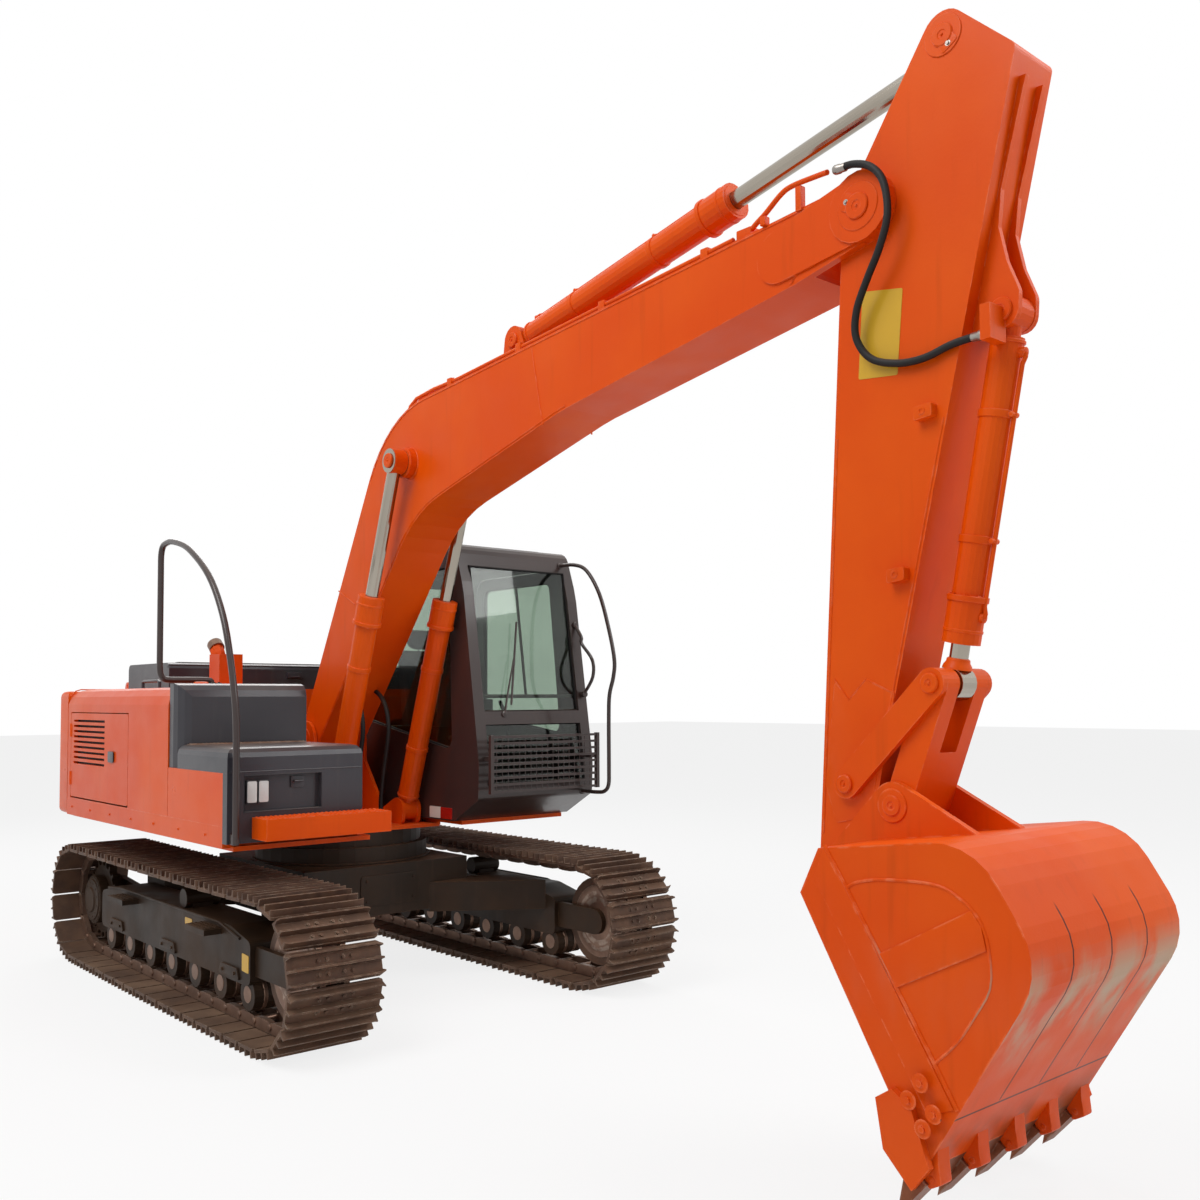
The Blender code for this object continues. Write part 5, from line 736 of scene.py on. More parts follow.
NODE_FINISHES = {
    "orange_paint": ["arm", "arm_ram_barrel", "boom", "boom_ram_barrel_left", "boom_ram_barrel_right",
                     "bucket_link", "bucket_ram_barrel", "side_cutter_left", "side_cutter_right",
                     "side_link_left", "side_link_right", "main_frame", "front_step", "exhaust"],
    "bucket_paint": ["bucket"],
    "house_paint": ["body_cover", "counterweight", "fuel_tank", "left_side_door", "right_side_door",
                    "skirt_left", "skirt_right"],
    "frame_black": ["centre_frame", "slewing_ring", "sprocket_left", "sprocket_right", "track_frame_left",
                    "track_frame_right"],
    "track_steel": ["idler_left", "idler_right", "track_left", "track_right"],
    "cab_black": ["cab_door", "cab_shell", "hand_rail", "mirror_stay", "window_guard"],
    "cover_black": ["engine_hood", "front_wall", "toolbox_front", "toolbox_lid"],
    "chrome": ["arm_ram_rod", "boom_ram_rod_left", "boom_ram_rod_right", "bucket_ram_rod"],
    "tooth_steel": ["bucket_teeth"],
    "rubber": ["arm_hose", "boom_hose_left", "boom_hose_right"],
    "engine_iron": ["engine_block"],
    "seat_vinyl": ["operator_seat", "side_console", "travel_levers"],
    "cab_glass": ["cab_door_glass", "lower_windscreen", "quarter_window", "rear_window", "right_window",
                  "windscreen"],
}


def paint_nodes(paint):
    mix_finishes(paint)
    for finish, nodes in NODE_FINISHES.items():
        for name in nodes:
            item = frame["nodes"][name]
            item.data.materials.clear()
            item.data.materials.append(FINISHES[finish])
    missing = set(frame["nodes"]) - {name for nodes in NODE_FINISHES.values() for name in nodes}
    if missing:
        raise RuntimeError(f"no finish for {sorted(missing)}")


# The tracks and the undercarriage.

TRACK_MIDDLE = 0.995
TUMBLER_SPAN = 2.88
HALF_SPAN = TUMBLER_SPAN / 2
TRACK_CENTRE_Z = 0.395
SHOE_SEAT = 0.337
SHOE_PLATE = 0.020
ROLLER_COUNT = 7
ROLLER_REACH = 1.03
ROLLER_RADIUS = 0.0868
ROLLER_HALF = 0.102
ROLLER_FLANGE = 0.010
ROLLER_CENTRE_Z = TRACK_CENTRE_Z - SHOE_SEAT + 0.1608
RUN_SAG = 0.004
FRAME_SIDE = 0.12
SIDES = ((1, "left"), (-1, "right"))


def track_path(distance):
    """A point (x, z) of the shoes' underside, that far round the loop."""
    turn = math.pi * SHOE_SEAT
    distance %= 2 * (TUMBLER_SPAN + turn)
    if distance < TUMBLER_SPAN or turn < distance - TUMBLER_SPAN + 1e-6 < TUMBLER_SPAN + turn:
        low = distance < TUMBLER_SPAN
        x = distance - HALF_SPAN if low else HALF_SPAN - (distance - TUMBLER_SPAN - turn)
        sag = RUN_SAG * (1 - (x / HALF_SPAN) ** 2)
        return x, TRACK_CENTRE_Z + (-SHOE_SEAT if low else SHOE_SEAT) - sag
    first = distance < TUMBLER_SPAN + turn
    angle = -math.pi / 2 + (distance - TUMBLER_SPAN - (0 if first else TUMBLER_SPAN)) / SHOE_SEAT
    return ((HALF_SPAN if first else -HALF_SPAN) + SHOE_SEAT * math.cos(angle),
            TRACK_CENTRE_Z + SHOE_SEAT * math.sin(angle))


def shoe_form(pitch, width, grouser):
    """One three-bar shoe round its own middle: x along the track, z outwards."""
    crest = SHOE_PLATE + grouser
    section = [(0.025, 0.004), (0.020, 0.013), (0.030, SHOE_PLATE), (0.062, SHOE_PLATE), (0.085, crest - 0.001),
               (0.128, crest - 0.001), (0.160, SHOE_PLATE), (0.445, SHOE_PLATE), (0.472, crest),
               (0.528, crest), (0.555, SHOE_PLATE), (0.845, SHOE_PLATE), (0.872, crest - 0.001),
               (0.918, crest - 0.001), (0.945, SHOE_PLATE - 0.003), (0.990, 0.010), (0.990, 0.002)]
    return Form().solid([[((share - 0.5) * squeeze * pitch, y * width, rise) for share, rise in section]
                         for y, squeeze in ((-0.5, 0.90), (-0.465, 1.0), (0.465, 1.0), (0.5, 0.90))])


def link_form(pitch):
    """The pair of chain links and the pin under one shoe."""
    form = Form()
    outline = rounded([(share * pitch, z) for share, z in (
        (-0.50, -0.002), (0.50, -0.002), (0.56, -0.030), (0.46, -0.058), (0.22, -0.062), (-0.20, -0.062),
        (-0.46, -0.056), (-0.54, -0.028))], 0.012, 2)
    for side in (-1, 1):
        form.prism(outline, side * 0.048, side * 0.078, edge=0.0)
    return form.drum((0.5 * pitch, -0.084, -0.034), (0.5 * pitch, 0.084, -0.034), 0.017, 10, 0.002)


def roller_profile(radius, half, flange):
    """A track roller's section: flanges, treads and a narrower waist."""
    tread = radius - flange
    near = [(0, 0.02), (0, radius * 0.5), (0.012, radius * 0.56), (0.012, tread - 0.006), (0.018, tread),
            (half * 0.48, tread), (half * 0.52, radius - 0.004), (half * 0.56, radius), (half * 0.74, radius)]
    far = [(half * 2 - distance, size) for distance, size in reversed(near)]
    return near + [(half * 0.78, radius * 0.72), (half, radius * 0.68), (half * 1.22, radius * 0.72)] + far


def lay_tracks(track):
    shoes = track.shoe_count
    pitch = 2 * (TUMBLER_SPAN + math.pi * SHOE_SEAT) / shoes
    for side, label in SIDES:
        rows = []
        for index in range(shoes):
            a, b = track_path(index * pitch), track_path((index + 1) * pitch)
            along = Vector((b[0] - a[0], 0, b[1] - a[1])).normalized()
            facing = Vector((along.z, 0, -along.x))
            middle = ((a[0] + b[0]) / 2, side * TRACK_MIDDLE, (a[1] + b[1]) / 2)
            rows.append((middle, facing, along))
            for x, y in ((-0.19, 0.042), (-0.19, 0.088), (0.19, 0.042), (0.19, 0.088)):
                for turn in (1, -1):
                    place = Vector(middle) + along * (x * pitch) + ACROSS * (turn * y) + facing * 0.0195
                    bolt("undercarriage", "track_steel", place, facing, 0.017)
        band = laid_out(shoe_form(pitch * 0.985, track.shoe_width, track.grouser), rows, f"track_shoes_{label}",
                        "undercarriage", "track_steel", "track_steel", 25)
        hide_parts(f"track_{label}")
        laid_out(link_form(pitch), rows, f"track_chain_{label}", "undercarriage", "track_steel", "bare_steel")


def roll_rollers():
    """Rollers, idler and sprocket faces, their bolts and the guards between them."""
    for side, label in SIDES:
        middle = side * TRACK_MIDDLE
        form = Form().turned((0, -ROLLER_HALF, 0), ACROSS, roller_profile(ROLLER_RADIUS, ROLLER_HALF, ROLLER_FLANGE), 24)
        places = [ROLLER_REACH * (2 * index / (ROLLER_COUNT - 1) - 1) for index in range(ROLLER_COUNT)]
        laid_out(form, [((x, middle, ROLLER_CENTRE_Z), UP, AHEAD) for x in places], f"bottom_rollers_{label}", *CAR,
                 "bare_steel")
        form = Form()
        for turn in (1, -1):
            form.turned((HALF_SPAN, middle + turn * 0.055, TRACK_CENTRE_Z), (0, turn, 0),
                        [(0.0, 0.215), (0.0022, 0.214), (0.0022, 0.180), (0.0008, 0.176), (0.0008, 0.115),
                         (0.0035, 0.110)], 40)
        form.piece(f"idler_face_{label}", "undercarriage", "track_steel", "bare_steel")
        outer, facing = side * (TRACK_MIDDLE + 0.085), (0, side, 0)
        form = Form().turned((-HALF_SPAN, outer, TRACK_CENTRE_Z), facing,
                             [(-0.006, 0.155), (0.004, 0.152), (0.006, 0.138), (0.014, 0.134), (0.016, 0.085),
                              (0.026, 0.078), (0.028, 0.03)], 36)
        form.piece(f"travel_motor_cover_{label}", *CAR_BLACK)
        for rise, radius, count, size in ((0.010, 0.112, 12, 0.014), (0.002, 0.145, 20, 0.010)):
            bolt_ring("undercarriage", "frame_black", (-HALF_SPAN, outer + side * rise, TRACK_CENTRE_Z), facing,
                      radius, count, size)
        trim_frame(side, label)


def trim_frame(side, label):
    """What is welded and bolted on the track frame's own side."""
    form = Form()
    face = side * (TRACK_MIDDLE + FRAME_SIDE)
    for x in (-0.86, 0.0, 0.86):
        form.prism(rounded([(x - 0.13, 0.285), (x + 0.13, 0.285), (x + 0.10, 0.345), (x - 0.10, 0.345)], 0.012),
                   face - side * 0.002, face + side * 0.012, edge=0.002)
        for dx in (-0.075, 0.075):
            bolt("undercarriage", "frame_black", (x + dx, face + side * 0.011, 0.315), (0, side, 0), 0.017)
    form.tube(at_y(face + side * 0.003, ((-1.02, 0.53), (-0.82, 0.548), (0.72, 0.548), (0.98, 0.50))), 0.008, 8)
    steps = (-0.62, 0.62)
    for x in steps:
        form.box((x - 0.118, face, 0.519), (x + 0.118, face + side * 0.096, 0.5235), 0.0015)
    form.piece(f"track_frame_trim_{label}", *CAR_BLACK)
    rows = [((x - 0.10 + 0.025 * step, face + side * (0.022 + 0.028 * line), 0.5235), UP, AHEAD)
            for x in steps for step in range(9) for line in range(3)]
    stud = Form().turned((0, 0, -0.001), UP, [(0, 0.0075), (0.004, 0.0060), (0.0055, 0.003)], 8)
    laid_out(stud, rows, f"step_studs_{label}", *CAR_BLACK)
    patch = Form()
    for outline in ([(1.005, 0.340), (1.085, 0.335), (1.085, 0.425), (1.005, 0.430)],
                    rectangle(0.245, 0.475, 0.345, 0.512)):
        patch.prism(rounded(outline, 0.008), face + side * 0.0002, face + side * 0.0022, edge=0.0)
    patch.piece(f"yellow_patches_{label}", *CAR, "plate_yellow")


def trim_centre_frame():
    """Weld lines, swing bearing bolts and covers of the centre frame."""
    for place in ring(Vector((0, 0, 0.8395)), Vector(AHEAD), ACROSS, 0.50, 36):
        bolt("undercarriage", "frame_black", place, UP, 0.013)
    form = Form().sleeve((0, 0, 0.7395), (0, 0, 0.7515), 0.560, 0.536, 48, 0.003)
    form.tube(ring(Vector((0, 0, 0.744)), Vector(AHEAD), ACROSS, 0.546, 64), 0.008, 6, True)
    form.prism(rounded(rectangle(-0.20, 0.50, 0.20, 0.68), 0.02), 0.5995, 0.606, plane="YZ", edge=0.002)
    for y in (-0.16, 0.16):
        for z in (0.53, 0.65):
            bolt("undercarriage", "frame_black", (0.6055, y, z), AHEAD, 0.014)
    form.piece("centre_frame_trim", *CAR_BLACK)


# Pins, rams, boom, arm and bucket.

def pin_head(form, spot, face, side, radius, keeper=0.0):
    """The end of a pin on a boss, with a grease nipple and, where keeper is given, its keeper plate."""
    x, z = spot
    rise = 0.012
    form.turned((x, face, z), (0, side, 0), [(-0.001, radius), (rise * 0.7, radius), (rise, radius - 0.004),
                                             (rise, radius * 0.42), (rise * 0.75, radius * 0.36),
                                             (rise * 0.75, 0.006), (rise * 1.1, 0.005), (rise * 1.25, 0.003)], 28)
    if keeper:
        turn = math.radians(keeper)
        out, over = Vector((math.cos(turn), math.sin(turn))), Vector((-math.sin(turn), math.cos(turn)))
        centre = Vector(spot) + out * radius * 1.05
        outline = [centre + over * s * 0.034 + out * t for s, t in ((-1, -0.020), (1, -0.020), (1, 0.018), (-1, 0.018))]
        form.prism(rounded(outline, 0.008), face - side * 0.001, face + side * 0.008, edge=0.0015)


PIN_HEADS = (
    # body, place (x, z), y of the boss's face, radius of the head, turn of its keeper plate
    ("house", FOOT, 0.1896, 0.052, 200),
    ("house", BOOM_LIFT_PIN, 0.3226, 0.036, 90),
    ("boom_ram_rods", BOOM_ROD_PIN, 0.300, 0.042, 0),
    ("boom_beam", ARM_FOOT_PIN, 0.0756, 0.040, 0),
    ("boom_beam", ARM_PIVOT, 0.178, 0.050, 150),
    ("arm_beam", ARM_EYE_PIN, 0.125, 0.042, 300),
    ("side_links", (4.1253, 1.4118), 0.1566, 0.034, 0),
    ("side_links", BUCKET_EYE_PIN, 0.1566, 0.036, 0),
    ("bucket_group", LINK_PIN, 0.1586, 0.038, 0),
    ("bucket_group", BUCKET_PIN, 0.1586, 0.044, 250),
)


def set_pins():
    """Pin ends at every pivot, with their keeper bolts."""
    forms = {}
    for body, spot, face, radius, keeper in PIN_HEADS:
        form = forms.setdefault(body, Form())
        turn = math.radians(keeper)
        for side in (1, -1):
            pin_head(form, spot, side * face, side, radius, keeper)
            if keeper:
                place = (spot[0] + math.cos(turn) * radius * 1.12, side * (face + 0.0075),
                         spot[1] + math.sin(turn) * radius * 1.12)
                bolt(body, "zinc", place, (0, side, 0), 0.013)
    for side, keeper in ((1, 90), (-1, 0)):
        pin_head(forms["arm_beam"], BUCKET_FOOT_PIN, side * 0.0676, side, 0.042, keeper)
    for body, form in forms.items():
        form.piece(f"pins_{body}", body, *PAINTED)
    collars = Form()
    for spot, low, high, radius in ((FOOT, 0.188, 0.196, 0.085), (BOOM_LIFT_PIN, 0.321, 0.327, 0.058)):
        for side in (1, -1):
            collars.collar(spot, side * low, side * high, radius, 0.045, 32, 0.003)
    collars.piece("pin_collars_house", *HOUSE_ORANGE)


RAMS = (
    # barrel body, rod body, foot (x, z), eye (x, z), y places, barrel, head and rod radii, barrel's end
    ("boom_ram_barrels", "boom_ram_rods", BOOM_LIFT_PIN, BOOM_ROD_PIN, (0.255, -0.255), 0.065, 0.0775, 0.0375, 1.3725),
    ("arm_ram_cylinder", "arm_ram_piston_rod", ARM_FOOT_PIN, ARM_EYE_PIN, (0.0,), 0.070, 0.082, 0.040, 1.5373),
    ("bucket_ram_cylinder", "bucket_ram_piston_rod", BUCKET_FOOT_PIN, BUCKET_EYE_PIN, (0.0,), 0.058, 0.068, 0.034,
     1.1609),
)


def dress_rams(lines):
    for body, rod_body, foot, eye, places, barrel, head, rod, end in RAMS:
        along = Vector((eye[0] - foot[0], 0, eye[1] - foot[1])).normalized()
        back = Vector((-along.z, 0, along.x))
        runs = []
        form = Form()
        for y in places:
            base = Vector((foot[0], y, foot[1]))
            # Groove and flange of the gland, the wiper round the rod and the weld ring at the foot.
            for start, stop, outer, inner, sides in (
                    (end - 0.172, end - 0.150, head + 0.006, barrel, 36),
                    (end - 0.052, end - 0.040, head + 0.0025, head - 0.004, 36),
                    (end - 0.001, end + 0.002, head - 0.012, rod + 0.001, 32),
                    (0.092, 0.104, barrel + 0.005, barrel - 0.004, 32)):
                form.sleeve(base + along * start, base + along * stop, outer, inner, sides)
            for step in range(8):
                turn = math.tau * (step + 0.5) / 8
                out = back.normalized() * math.cos(turn) + ACROSS * math.sin(turn)
                bolt(body, "orange_paint", base + along * (end - 0.171) + out * (head - 0.004), -along, 0.0115)
            # The bands that hold the pipe.
            for place in (0.30, 0.68):
                at = base + along * (end * place)
                form.sleeve(at - along * 0.014, at + along * 0.014, barrel + 0.005, barrel - 0.002, 32)
                pad = at + back * (barrel + 0.010)
                form.drum(pad - ACROSS * 0.022, pad + ACROSS * 0.022, 0.010, 12, 0.002)
                bolt(body, "orange_paint", pad + back * 0.009, back, 0.010)
            # Oil ports and the steel pipe between them.
            for place in (0.135, end - 0.10):
                port = base + along * place
                form.drum(port + back * (barrel - 0.02), port + back * (barrel + 0.020), 0.019, 16, 0.002)
            runs.append([base + along * place + back * (barrel + rise) for place, rise in (
                (0.135, 0.018), (0.150, 0.021), (0.175, 0.013), (end - 0.14, 0.013), (end - 0.115, 0.021),
                (end - 0.10, 0.018))])
        form.piece(f"glands_{body}", body, *PAINTED)
        pipes(runs, lines.pipe_radius * 0.75, f"ram_pipes_{body}", body, *PAINTED)
        form = Form()
        for y in places:
            if rod_body == "boom_ram_rods":
                form.collar(eye, y - 0.0445, y + 0.0445, 0.0705, 0.030, 32, 0.004)
            else:
                grip = Vector((eye[0], y, eye[1])) - along * (head * 0.95)
                form.turned(grip - along * 0.028, along, [(0, rod + 0.001), (0.004, rod + 0.007), (0.016, rod + 0.009),
                                                          (0.026, rod + 0.016), (0.040, rod + 0.020)], 28)
        form.piece(f"rod_eyes_{rod_body}", rod_body, *PAINTED)


BOOM_OUTLINE = ((-0.010, 0.021, 0.0), (0.351, 0.276, 0.155), (0.985, 0.030, 0.0), (0.990, -0.026, 0.0),
                (0.9193, -0.0091, 0.05), (0.629, 0.0788, 0.20), (0.3545, 0.1338, 0.166), (0.010, -0.0215, 0.0))


def boom_top(x):
    """The height of the boom's top plate."""
    return 3.468 + (x - 1.5) * 0.0757 if x > 1.35 else 3.4565 - (1.35 - x) ** 1.6 * 0.42


def dress_boom(lines):
    outline = rounded([(*on_member(FOOT, BOOM_DEGREES, BOOM_LENGTH, (a, b)), radius * BOOM_LENGTH)
                       for a, b, radius in BOOM_OUTLINE], 0.0, 10)
    # The clockwise outline runs along the top first, so a negative inset goes inwards.
    edge = inset(outline, -0.013)
    form = Form()
    for side in (1, -1):
        face = side * BOOM_HALF
        chain = [(x, face, z) for x, z in edge
                 if x > -0.12 and (x - ARM_PIVOT[0]) ** 2 + (z - ARM_PIVOT[1]) ** 2 > 0.026]
        gaps = [(Vector(a) - Vector(b)).length if a[0] > 3.4 else 0 for a, b in zip(chain, chain[1:])]
        after = gaps.index(max(gaps)) + 1
        for run in (chain[:after], chain[after:]):
            if len(run) > 2:
                form.tube(run, 0.0045, 6)
        for (top_x, top_z), (foot_x, foot_z), on in (((2.246, 3.391), (2.310, 3.091), 0.34),
                                                     ((0.239, 2.416), (0.441, 2.321), 0.0)):
            form.tube([(top_x + (top_x - foot_x) * on, face, top_z + (top_z - foot_z) * on), (foot_x, face, foot_z)],
                      0.0042, 6)
        # The cheek plate at the tip and the ear's foot.
        form.prism(rounded([(3.817, 3.566), (3.814, 3.378), (4.02, 3.405), (4.16, 3.47), (4.20, 3.60), (4.149, 3.618)],
                           0.03), face, face + side * 0.007, edge=0.0025)
        form.collar(ARM_PIVOT, side * 0.170, side * 0.1815, 0.092, 0.046, 40, 0.003)
        form.collar(BOOM_ROD_PIN, side * 0.2005, side * 0.2085, 0.0865, 0.045, 36, 0.002)
        form.tube(upright_ring(BOOM_ROD_PIN, side * 0.1605, 0.089, 32), 0.005, 6, True)
    for x in (1.47, 2.10, 2.75, 3.42):
        z = boom_top(x)
        for side in (1, -1):
            form.box((x - 0.022, side * 0.098, z - 0.004), (x + 0.022, side * 0.158, z + 0.040), 0.005)
            bolt("boom_beam", "orange_paint", (x, side * 0.128, z + 0.0395), UP, 0.013)
    form.box((3.60, -0.150, 3.630), (3.68, -0.085, 3.672), 0.006)
    for x, z in ((3.766, 3.672), (3.95, 3.735)):
        form.box((x - 0.014, -0.176, 3.64), (x + 0.014, -0.146, z + 0.004))
    form.piece("boom_welds_and_clamps", "boom_beam", *PAINTED, sharp=40)
    course = ((1.02, 3.385), (1.05, 3.43), (1.12, 3.464), (1.30, 3.482), (1.50, boom_top(1.5) + 0.018),
              (3.58, boom_top(3.58) + 0.018))
    runs = [at_y(y, course) for y in (0.113, 0.143, -0.113, -0.143)]
    runs.append(eased([(3.64, -0.118, 3.655), (3.70, -0.145, 3.668), (3.77, -0.160, 3.690), (3.856, -0.162, 3.742),
                       (3.92, -0.165, 3.754), (4.05, -0.182, 3.742), (4.11, -0.195, 3.732)], 5))
    pipes(runs, lines.pipe_radius, "boom_pipes", "boom_beam", *PAINTED)


def arm_edge(z, front):
    """The x of the arm's side edge at a height, front or rear."""
    if front:
        return 4.2981 + (z - 1.6) * (4.5701 - 4.2981) / (2.748 - 1.6)
    return 4.008 + (z - 1.6) * (4.0914 - 4.008) / 1.4


def dress_arm():
    form = Form()
    for side in (1, -1):
        face = side * ARM_HALF
        for front, inward in ((True, -0.013), (False, 0.013)):
            run = [(arm_edge(z, front) + inward, z) for z in (1.22, 1.6, 2.0, 2.4, 2.72)]
            form.tube(at_y(face, run), 0.0042, 6)
        form.prism(rounded([(4.060, 1.800), (4.125, 1.722), (4.205, 1.800), (4.330, 1.745), (4.235, 1.30), (4.06, 1.26),
                            (4.012, 1.40)], 0.008, 2), face, face + side * 0.003, edge=0.0012)
        form.tube(at_y(face + side * 0.002, ((4.060, 1.802), (4.125, 1.724), (4.205, 1.802), (4.330, 1.747))),
                  0.0032, 6)
        form.collar(ARM_EYE_PIN, side * 0.124, side * 0.130, 0.075, 0.040, 36, 0.002)
    for x, z in ((4.495, 2.748), (4.371, 2.176)):
        form.prism(rounded([(x - 0.045, z - 0.030), (x + 0.030, z - 0.022), (x + 0.030, z + 0.026),
                            (x - 0.045, z + 0.020)], 0.008), -0.163, -0.124)
        form.collar((x - 0.010, z), -0.1625, -0.1655, 0.014, 0.008, 20, 0.001)
    form.piece("arm_welds_and_brackets", "arm_beam", *PAINTED, sharp=40)
    plate = Form().prism(rounded([(4.214, 3.257), (4.391, 3.225), (4.363, 2.910), (4.190, 2.928)], 0.008),
                         -0.1268, -0.1252, edge=0.0)
    plate.piece("blank_yellow_plate", "arm_beam", "orange_paint", "plate_yellow")


BUCKET_RIM = ((4.388, 1.095), (4.43, 1.118), (4.52, 1.137), (4.659, 1.146), (4.745, 1.142), (4.80, 1.122),
              (4.857, 1.085), (4.897, 1.031), (4.916, 0.954), (4.914, 0.855), (4.862, 0.762), (4.800, 0.670),
              (4.719, 0.588))


def dress_bucket():
    form = Form()
    for side in (1, -1):
        face = side * BUCKET_HALF
        form.tube(eased(at_y(face, BUCKET_RIM), 3), 0.0055, 6)
        form.tube(at_y(face, ((4.298, 1.226), (4.388, 1.095), (4.719, 0.588), (4.798, 0.462))), 0.0075, 6)
        form.prism(rounded([(4.518, 0.897), (4.582, 0.797), (4.908, 0.966), (4.892, 1.035), (4.858, 1.082)], 0.006),
                   face, face + side * 0.006)
        # A thicker strip along the side's mouth edge.
        form.prism([(4.298, 1.226), (4.250, 1.114), (4.690, 0.42), (4.785, 0.462)], face, face + side * 0.004,
                   edge=0.002)
        for spot in ((4.683, 0.525), (4.637, 0.461), (4.729, 0.440), (4.689, 0.385)):
            bolt("bucket_group", "orange_paint", (spot[0], side * 0.5255, spot[1]), (0, side, 0), 0.023)
            form.collar(spot, side * 0.525, side * 0.531, 0.030, 0.010, 20, 0.002)
        for spot, radius in ((LINK_PIN, 0.062), (BUCKET_PIN, 0.072)):
            form.collar(spot, side * 0.1565, side * 0.1645, radius, 0.036, 36, 0.003)
    form.piece("bucket_side_plates", "bucket_group", "orange_paint", "bucket_paint", sharp=40)
    # Tooth adapters, wrapped over the cutting edge, each with its tooth pin.
    form = Form()
    adapter = rounded([bucket_point(a, b) for a, b in ((0.86, 0.205), (0.905, 0.222), (1.00, 0.172), (1.055, 0.150),
                                                       (1.055, 0.098), (1.00, 0.098), (0.96, 0.106))], 0.010, 3)
    x, z = bucket_point(1.03, 0.125)
    for index in range(5):
        y = -0.4575 + index * 0.22875
        form.prism(adapter, y - 0.031, y + 0.031, edge=0.006)
        form.drum((x, y - 0.034, z), (x, y + 0.034, z), 0.010, 12, 0.002)
    form.piece("tooth_adapters", "bucket_group", "tooth_steel", "orange_paint")


# House, toolbox, cab, seat and hoses.

TAIL_RADIUS = 2.13
HOUSE_HALF = 1.235


def round_counterweight():
    """The counterweight with its true round back."""
    flank = -math.sqrt(TAIL_RADIUS ** 2 - HOUSE_HALF ** 2)
    places = [HOUSE_HALF * (1 - step / 12) for step in range(1, 24)]
    corners = [(-1.53, HOUSE_HALF, 0.0), (flank, HOUSE_HALF, 0.28),
               *[(-math.sqrt(TAIL_RADIUS ** 2 - y ** 2), y, 0.0) for y in places],
               (flank, -HOUSE_HALF, 0.28), (-1.53, -HOUSE_HALF, 0.0)]
    outline = rounded(corners, 0.0, 10)
    form = Form().solid([[(x, y, z) for x, y in inset(outline, pull)] for z, pull in
                         ((0.975, 0.030), (0.982, 0.013), (0.995, 0.003), (1.010, 0.0), (1.760, 0.0), (1.780, 0.005),
                          (1.794, 0.018), (1.800, 0.040))])
    weight = form.piece("round_counterweight", "house", "orange_paint", "house_paint", sharp=40)
    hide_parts("counterweight")


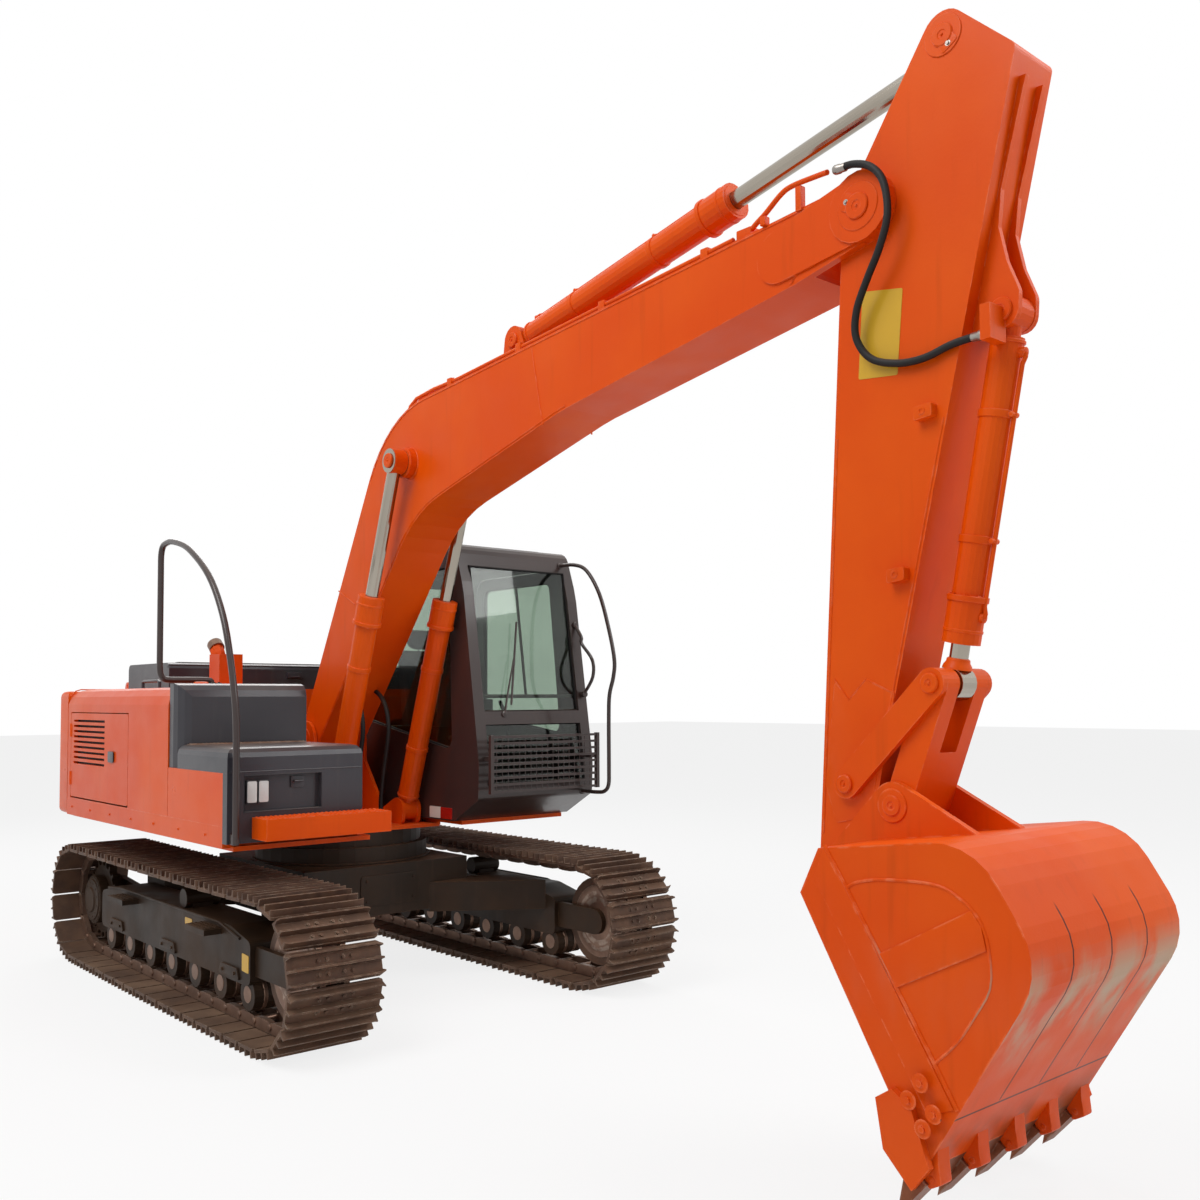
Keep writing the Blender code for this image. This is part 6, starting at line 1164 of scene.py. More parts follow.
def dress_house():
    round_counterweight()
    form = Form()
    for x in (-1.30, -1.15, -1.0, -0.85):
        form.box((x - 0.028, -0.76, 1.979), (x + 0.028, 0.76, 1.990), 0.0055)
    form.tube([(-0.712, -0.868, 1.950), (-0.7, -0.868, 1.966), (-0.7, 0.868, 1.966), (-0.712, 0.868, 1.950)], 0.006, 8)
    form.box((-0.70, -0.055, 1.885), (-0.668, 0.055, 1.925), 0.006)
    form.tube([(-0.684, -0.03, 1.90), (-0.664, -0.03, 1.895), (-0.664, 0.03, 1.895), (-0.684, 0.03, 1.90)], 0.005, 8)
    form.piece("hood_ribs", "engine_hood_lid", "cover_paint", "cover_black")

    form = Form()
    eye = rounded([(-1.86, 1.799), (-1.70, 1.799), (-1.735, 1.868), (-1.825, 1.868)], 0.03, 4)
    for y in (0.74, -0.74):
        form.prism(eye, y - 0.012, y + 0.012)
        form.collar((-1.78, 1.838), y - 0.016, y + 0.016, 0.023, 0.013, 20, 0.002)
        form.tube([(x, place, 1.801) for x, place in ((-1.87, y - 0.013), (-1.69, y - 0.013), (-1.69, y + 0.013),
                                                      (-1.87, y + 0.013))], 0.004, 6, True)
    for x in (-1.52, 0.262):
        form.tube([(x, y, z) for y, z in ((-1.222, 1.765), (-1.190, 1.802), (-1.158, 1.8115), (-0.46, 1.8115))],
                  0.004, 6)
    form.tube([(0.60, 1.232, 1.081), (-1.50, 1.232, 1.081)], 0.003, 6)
    form.tube([(1.012, -1.232, 1.087), (0.30, -1.2325, 1.087), (-1.50, -1.232, 1.087)], 0.004, 6)
    # The cap of the tank's filler and its guard ring.
    form.turned((0.10, -0.98, 1.809), UP, [(0, 0.055), (0.010, 0.053), (0.012, 0.044), (0.030, 0.042),
                                           (0.035, 0.034), (0.036, 0.0)], 30)
    form.piece("house_trim", "house", "orange_paint", "house_paint")
    for x in (-1.42, -1.05, -0.68, -0.31, 0.06, 0.43, 0.80):
        for side in (-1, 1) if x < -0.6 else (-1,):
            bolt("house", "house_paint", (x, side * 1.2345, 1.030), (0, side, 0), 0.013)

    form = Form().tube(at_y(-1.06, ((-0.62, 1.811), (-0.62, 1.848), (-0.60, 1.855), (-0.36, 1.855), (-0.34, 1.848),
                                    (-0.34, 1.811))), 0.010, 10)
    form.tube([(0.258, -1.15, 1.800), (0.262, -0.48, 1.812)], 0.006, 8)
    form.piece("cover_grip", *HOUSE_COVER)

    along = Vector((-0.80, 0, 0.60)).normalized()
    place = Vector((-0.375, -0.70, 2.09))
    form = Form().sleeve(place - along * 0.050, place + along * 0.004, 0.0475, 0.0405, 32, 0.002)
    form.piece("exhaust_tip", "house", "orange_paint", "bare_steel")
    form = Form().prism(rectangle(-1.450, 1.20, -0.785, 1.64), -1.2065, -1.2045, edge=0.0005)
    form.piece("louvre_gauze", "right_side_door_leaf", "orange_paint", "gauze")
    for side, body, x, face in ((-1, "right_side_door_leaf", -0.651, 1.2405), (1, "left_side_door_leaf", -0.79, 1.2345)):
        form = Form().prism(rounded(rectangle(x - 0.048, 1.352, x + 0.048, 1.420), 0.012), side * face,
                            side * 1.2448, edge=0.0006)
        form.piece("latch_" + body, body, "orange_paint", "cover_black")
    stud = Form().turned((0, 0, -0.001), UP, [(0, 0.0085), (0.0035, 0.0075), (0.0055, 0.0045), (0.0045, 0.002)], 8)
    rows = [((1.095 + column * 0.034, -1.085 + line * 0.0265, 1.1298), UP, AHEAD)
            for column in range(5) for line in range(27)]
    laid_out(stud, rows, "step_studs_front", *HOUSE_ORANGE)


def dress_toolbox():
    form = Form()
    for y in (-1.099, -1.035):
        form.prism(rounded(rectangle(y - 0.026, 1.205, y + 0.026, 1.315), 0.008), 1.068, 1.0735, "YZ", 0.002)
    form.piece("toolbox_lamp_lenses", "house", "cover_paint", "lamp_lens")
    form = Form().box((1.039, -0.872, 1.272), (1.052, -0.796, 1.330))
    form.tube([(x, y, 1.305) for x, y in ((1.050, -0.858), (1.064, -0.858), (1.066, -0.834), (1.064, -0.810),
                                          (1.050, -0.810))], 0.0055, 10)
    form.tube([(1.0755, y, z) for y, z in rectangle(-1.142, 1.158, -0.708, 1.347)], 0.0035, 6, True)
    form.piece("toolbox_latch", *HOUSE_COVER)
    form = Form().box((0.432, -1.19, 1.489), (0.500, -0.505, 1.494), 0.002)
    for line in range(30):
        y = -1.175 + line * 0.0225
        form.box((0.438, y - 0.0045, 1.4935), (0.494, y + 0.0045, 1.4975), 0.0015)
    form.piece("lid_tread", "toolbox_lid_leaf", "cover_paint", "bare_steel")
    form = Form()
    for y in (-1.08, -0.62):
        form.drum((0.418, y - 0.035, 1.480), (0.418, y + 0.035, 1.480), 0.0075, 14, 0.002)
    form.tube([(1.0755, -1.225, 1.366), (1.0755, -0.468, 1.366)], 0.003, 6)
    form.piece("lid_hinges", "toolbox_lid_leaf", "cover_paint", "cover_black")


RAIL_RUN = ((1.115, 1.46), (1.100, 1.68), (1.040, 1.92), (0.930, 2.18), (0.740, 2.405), (0.460, 2.575),
            (0.240, 2.637), (0.130, 2.640), (0.075, 2.622), (0.052, 2.575), (0.050, 2.500))
STAY_RUN = ((0.800, 2.616), (0.960, 2.610), (1.090, 2.560), (1.215, 2.400), (1.305, 2.170), (1.355, 1.980),
            (1.345, 1.870), (1.308, 1.760), (1.300, 1.620), (1.300, 1.300), (1.296, 1.200), (1.265, 1.158),
            (1.200, 1.144), (1.020, 1.143))
RAIL_Y = -1.205
STAY_Y = 1.155


def bend_tubes():
    """The hand rail and the mirror's stay, drawn with smooth bends."""
    run = [(1.115, RAIL_Y, 1.0)] + eased(at_y(RAIL_Y, RAIL_RUN), 5)
    run += eased([(0.05, y, z) for y, z in ((RAIL_Y, 1.93), (RAIL_Y + 0.005, 1.89), (RAIL_Y + 0.025, 1.862),
                                            (RAIL_Y + 0.07, 1.855), (-0.92, 1.855), (-0.90, 1.840))], 4)
    form = Form().tube(run, 0.0175, 16)
    form.box((0.0, -0.95, 1.8105), (0.10, -0.85, 1.838), 0.006)
    form.box((1.079, -1.2225, 1.0), (1.116, -1.1875, 1.052), 0.005)
    for y in (-0.935, -0.865):
        for x in (0.085, 0.015):
            bolt("house", "cab_black", (x, y, 1.8375), UP, 0.013)
    rail = form.piece("smooth_hand_rail", "house", "cover_paint", "cab_black", sharp=50)
    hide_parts("hand_rail")
    form = Form().tube(eased(at_y(STAY_Y, STAY_RUN), 5), 0.0125, 14)
    for x, z in (STAY_RUN[0], STAY_RUN[-1]):
        form.drum((x - 0.006, STAY_Y, z), (x + 0.022, STAY_Y, z), 0.022, 16)
    stay = form.piece("smooth_mirror_stay", *HOUSE_CAB, sharp=50)
    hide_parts("mirror_stay")


GUARD_FACE = 1.1440
GLASS_BODIES = {"cab_door_glass": "cab_door_leaf", "lower_windscreen": "house", "quarter_window": "house",
                "rear_window": "house", "right_window": "house", "windscreen": "house"}
PANE_THICKNESS = 0.010


def pane_rim(pane):
    """A mesh of the pane's outer edges alone."""
    source = frame["nodes"][pane]
    work = bmesh.new()
    work.from_mesh(source.data)
    work.transform(source.matrix_world)
    bmesh.ops.remove_doubles(work, verts=work.verts[:], dist=0.0003)
    places, edges = [], []
    for edge in work.edges:
        if len(edge.link_faces) == 2 and edge.calc_face_angle() > 1.0 and edge.calc_length() > PANE_THICKNESS:
            edges.append((len(places), len(places) + 1))
            places += [tuple(vert.co) for vert in edge.verts]
    work.free()
    mesh = bpy.data.meshes.new(pane + "_rim")
    mesh.from_pydata(places, edges, [])
    joined = bmesh.new()
    joined.from_mesh(mesh)
    bmesh.ops.remove_doubles(joined, verts=joined.verts[:], dist=0.0003)
    joined.to_mesh(mesh)
    joined.free()
    return mesh


def dress_cab():
    bend_tubes()
    for pane, body in GLASS_BODIES.items():
        grown(pane_rim(pane), "pipe_run", "gasket_" + pane, body, "cab_paint", "gasket", 50, Radius=0.010, Sides=8)
    # The wiper: its motor cap, arm and blade.
    form = Form().drum((0.985, 0.560, 1.640), (1.012, 0.560, 1.643), 0.020, 16)
    form.tube([(1.010, 0.560, 1.642), (0.998, 0.585, 1.74), (0.965, 0.66, 1.98)], [0.008, 0.006, 0.005], 8)
    form.tube([(1.003, 0.615, 1.70), (0.922, 0.715, 2.22)], 0.007, 6)
    # Seen through the windscreen: the bar across its foot and the post over it. Then the bent grip and its feet.
    form.tube([(0.935, 0.41, 1.752), (0.935, 1.165, 1.752)], 0.012, 10)
    form.tube([(0.905, 0.80, 1.752), (0.800, 0.80, 2.45)], 0.009, 8)
    form.tube(eased(at_y(1.2, ((0.915, 2.22), (0.98, 2.138), (0.985, 2.093), (1.09, 1.985), (1.094, 1.875),
                               (1.015, 1.775))), 5), 0.011, 10)
    for x, z in ((0.912, 2.222), (1.005, 1.765)):
        form.drum((x - 0.012, 1.2, z), (x + 0.016, 1.2, z), 0.021, 14)
    form.piece("cab_fittings", *HOUSE_CAB)
    form = Form().prism(rounded(rectangle(-0.46, 0.44, 0.66, 1.14), 0.06), 2.708, 2.720, "XY", 0.005)
    for y in (0.60, 0.79, 0.98):
        form.box((-0.38, y - 0.03, 2.719), (0.58, y + 0.03, 2.727))
    form.tube([(-0.50, 0.372, 2.706), (0.70, 0.372, 2.706)], 0.007, 8)
    form.piece("roof_panel", *HOUSE_CAB)
    pipes([[(GUARD_FACE, 0.40 + 0.043 * step, z) for z in (1.185, 1.505)] for step in range(19)], 0.0024,
          "guard_wires", *HOUSE_CAB, 6)
    form = Form()
    for shade, left, right in ((0, 0.640, 0.765), (1, 0.517, 0.637)):
        form.prism(rounded(rectangle(left, 0.995, right, 1.065), 0.006), 0.334, 0.3405, edge=0.0015, shade=shade)
    form.piece("cab_reflector", "house", "cab_paint", "reflector_red", "reflector_white")
    form = Form().prism(rounded(rectangle(-0.150, 1.385, -0.010, 1.455), 0.014), 1.2340, 1.2375, edge=0.001)
    form.box((-0.128, 1.2370, 1.405), (-0.040, 1.2445, 1.435), 0.003)
    form.drum((-0.024, 1.2370, 1.420), (-0.024, 1.2440, 1.420), 0.010, 16, 0.001)
    for z in (1.22, 2.32):
        form.drum((0.862, 1.238, z - 0.045), (0.862, 1.238, z + 0.045), 0.0065, 12, 0.001)
    form.piece("cab_door_handle", "cab_door_leaf", "cab_paint", "cab_black")
    form = Form().box((0.800, 0.425, 1.585), (0.850, 0.585, 1.735), 0.010)
    form.prism(rounded(rectangle(0.438, 1.602, 0.572, 1.718), 0.008), 0.7985, 0.8005, "YZ", 0.0005, 1)
    form.tube([(0.825, 0.505, 1.59), (0.835, 0.470, 1.45), (0.860, 0.430, 1.30)], 0.012, 10)
    form.piece("monitor", "house", "cab_paint", "seat_vinyl", "gasket")


# The seat: cushions blown up by a cloth simulation, their seams held in place.

BACK_LEAN = math.radians(8.2)
SEAT_Y = 0.788
SEAM_WIDTH = 0.0045
PUFF_LIMIT = 0.016
CUSHION_CELL = 0.0065
CUSHION_PRESSURE = 4.0
CLOTH_FRAMES = 20


def cushion(name, place, size, lean, seams):
    """A cushion of size (long, wide, thick): crowned faces, a welt round its edge and stitched seams."""
    long, wide, thick = size
    outline = rounded(rectangle(-long / 2, -wide / 2, long / 2, wide / 2), 0.055, 8)
    work = Form().solid([[(x * (1 - 2 * pull / long), y * (1 - 2 * pull / wide), thick * share) for x, y in outline]
                         for share, pull in ((-0.5, 0.030), (-0.36, 0.007), (0.0, 0.0), (0.36, 0.007), (0.5, 0.030))])
    mesh = bpy.data.meshes.new(name)
    work.bm.to_mesh(mesh)
    work.bm.free()
    item = linked(name, mesh)
    remesh = item.modifiers.new("even_cells", "REMESH")
    remesh.mode = "VOXEL"
    remesh.voxel_size = CUSHION_CELL
    take_evaluated(item)
    before = [vert.co.copy() for vert in item.data.vertices]
    held = item.vertex_groups.new(name="seams")
    for vert in item.data.vertices:
        x, y, z = vert.co
        at_welt = abs(z) < SEAM_WIDTH and (abs(x) > long / 2 - 0.02 or abs(y) > wide / 2 - 0.02)
        if at_welt or (z > 0 and any(abs(y - seam) < SEAM_WIDTH for seam in seams)):
            held.add([vert.index], 1.0, "REPLACE")
    cloth = item.modifiers.new("filling", "CLOTH")
    cloth.settings.use_pressure = True
    cloth.settings.uniform_pressure_force = CUSHION_PRESSURE
    cloth.settings.effector_weights.gravity = 0.0
    cloth.settings.vertex_group_mass = "seams"
    cloth.settings.tension_stiffness = cloth.settings.compression_stiffness = 18.0
    cloth.settings.bending_stiffness = 0.6
    cloth.settings.quality = 5
    cloth.collision_settings.use_collision = False
    cloth.point_cache.frame_start, cloth.point_cache.frame_end = 1, CLOTH_FRAMES
    for step in range(CLOTH_FRAMES):
        bpy.context.scene.frame_set(step + 1)
    take_evaluated(item)
    bpy.context.scene.frame_set(1)
    turn = Matrix.Translation(in_frame(place)) @ Matrix.Rotation(-lean, 4, "Y")
    for vert, start in zip(item.data.vertices, before):
        move = vert.co - start
        if move.length > PUFF_LIMIT:
            move *= PUFF_LIMIT / move.length
        vert.co = turn @ (start + move)
    for polygon in item.data.polygons:
        polygon.use_smooth = True
    item.data.materials.append(FINISHES["seat_cloth"])
    return item, [turn @ Vector((x * 1.004, y * 1.004, 0)) - SHIFT for x, y in outline]


def take_evaluated(item):
    """Puts the modified mesh in place of the plain one and drops the modifiers."""
    view = bpy.context.evaluated_depsgraph_get()
    mesh = bpy.data.meshes.new_from_object(item.evaluated_get(view))
    old = item.data
    item.modifiers.clear()
    item.data = mesh
    bpy.data.meshes.remove(old)


def furnish_seat():
    upright = math.pi / 2 + BACK_LEAN
    form = Form()
    for name, place, size, lean, seams in (
            ("seat_cushion", (0.095, SEAT_Y, 1.425), (0.50, 0.48, 0.105), 0.0, (-0.13, 0.13)),
            ("seat_back", (-0.178, SEAT_Y, 1.755), (0.64, 0.47, 0.085), upright, (-0.13, 0.13)),
            ("seat_headrest", (-0.236, SEAT_Y, 2.155), (0.13, 0.30, 0.080), upright, ())):
        item, welt = cushion(name, place, size, lean, seams)
        hung(item, "house")
        form.tube(welt, 0.004, 8, True)
    bellows = []
    for step in range(9):
        half_x, half_y = (0.20, 0.175) if step % 2 else (0.178, 0.153)
        corners = rectangle(0.10 - half_x, SEAT_Y - half_y, 0.10 + half_x, SEAT_Y + half_y)
        bellows.append([(x, y, 1.032 + 0.268 * step / 8) for x, y in rounded(corners, 0.03, 3)])
    form.solid(bellows)
    form.prism(rounded(rectangle(-0.14, 0.56, 0.33, 1.016), 0.05), 1.300, 1.378, "XY", 0.010)
    form.prism([(-0.185, 1.385), (-0.145, 1.385), (-0.215, 2.06), (-0.275, 2.06)], 0.58, 0.996, edge=0.012)
    for y in (0.728, 0.848):
        form.tube([(-0.235, y, 2.03), (-0.247, y, 2.12)], 0.006, 8)
    seat = form.piece("seat_frame", "house", "cab_paint", "seat_vinyl")
    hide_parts("operator_seat")


ARM_HOSE = ((4.16, -0.199, 3.7245), (4.24, -0.205, 3.715), (4.32, -0.207, 3.675), (4.372, -0.207, 3.60),
            (4.385, -0.205, 3.48), (4.345, -0.20, 3.37), (4.28, -0.19, 3.27), (4.225, -0.18, 3.17),
            (4.215, -0.17, 3.07), (4.27, -0.155, 2.985), (4.38, -0.148, 2.945), (4.49, -0.147, 2.94),
            (4.59, -0.142, 2.963), (4.66, -0.14, 2.97), (4.72, -0.14, 2.97))
BOOM_HOSE = ((0.335, 1.02), (0.335, 1.06), (0.335, 1.10), (0.345, 1.18), (0.365, 1.28), (0.40, 1.42),
             (0.425, 1.55), (0.40, 1.67), (0.335, 1.75), (0.25, 1.795), (0.205, 1.815))
FERRULE = ((0, 0.0160), (0.006, 0.0185), (0.026, 0.0185), (0.030, 0.0160), (0.052, 0.0160), (0.055, 0.0145))


def run_hose(name, route, radius, replaced):
    """A rubber hose along a given route, between two bodies that one joint joins."""
    line = eased(route, 6)
    hose = Form().tube(line, radius, 14).piece(name, None, "hose_rubber", "rubber", sharp=60)
    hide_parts(replaced)
    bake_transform(hose)


def fit_hoses(lines):
    run_hose("arm_ram_hose", ARM_HOSE, lines.hose_radius,
             "arm_hose")
    for label, y in (("left", 0.09), ("right", -0.09)):
        run_hose(f"boom_foot_hose_{label}", at_y(y, BOOM_HOSE), lines.hose_radius,
                 "boom_hose_" + label)
    for name, body, end, on, shift in (("hose_ferrules_boom", "boom_beam", ARM_HOSE[0], ARM_HOSE[1], -0.012),
                                       ("hose_ferrule_arm", "arm_beam", ARM_HOSE[-1], ARM_HOSE[-2], 0.012)):
        form = Form().turned(Vector(end) + Vector((shift, 0, 0)), Vector(on) - Vector(end), FERRULE, 18)
        form.piece(name, body, "orange_paint", "zinc")


def grow_bolts():
    slots = {"orange_paint": "orange_paint", "track_steel": "track_steel", "frame_black": "dark_frame_paint",
             "cab_black": "cab_paint", "zinc": "tooth_steel", "house_paint": "orange_paint"}
    for (body, finish), spots in BOLTS.items():
        rows = [(place - facing * 0.0006, facing, facing.orthogonal().normalized(), size)
                for place, facing, size in spots]
        name = f"bolts_{body}_{finish}"
        grown(point_cloud(name, rows), "bolt_heads", name, body, slots[finish], finish, 30)


# The stage.

CAMERA_PLACE = (6.8529, -3.7270, 1.7306)
CAMERA_AHEAD = (-0.755015, 0.654194, 0.044519)
CAMERA_RIGHT = (0.654694, 0.755882, -0.004256)
FLOOR_HALF = 60.0
FLOOR_GLOW = 0.82


def camera_and_floor(stage):
    ahead, right = Vector(CAMERA_AHEAD).normalized(), Vector(CAMERA_RIGHT).normalized()
    up = right.cross(ahead).normalized()
    lens = bpy.data.cameras.new("photo_camera")
    lens.lens = stage.focal_length
    lens.sensor_width = 36.0
    lens.shift_y = 0.0392
    lens.clip_end = 400.0
    camera = linked("photo_camera", lens)
    turn = Matrix((ahead.cross(up), up, -ahead)).transposed().to_4x4()
    camera.matrix_world = Matrix.Translation(in_frame(CAMERA_PLACE)) @ turn
    bpy.context.scene.camera = camera

    floor = bpy.data.meshes.new("floor")
    corners = rectangle(-FLOOR_HALF, -FLOOR_HALF, FLOOR_HALF, FLOOR_HALF)
    floor.from_pydata([(x, y, 0) for x, y in corners], [], [(0, 1, 2, 3)])
    floor.materials.append(pale_floor())
    linked("floor", floor)


def seen_directly(tree):
    """One where a ray comes from the camera, a reflection or through glass."""
    path = tree.nodes.new("ShaderNodeLightPath")
    first = maths(tree, "MAXIMUM", (path, "Is Camera Ray"), (path, "Is Glossy Ray"))
    return maths(tree, "MAXIMUM", first, (path, "Is Transmission Ray"))


def blended_output(tree, kind, share, first, second):
    """Ends a tree in a mix of two shaders."""
    both = node(tree, "ShaderNodeMixShader", {0: share, 1: (first, 0), 2: (second, 0)})
    node(tree, kind, {"Surface": (both, 0)})


def pale_floor():
    material = bpy.data.materials.new("pale_floor")
    material.use_nodes = True
    tree = material.node_tree
    tree.nodes.clear()
    matte = node(tree, "ShaderNodeBsdfDiffuse", {"Color": (0.86, 0.86, 0.86)})
    bright = node(tree, "ShaderNodeEmission", {"Strength": 1.0})
    share = maths(tree, "MULTIPLY", seen_directly(tree), FLOOR_GLOW)
    blended_output(tree, "ShaderNodeOutputMaterial", share, matte, bright)
    return material


def light_stage(stage):
    world = bpy.context.scene.world = bpy.data.worlds.new("studio")
    world.use_nodes = True
    tree = world.node_tree
    tree.nodes.clear()
    fill, white = [node(tree, "ShaderNodeBackground", {"Color": (1, 1, 1), "Strength": strength})
                   for strength in (stage.fill, 1.0)]
    blended_output(tree, "ShaderNodeOutputWorld", seen_directly(tree), fill, white)
    for label, place, power, size, aim in (
            ("key_light", (2.5, -6.5, 10.0), stage.key, 6.0, (0.8, 0.0, 1.0)),
            ("side_light", (8.5, 4.0, 7.5), stage.key * 0.55, 5.0, (2.0, 0.0, 1.2)),
            ("back_light", (-7.5, 2.5, 7.0), stage.key * 0.35, 5.0, (0.0, 0.0, 1.5))):
        lamp = bpy.data.lights.new(label, "AREA")
        lamp.energy = power
        lamp.size = size
        item = linked(label, lamp)
        item.location = in_frame(place)
        item.rotation_euler = (in_frame(aim) - in_frame(place)).to_track_quat("-Z", "Y").to_euler()
    bpy.context.scene.view_settings.view_transform = "Standard"


# The add-on: its settings, one operator for each group of pieces, and its panel.

class ExcavatorPaint(bpy.types.PropertyGroup):
    """The colours, the worn and highlit edges and the dust of the machine's finishes; on the orange finishes the edge
    colour is a painted highlight.
    """
    orange: bpy.props.FloatVectorProperty(
        name="Orange Paint", description="Colour of the painted steel", subtype="COLOR", size=3,
        default=colour(222, 76, 2), min=0.0, max=1.0)
    glass: bpy.props.FloatVectorProperty(
        name="Glass Tint", description="Colour of the cab's glass", subtype="COLOR", size=3,
        default=colour(188, 202, 190), min=0.0, max=1.0)
    # This sets how strongly the painted highlight shows along the orange finishes' edges.
    wear_and_highlight: bpy.props.FloatProperty(
        name="Edge Wear", description="How much paint the edges have lost", subtype="FACTOR", default=0.45,
        min=0.0, max=1.0)
    dust: bpy.props.FloatProperty(
        name="Dust", description="How much dust and mud lies on the machine", subtype="FACTOR", default=0.8,
        min=0.0, max=1.0)


class ExcavatorTrack(bpy.types.PropertyGroup):
    """The tracks' shoes."""
    shoe_count: bpy.props.IntProperty(
        name="Shoes", description="Shoes of one track", default=44, min=30, max=60)
    shoe_width: bpy.props.FloatProperty(
        name="Shoe Width", description="Width of one shoe", unit="LENGTH", default=0.499, min=0.3, max=0.5)
    grouser: bpy.props.FloatProperty(
        name="Grouser Height", description="Height of a shoe's three bars", unit="LENGTH", default=0.033,
        min=0.01, max=0.034)


class ExcavatorLines(bpy.types.PropertyGroup):
    """The hydraulic hoses and pipes."""
    hose_radius: bpy.props.FloatProperty(
        name="Hose Radius", description="Half of a hose's thickness", unit="LENGTH", default=0.014, min=0.008,
        max=0.02)
    pipe_radius: bpy.props.FloatProperty(
        name="Pipe Radius", description="Half of a steel pipe's thickness", unit="LENGTH", default=0.011,
        min=0.006, max=0.016)


class ExcavatorStage(bpy.types.PropertyGroup):
    """The camera and the lamps."""
    focal_length: bpy.props.FloatProperty(
        name="Focal Length", description="The photograph's focal length on a 36 mm sensor", default=35.22,
        min=10.0, max=200.0)
    key: bpy.props.FloatProperty(
        name="Key Light", description="Power of the main lamp", unit="POWER", default=640.0, min=0.0)
    fill: bpy.props.FloatProperty(
        name="Fill Light", description="Strength of the even light from all round", default=0.36, min=0.0)


class EXCAVATOR_OT_paint(bpy.types.Operator):
    """Mix every finish and put one on each CAD node"""
    bl_idname = "excavator.paint"
    bl_label = "Paint the CAD Nodes"

    def execute(self, context):
        paint_nodes(context.scene.excavator_paint)
        return {"FINISHED"}


class EXCAVATOR_OT_tracks(bpy.types.Operator):
    """Lay both tracks' shoes and chains"""
    bl_idname = "excavator.tracks"
    bl_label = "Tracks"

    def execute(self, context):
        lay_tracks(context.scene.excavator_track)
        return {"FINISHED"}


class EXCAVATOR_OT_undercarriage(bpy.types.Operator):
    """Add rollers, motor covers, steps, patches and the centre frame's trim"""
    bl_idname = "excavator.undercarriage"
    bl_label = "Undercarriage"

    def execute(self, context):
        roll_rollers()
        trim_centre_frame()
        return {"FINISHED"}


class EXCAVATOR_OT_pins(bpy.types.Operator):
    """Set the pin ends at every pivot"""
    bl_idname = "excavator.pins"
    bl_label = "Pins"

    def execute(self, context):
        set_pins()
        return {"FINISHED"}


class EXCAVATOR_OT_rams(bpy.types.Operator):
    """Add glands, bands, ports and pipes to the rams"""
    bl_idname = "excavator.rams"
    bl_label = "Rams"

    def execute(self, context):
        dress_rams(context.scene.excavator_lines)
        return {"FINISHED"}


class EXCAVATOR_OT_boom(bpy.types.Operator):
    """Add welds, clamps and pipes to the boom"""
    bl_idname = "excavator.boom"
    bl_label = "Boom"

    def execute(self, context):
        dress_boom(context.scene.excavator_lines)
        return {"FINISHED"}


class EXCAVATOR_OT_arm(bpy.types.Operator):
    """Add welds, brackets and the blank plate to the arm"""
    bl_idname = "excavator.arm"
    bl_label = "Arm"

    def execute(self, context):
        dress_arm()
        return {"FINISHED"}


class EXCAVATOR_OT_bucket(bpy.types.Operator):
    """Add side plates, bolts and tooth adapters to the bucket"""
    bl_idname = "excavator.bucket"
    bl_label = "Bucket"

    def execute(self, context):
        dress_bucket()
        return {"FINISHED"}


class EXCAVATOR_OT_house(bpy.types.Operator):
    """Add hood ribs, lifting eyes, studs and grips to the house"""
    bl_idname = "excavator.house"
    bl_label = "House"

    def execute(self, context):
        dress_house()
        return {"FINISHED"}


class EXCAVATOR_OT_toolbox(bpy.types.Operator):
    """Add lamp lenses, latch and lid tread to the toolbox"""
    bl_idname = "excavator.toolbox"
    bl_label = "Toolbox"

    def execute(self, context):
        dress_toolbox()
        return {"FINISHED"}


class EXCAVATOR_OT_cab(bpy.types.Operator):
    """Add gaskets, wiper, guard wires, handle and monitor to the cab"""
    bl_idname = "excavator.cab"
    bl_label = "Cab"

    def execute(self, context):
        dress_cab()
        return {"FINISHED"}


class EXCAVATOR_OT_seat(bpy.types.Operator):
    """Make the seat's cushions and frame"""
    bl_idname = "excavator.seat"
    bl_label = "Seat"

    def execute(self, context):
        furnish_seat()
        return {"FINISHED"}


class EXCAVATOR_OT_hoses(bpy.types.Operator):
    """Lay the arm's and boom's hoses"""
    bl_idname = "excavator.hoses"
    bl_label = "Hoses"

    def execute(self, context):
        fit_hoses(context.scene.excavator_lines)
        return {"FINISHED"}


class EXCAVATOR_OT_bolts(bpy.types.Operator):
    """Grow all the bolts that the other pieces asked for"""
    bl_idname = "excavator.bolts"
    bl_label = "Bolts"

    def execute(self, context):
        grow_bolts()
        return {"FINISHED"}


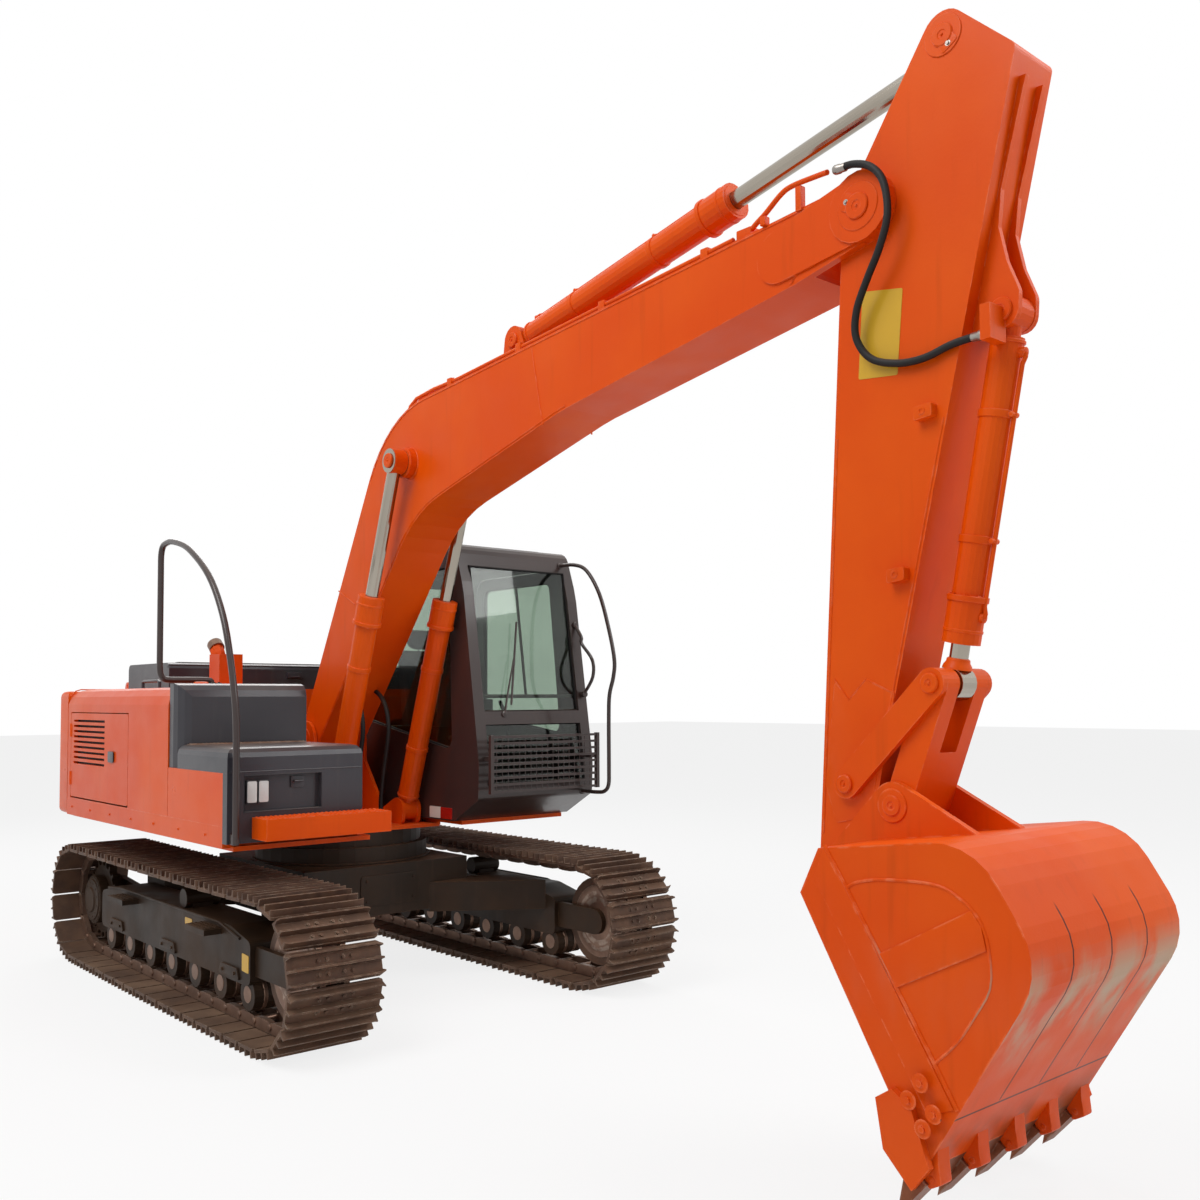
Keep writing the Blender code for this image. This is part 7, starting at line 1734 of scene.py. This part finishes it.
class EXCAVATOR_OT_stage(bpy.types.Operator):
    """Set the camera at the photograph's view, with the floor and soft light"""
    bl_idname = "excavator.stage"
    bl_label = "Stage"

    def execute(self, context):
        camera_and_floor(context.scene.excavator_stage)
        light_stage(context.scene.excavator_stage)
        return {"FINISHED"}


STEPS = (
    EXCAVATOR_OT_paint, EXCAVATOR_OT_tracks, EXCAVATOR_OT_undercarriage, EXCAVATOR_OT_pins,
    EXCAVATOR_OT_rams, EXCAVATOR_OT_boom, EXCAVATOR_OT_arm, EXCAVATOR_OT_bucket, EXCAVATOR_OT_house,
    EXCAVATOR_OT_toolbox, EXCAVATOR_OT_cab, EXCAVATOR_OT_seat, EXCAVATOR_OT_hoses, EXCAVATOR_OT_bolts,
    EXCAVATOR_OT_stage,
)
SETTINGS = (
    ("excavator_paint", ExcavatorPaint),
    ("excavator_track", ExcavatorTrack),
    ("excavator_lines", ExcavatorLines),
    ("excavator_stage", ExcavatorStage),
)


class EXCAVATOR_PT_dressing(bpy.types.Panel):
    """The excavator's settings and steps"""
    bl_idname = "EXCAVATOR_PT_dressing"
    bl_label = "Excavator Dressing"
    bl_space_type = "VIEW_3D"
    bl_region_type = "UI"
    bl_category = "Excavator"

    def draw(self, context):
        for setting, group in SETTINGS:
            box = self.layout.box()
            for entry in group.__annotations__:
                box.prop(getattr(context.scene, setting), entry)
        for step in STEPS:
            self.layout.operator(step.bl_idname)


def register():
    for _, group in SETTINGS:
        bpy.utils.register_class(group)
    for kind in STEPS + (EXCAVATOR_PT_dressing,):
        bpy.utils.register_class(kind)
    for setting, group in SETTINGS:
        setattr(bpy.types.Scene, setting, bpy.props.PointerProperty(type=group))


def unregister():
    for setting, _ in SETTINGS:
        delattr(bpy.types.Scene, setting)
    for kind in (EXCAVATOR_PT_dressing,) + STEPS:
        bpy.utils.unregister_class(kind)
    for _, group in SETTINGS:
        bpy.utils.unregister_class(group)


def main():
    register()
    for step in STEPS:
        getattr(bpy.ops.excavator, step.bl_idname.split(".")[1])()


if __name__ == "__main__":
    main()
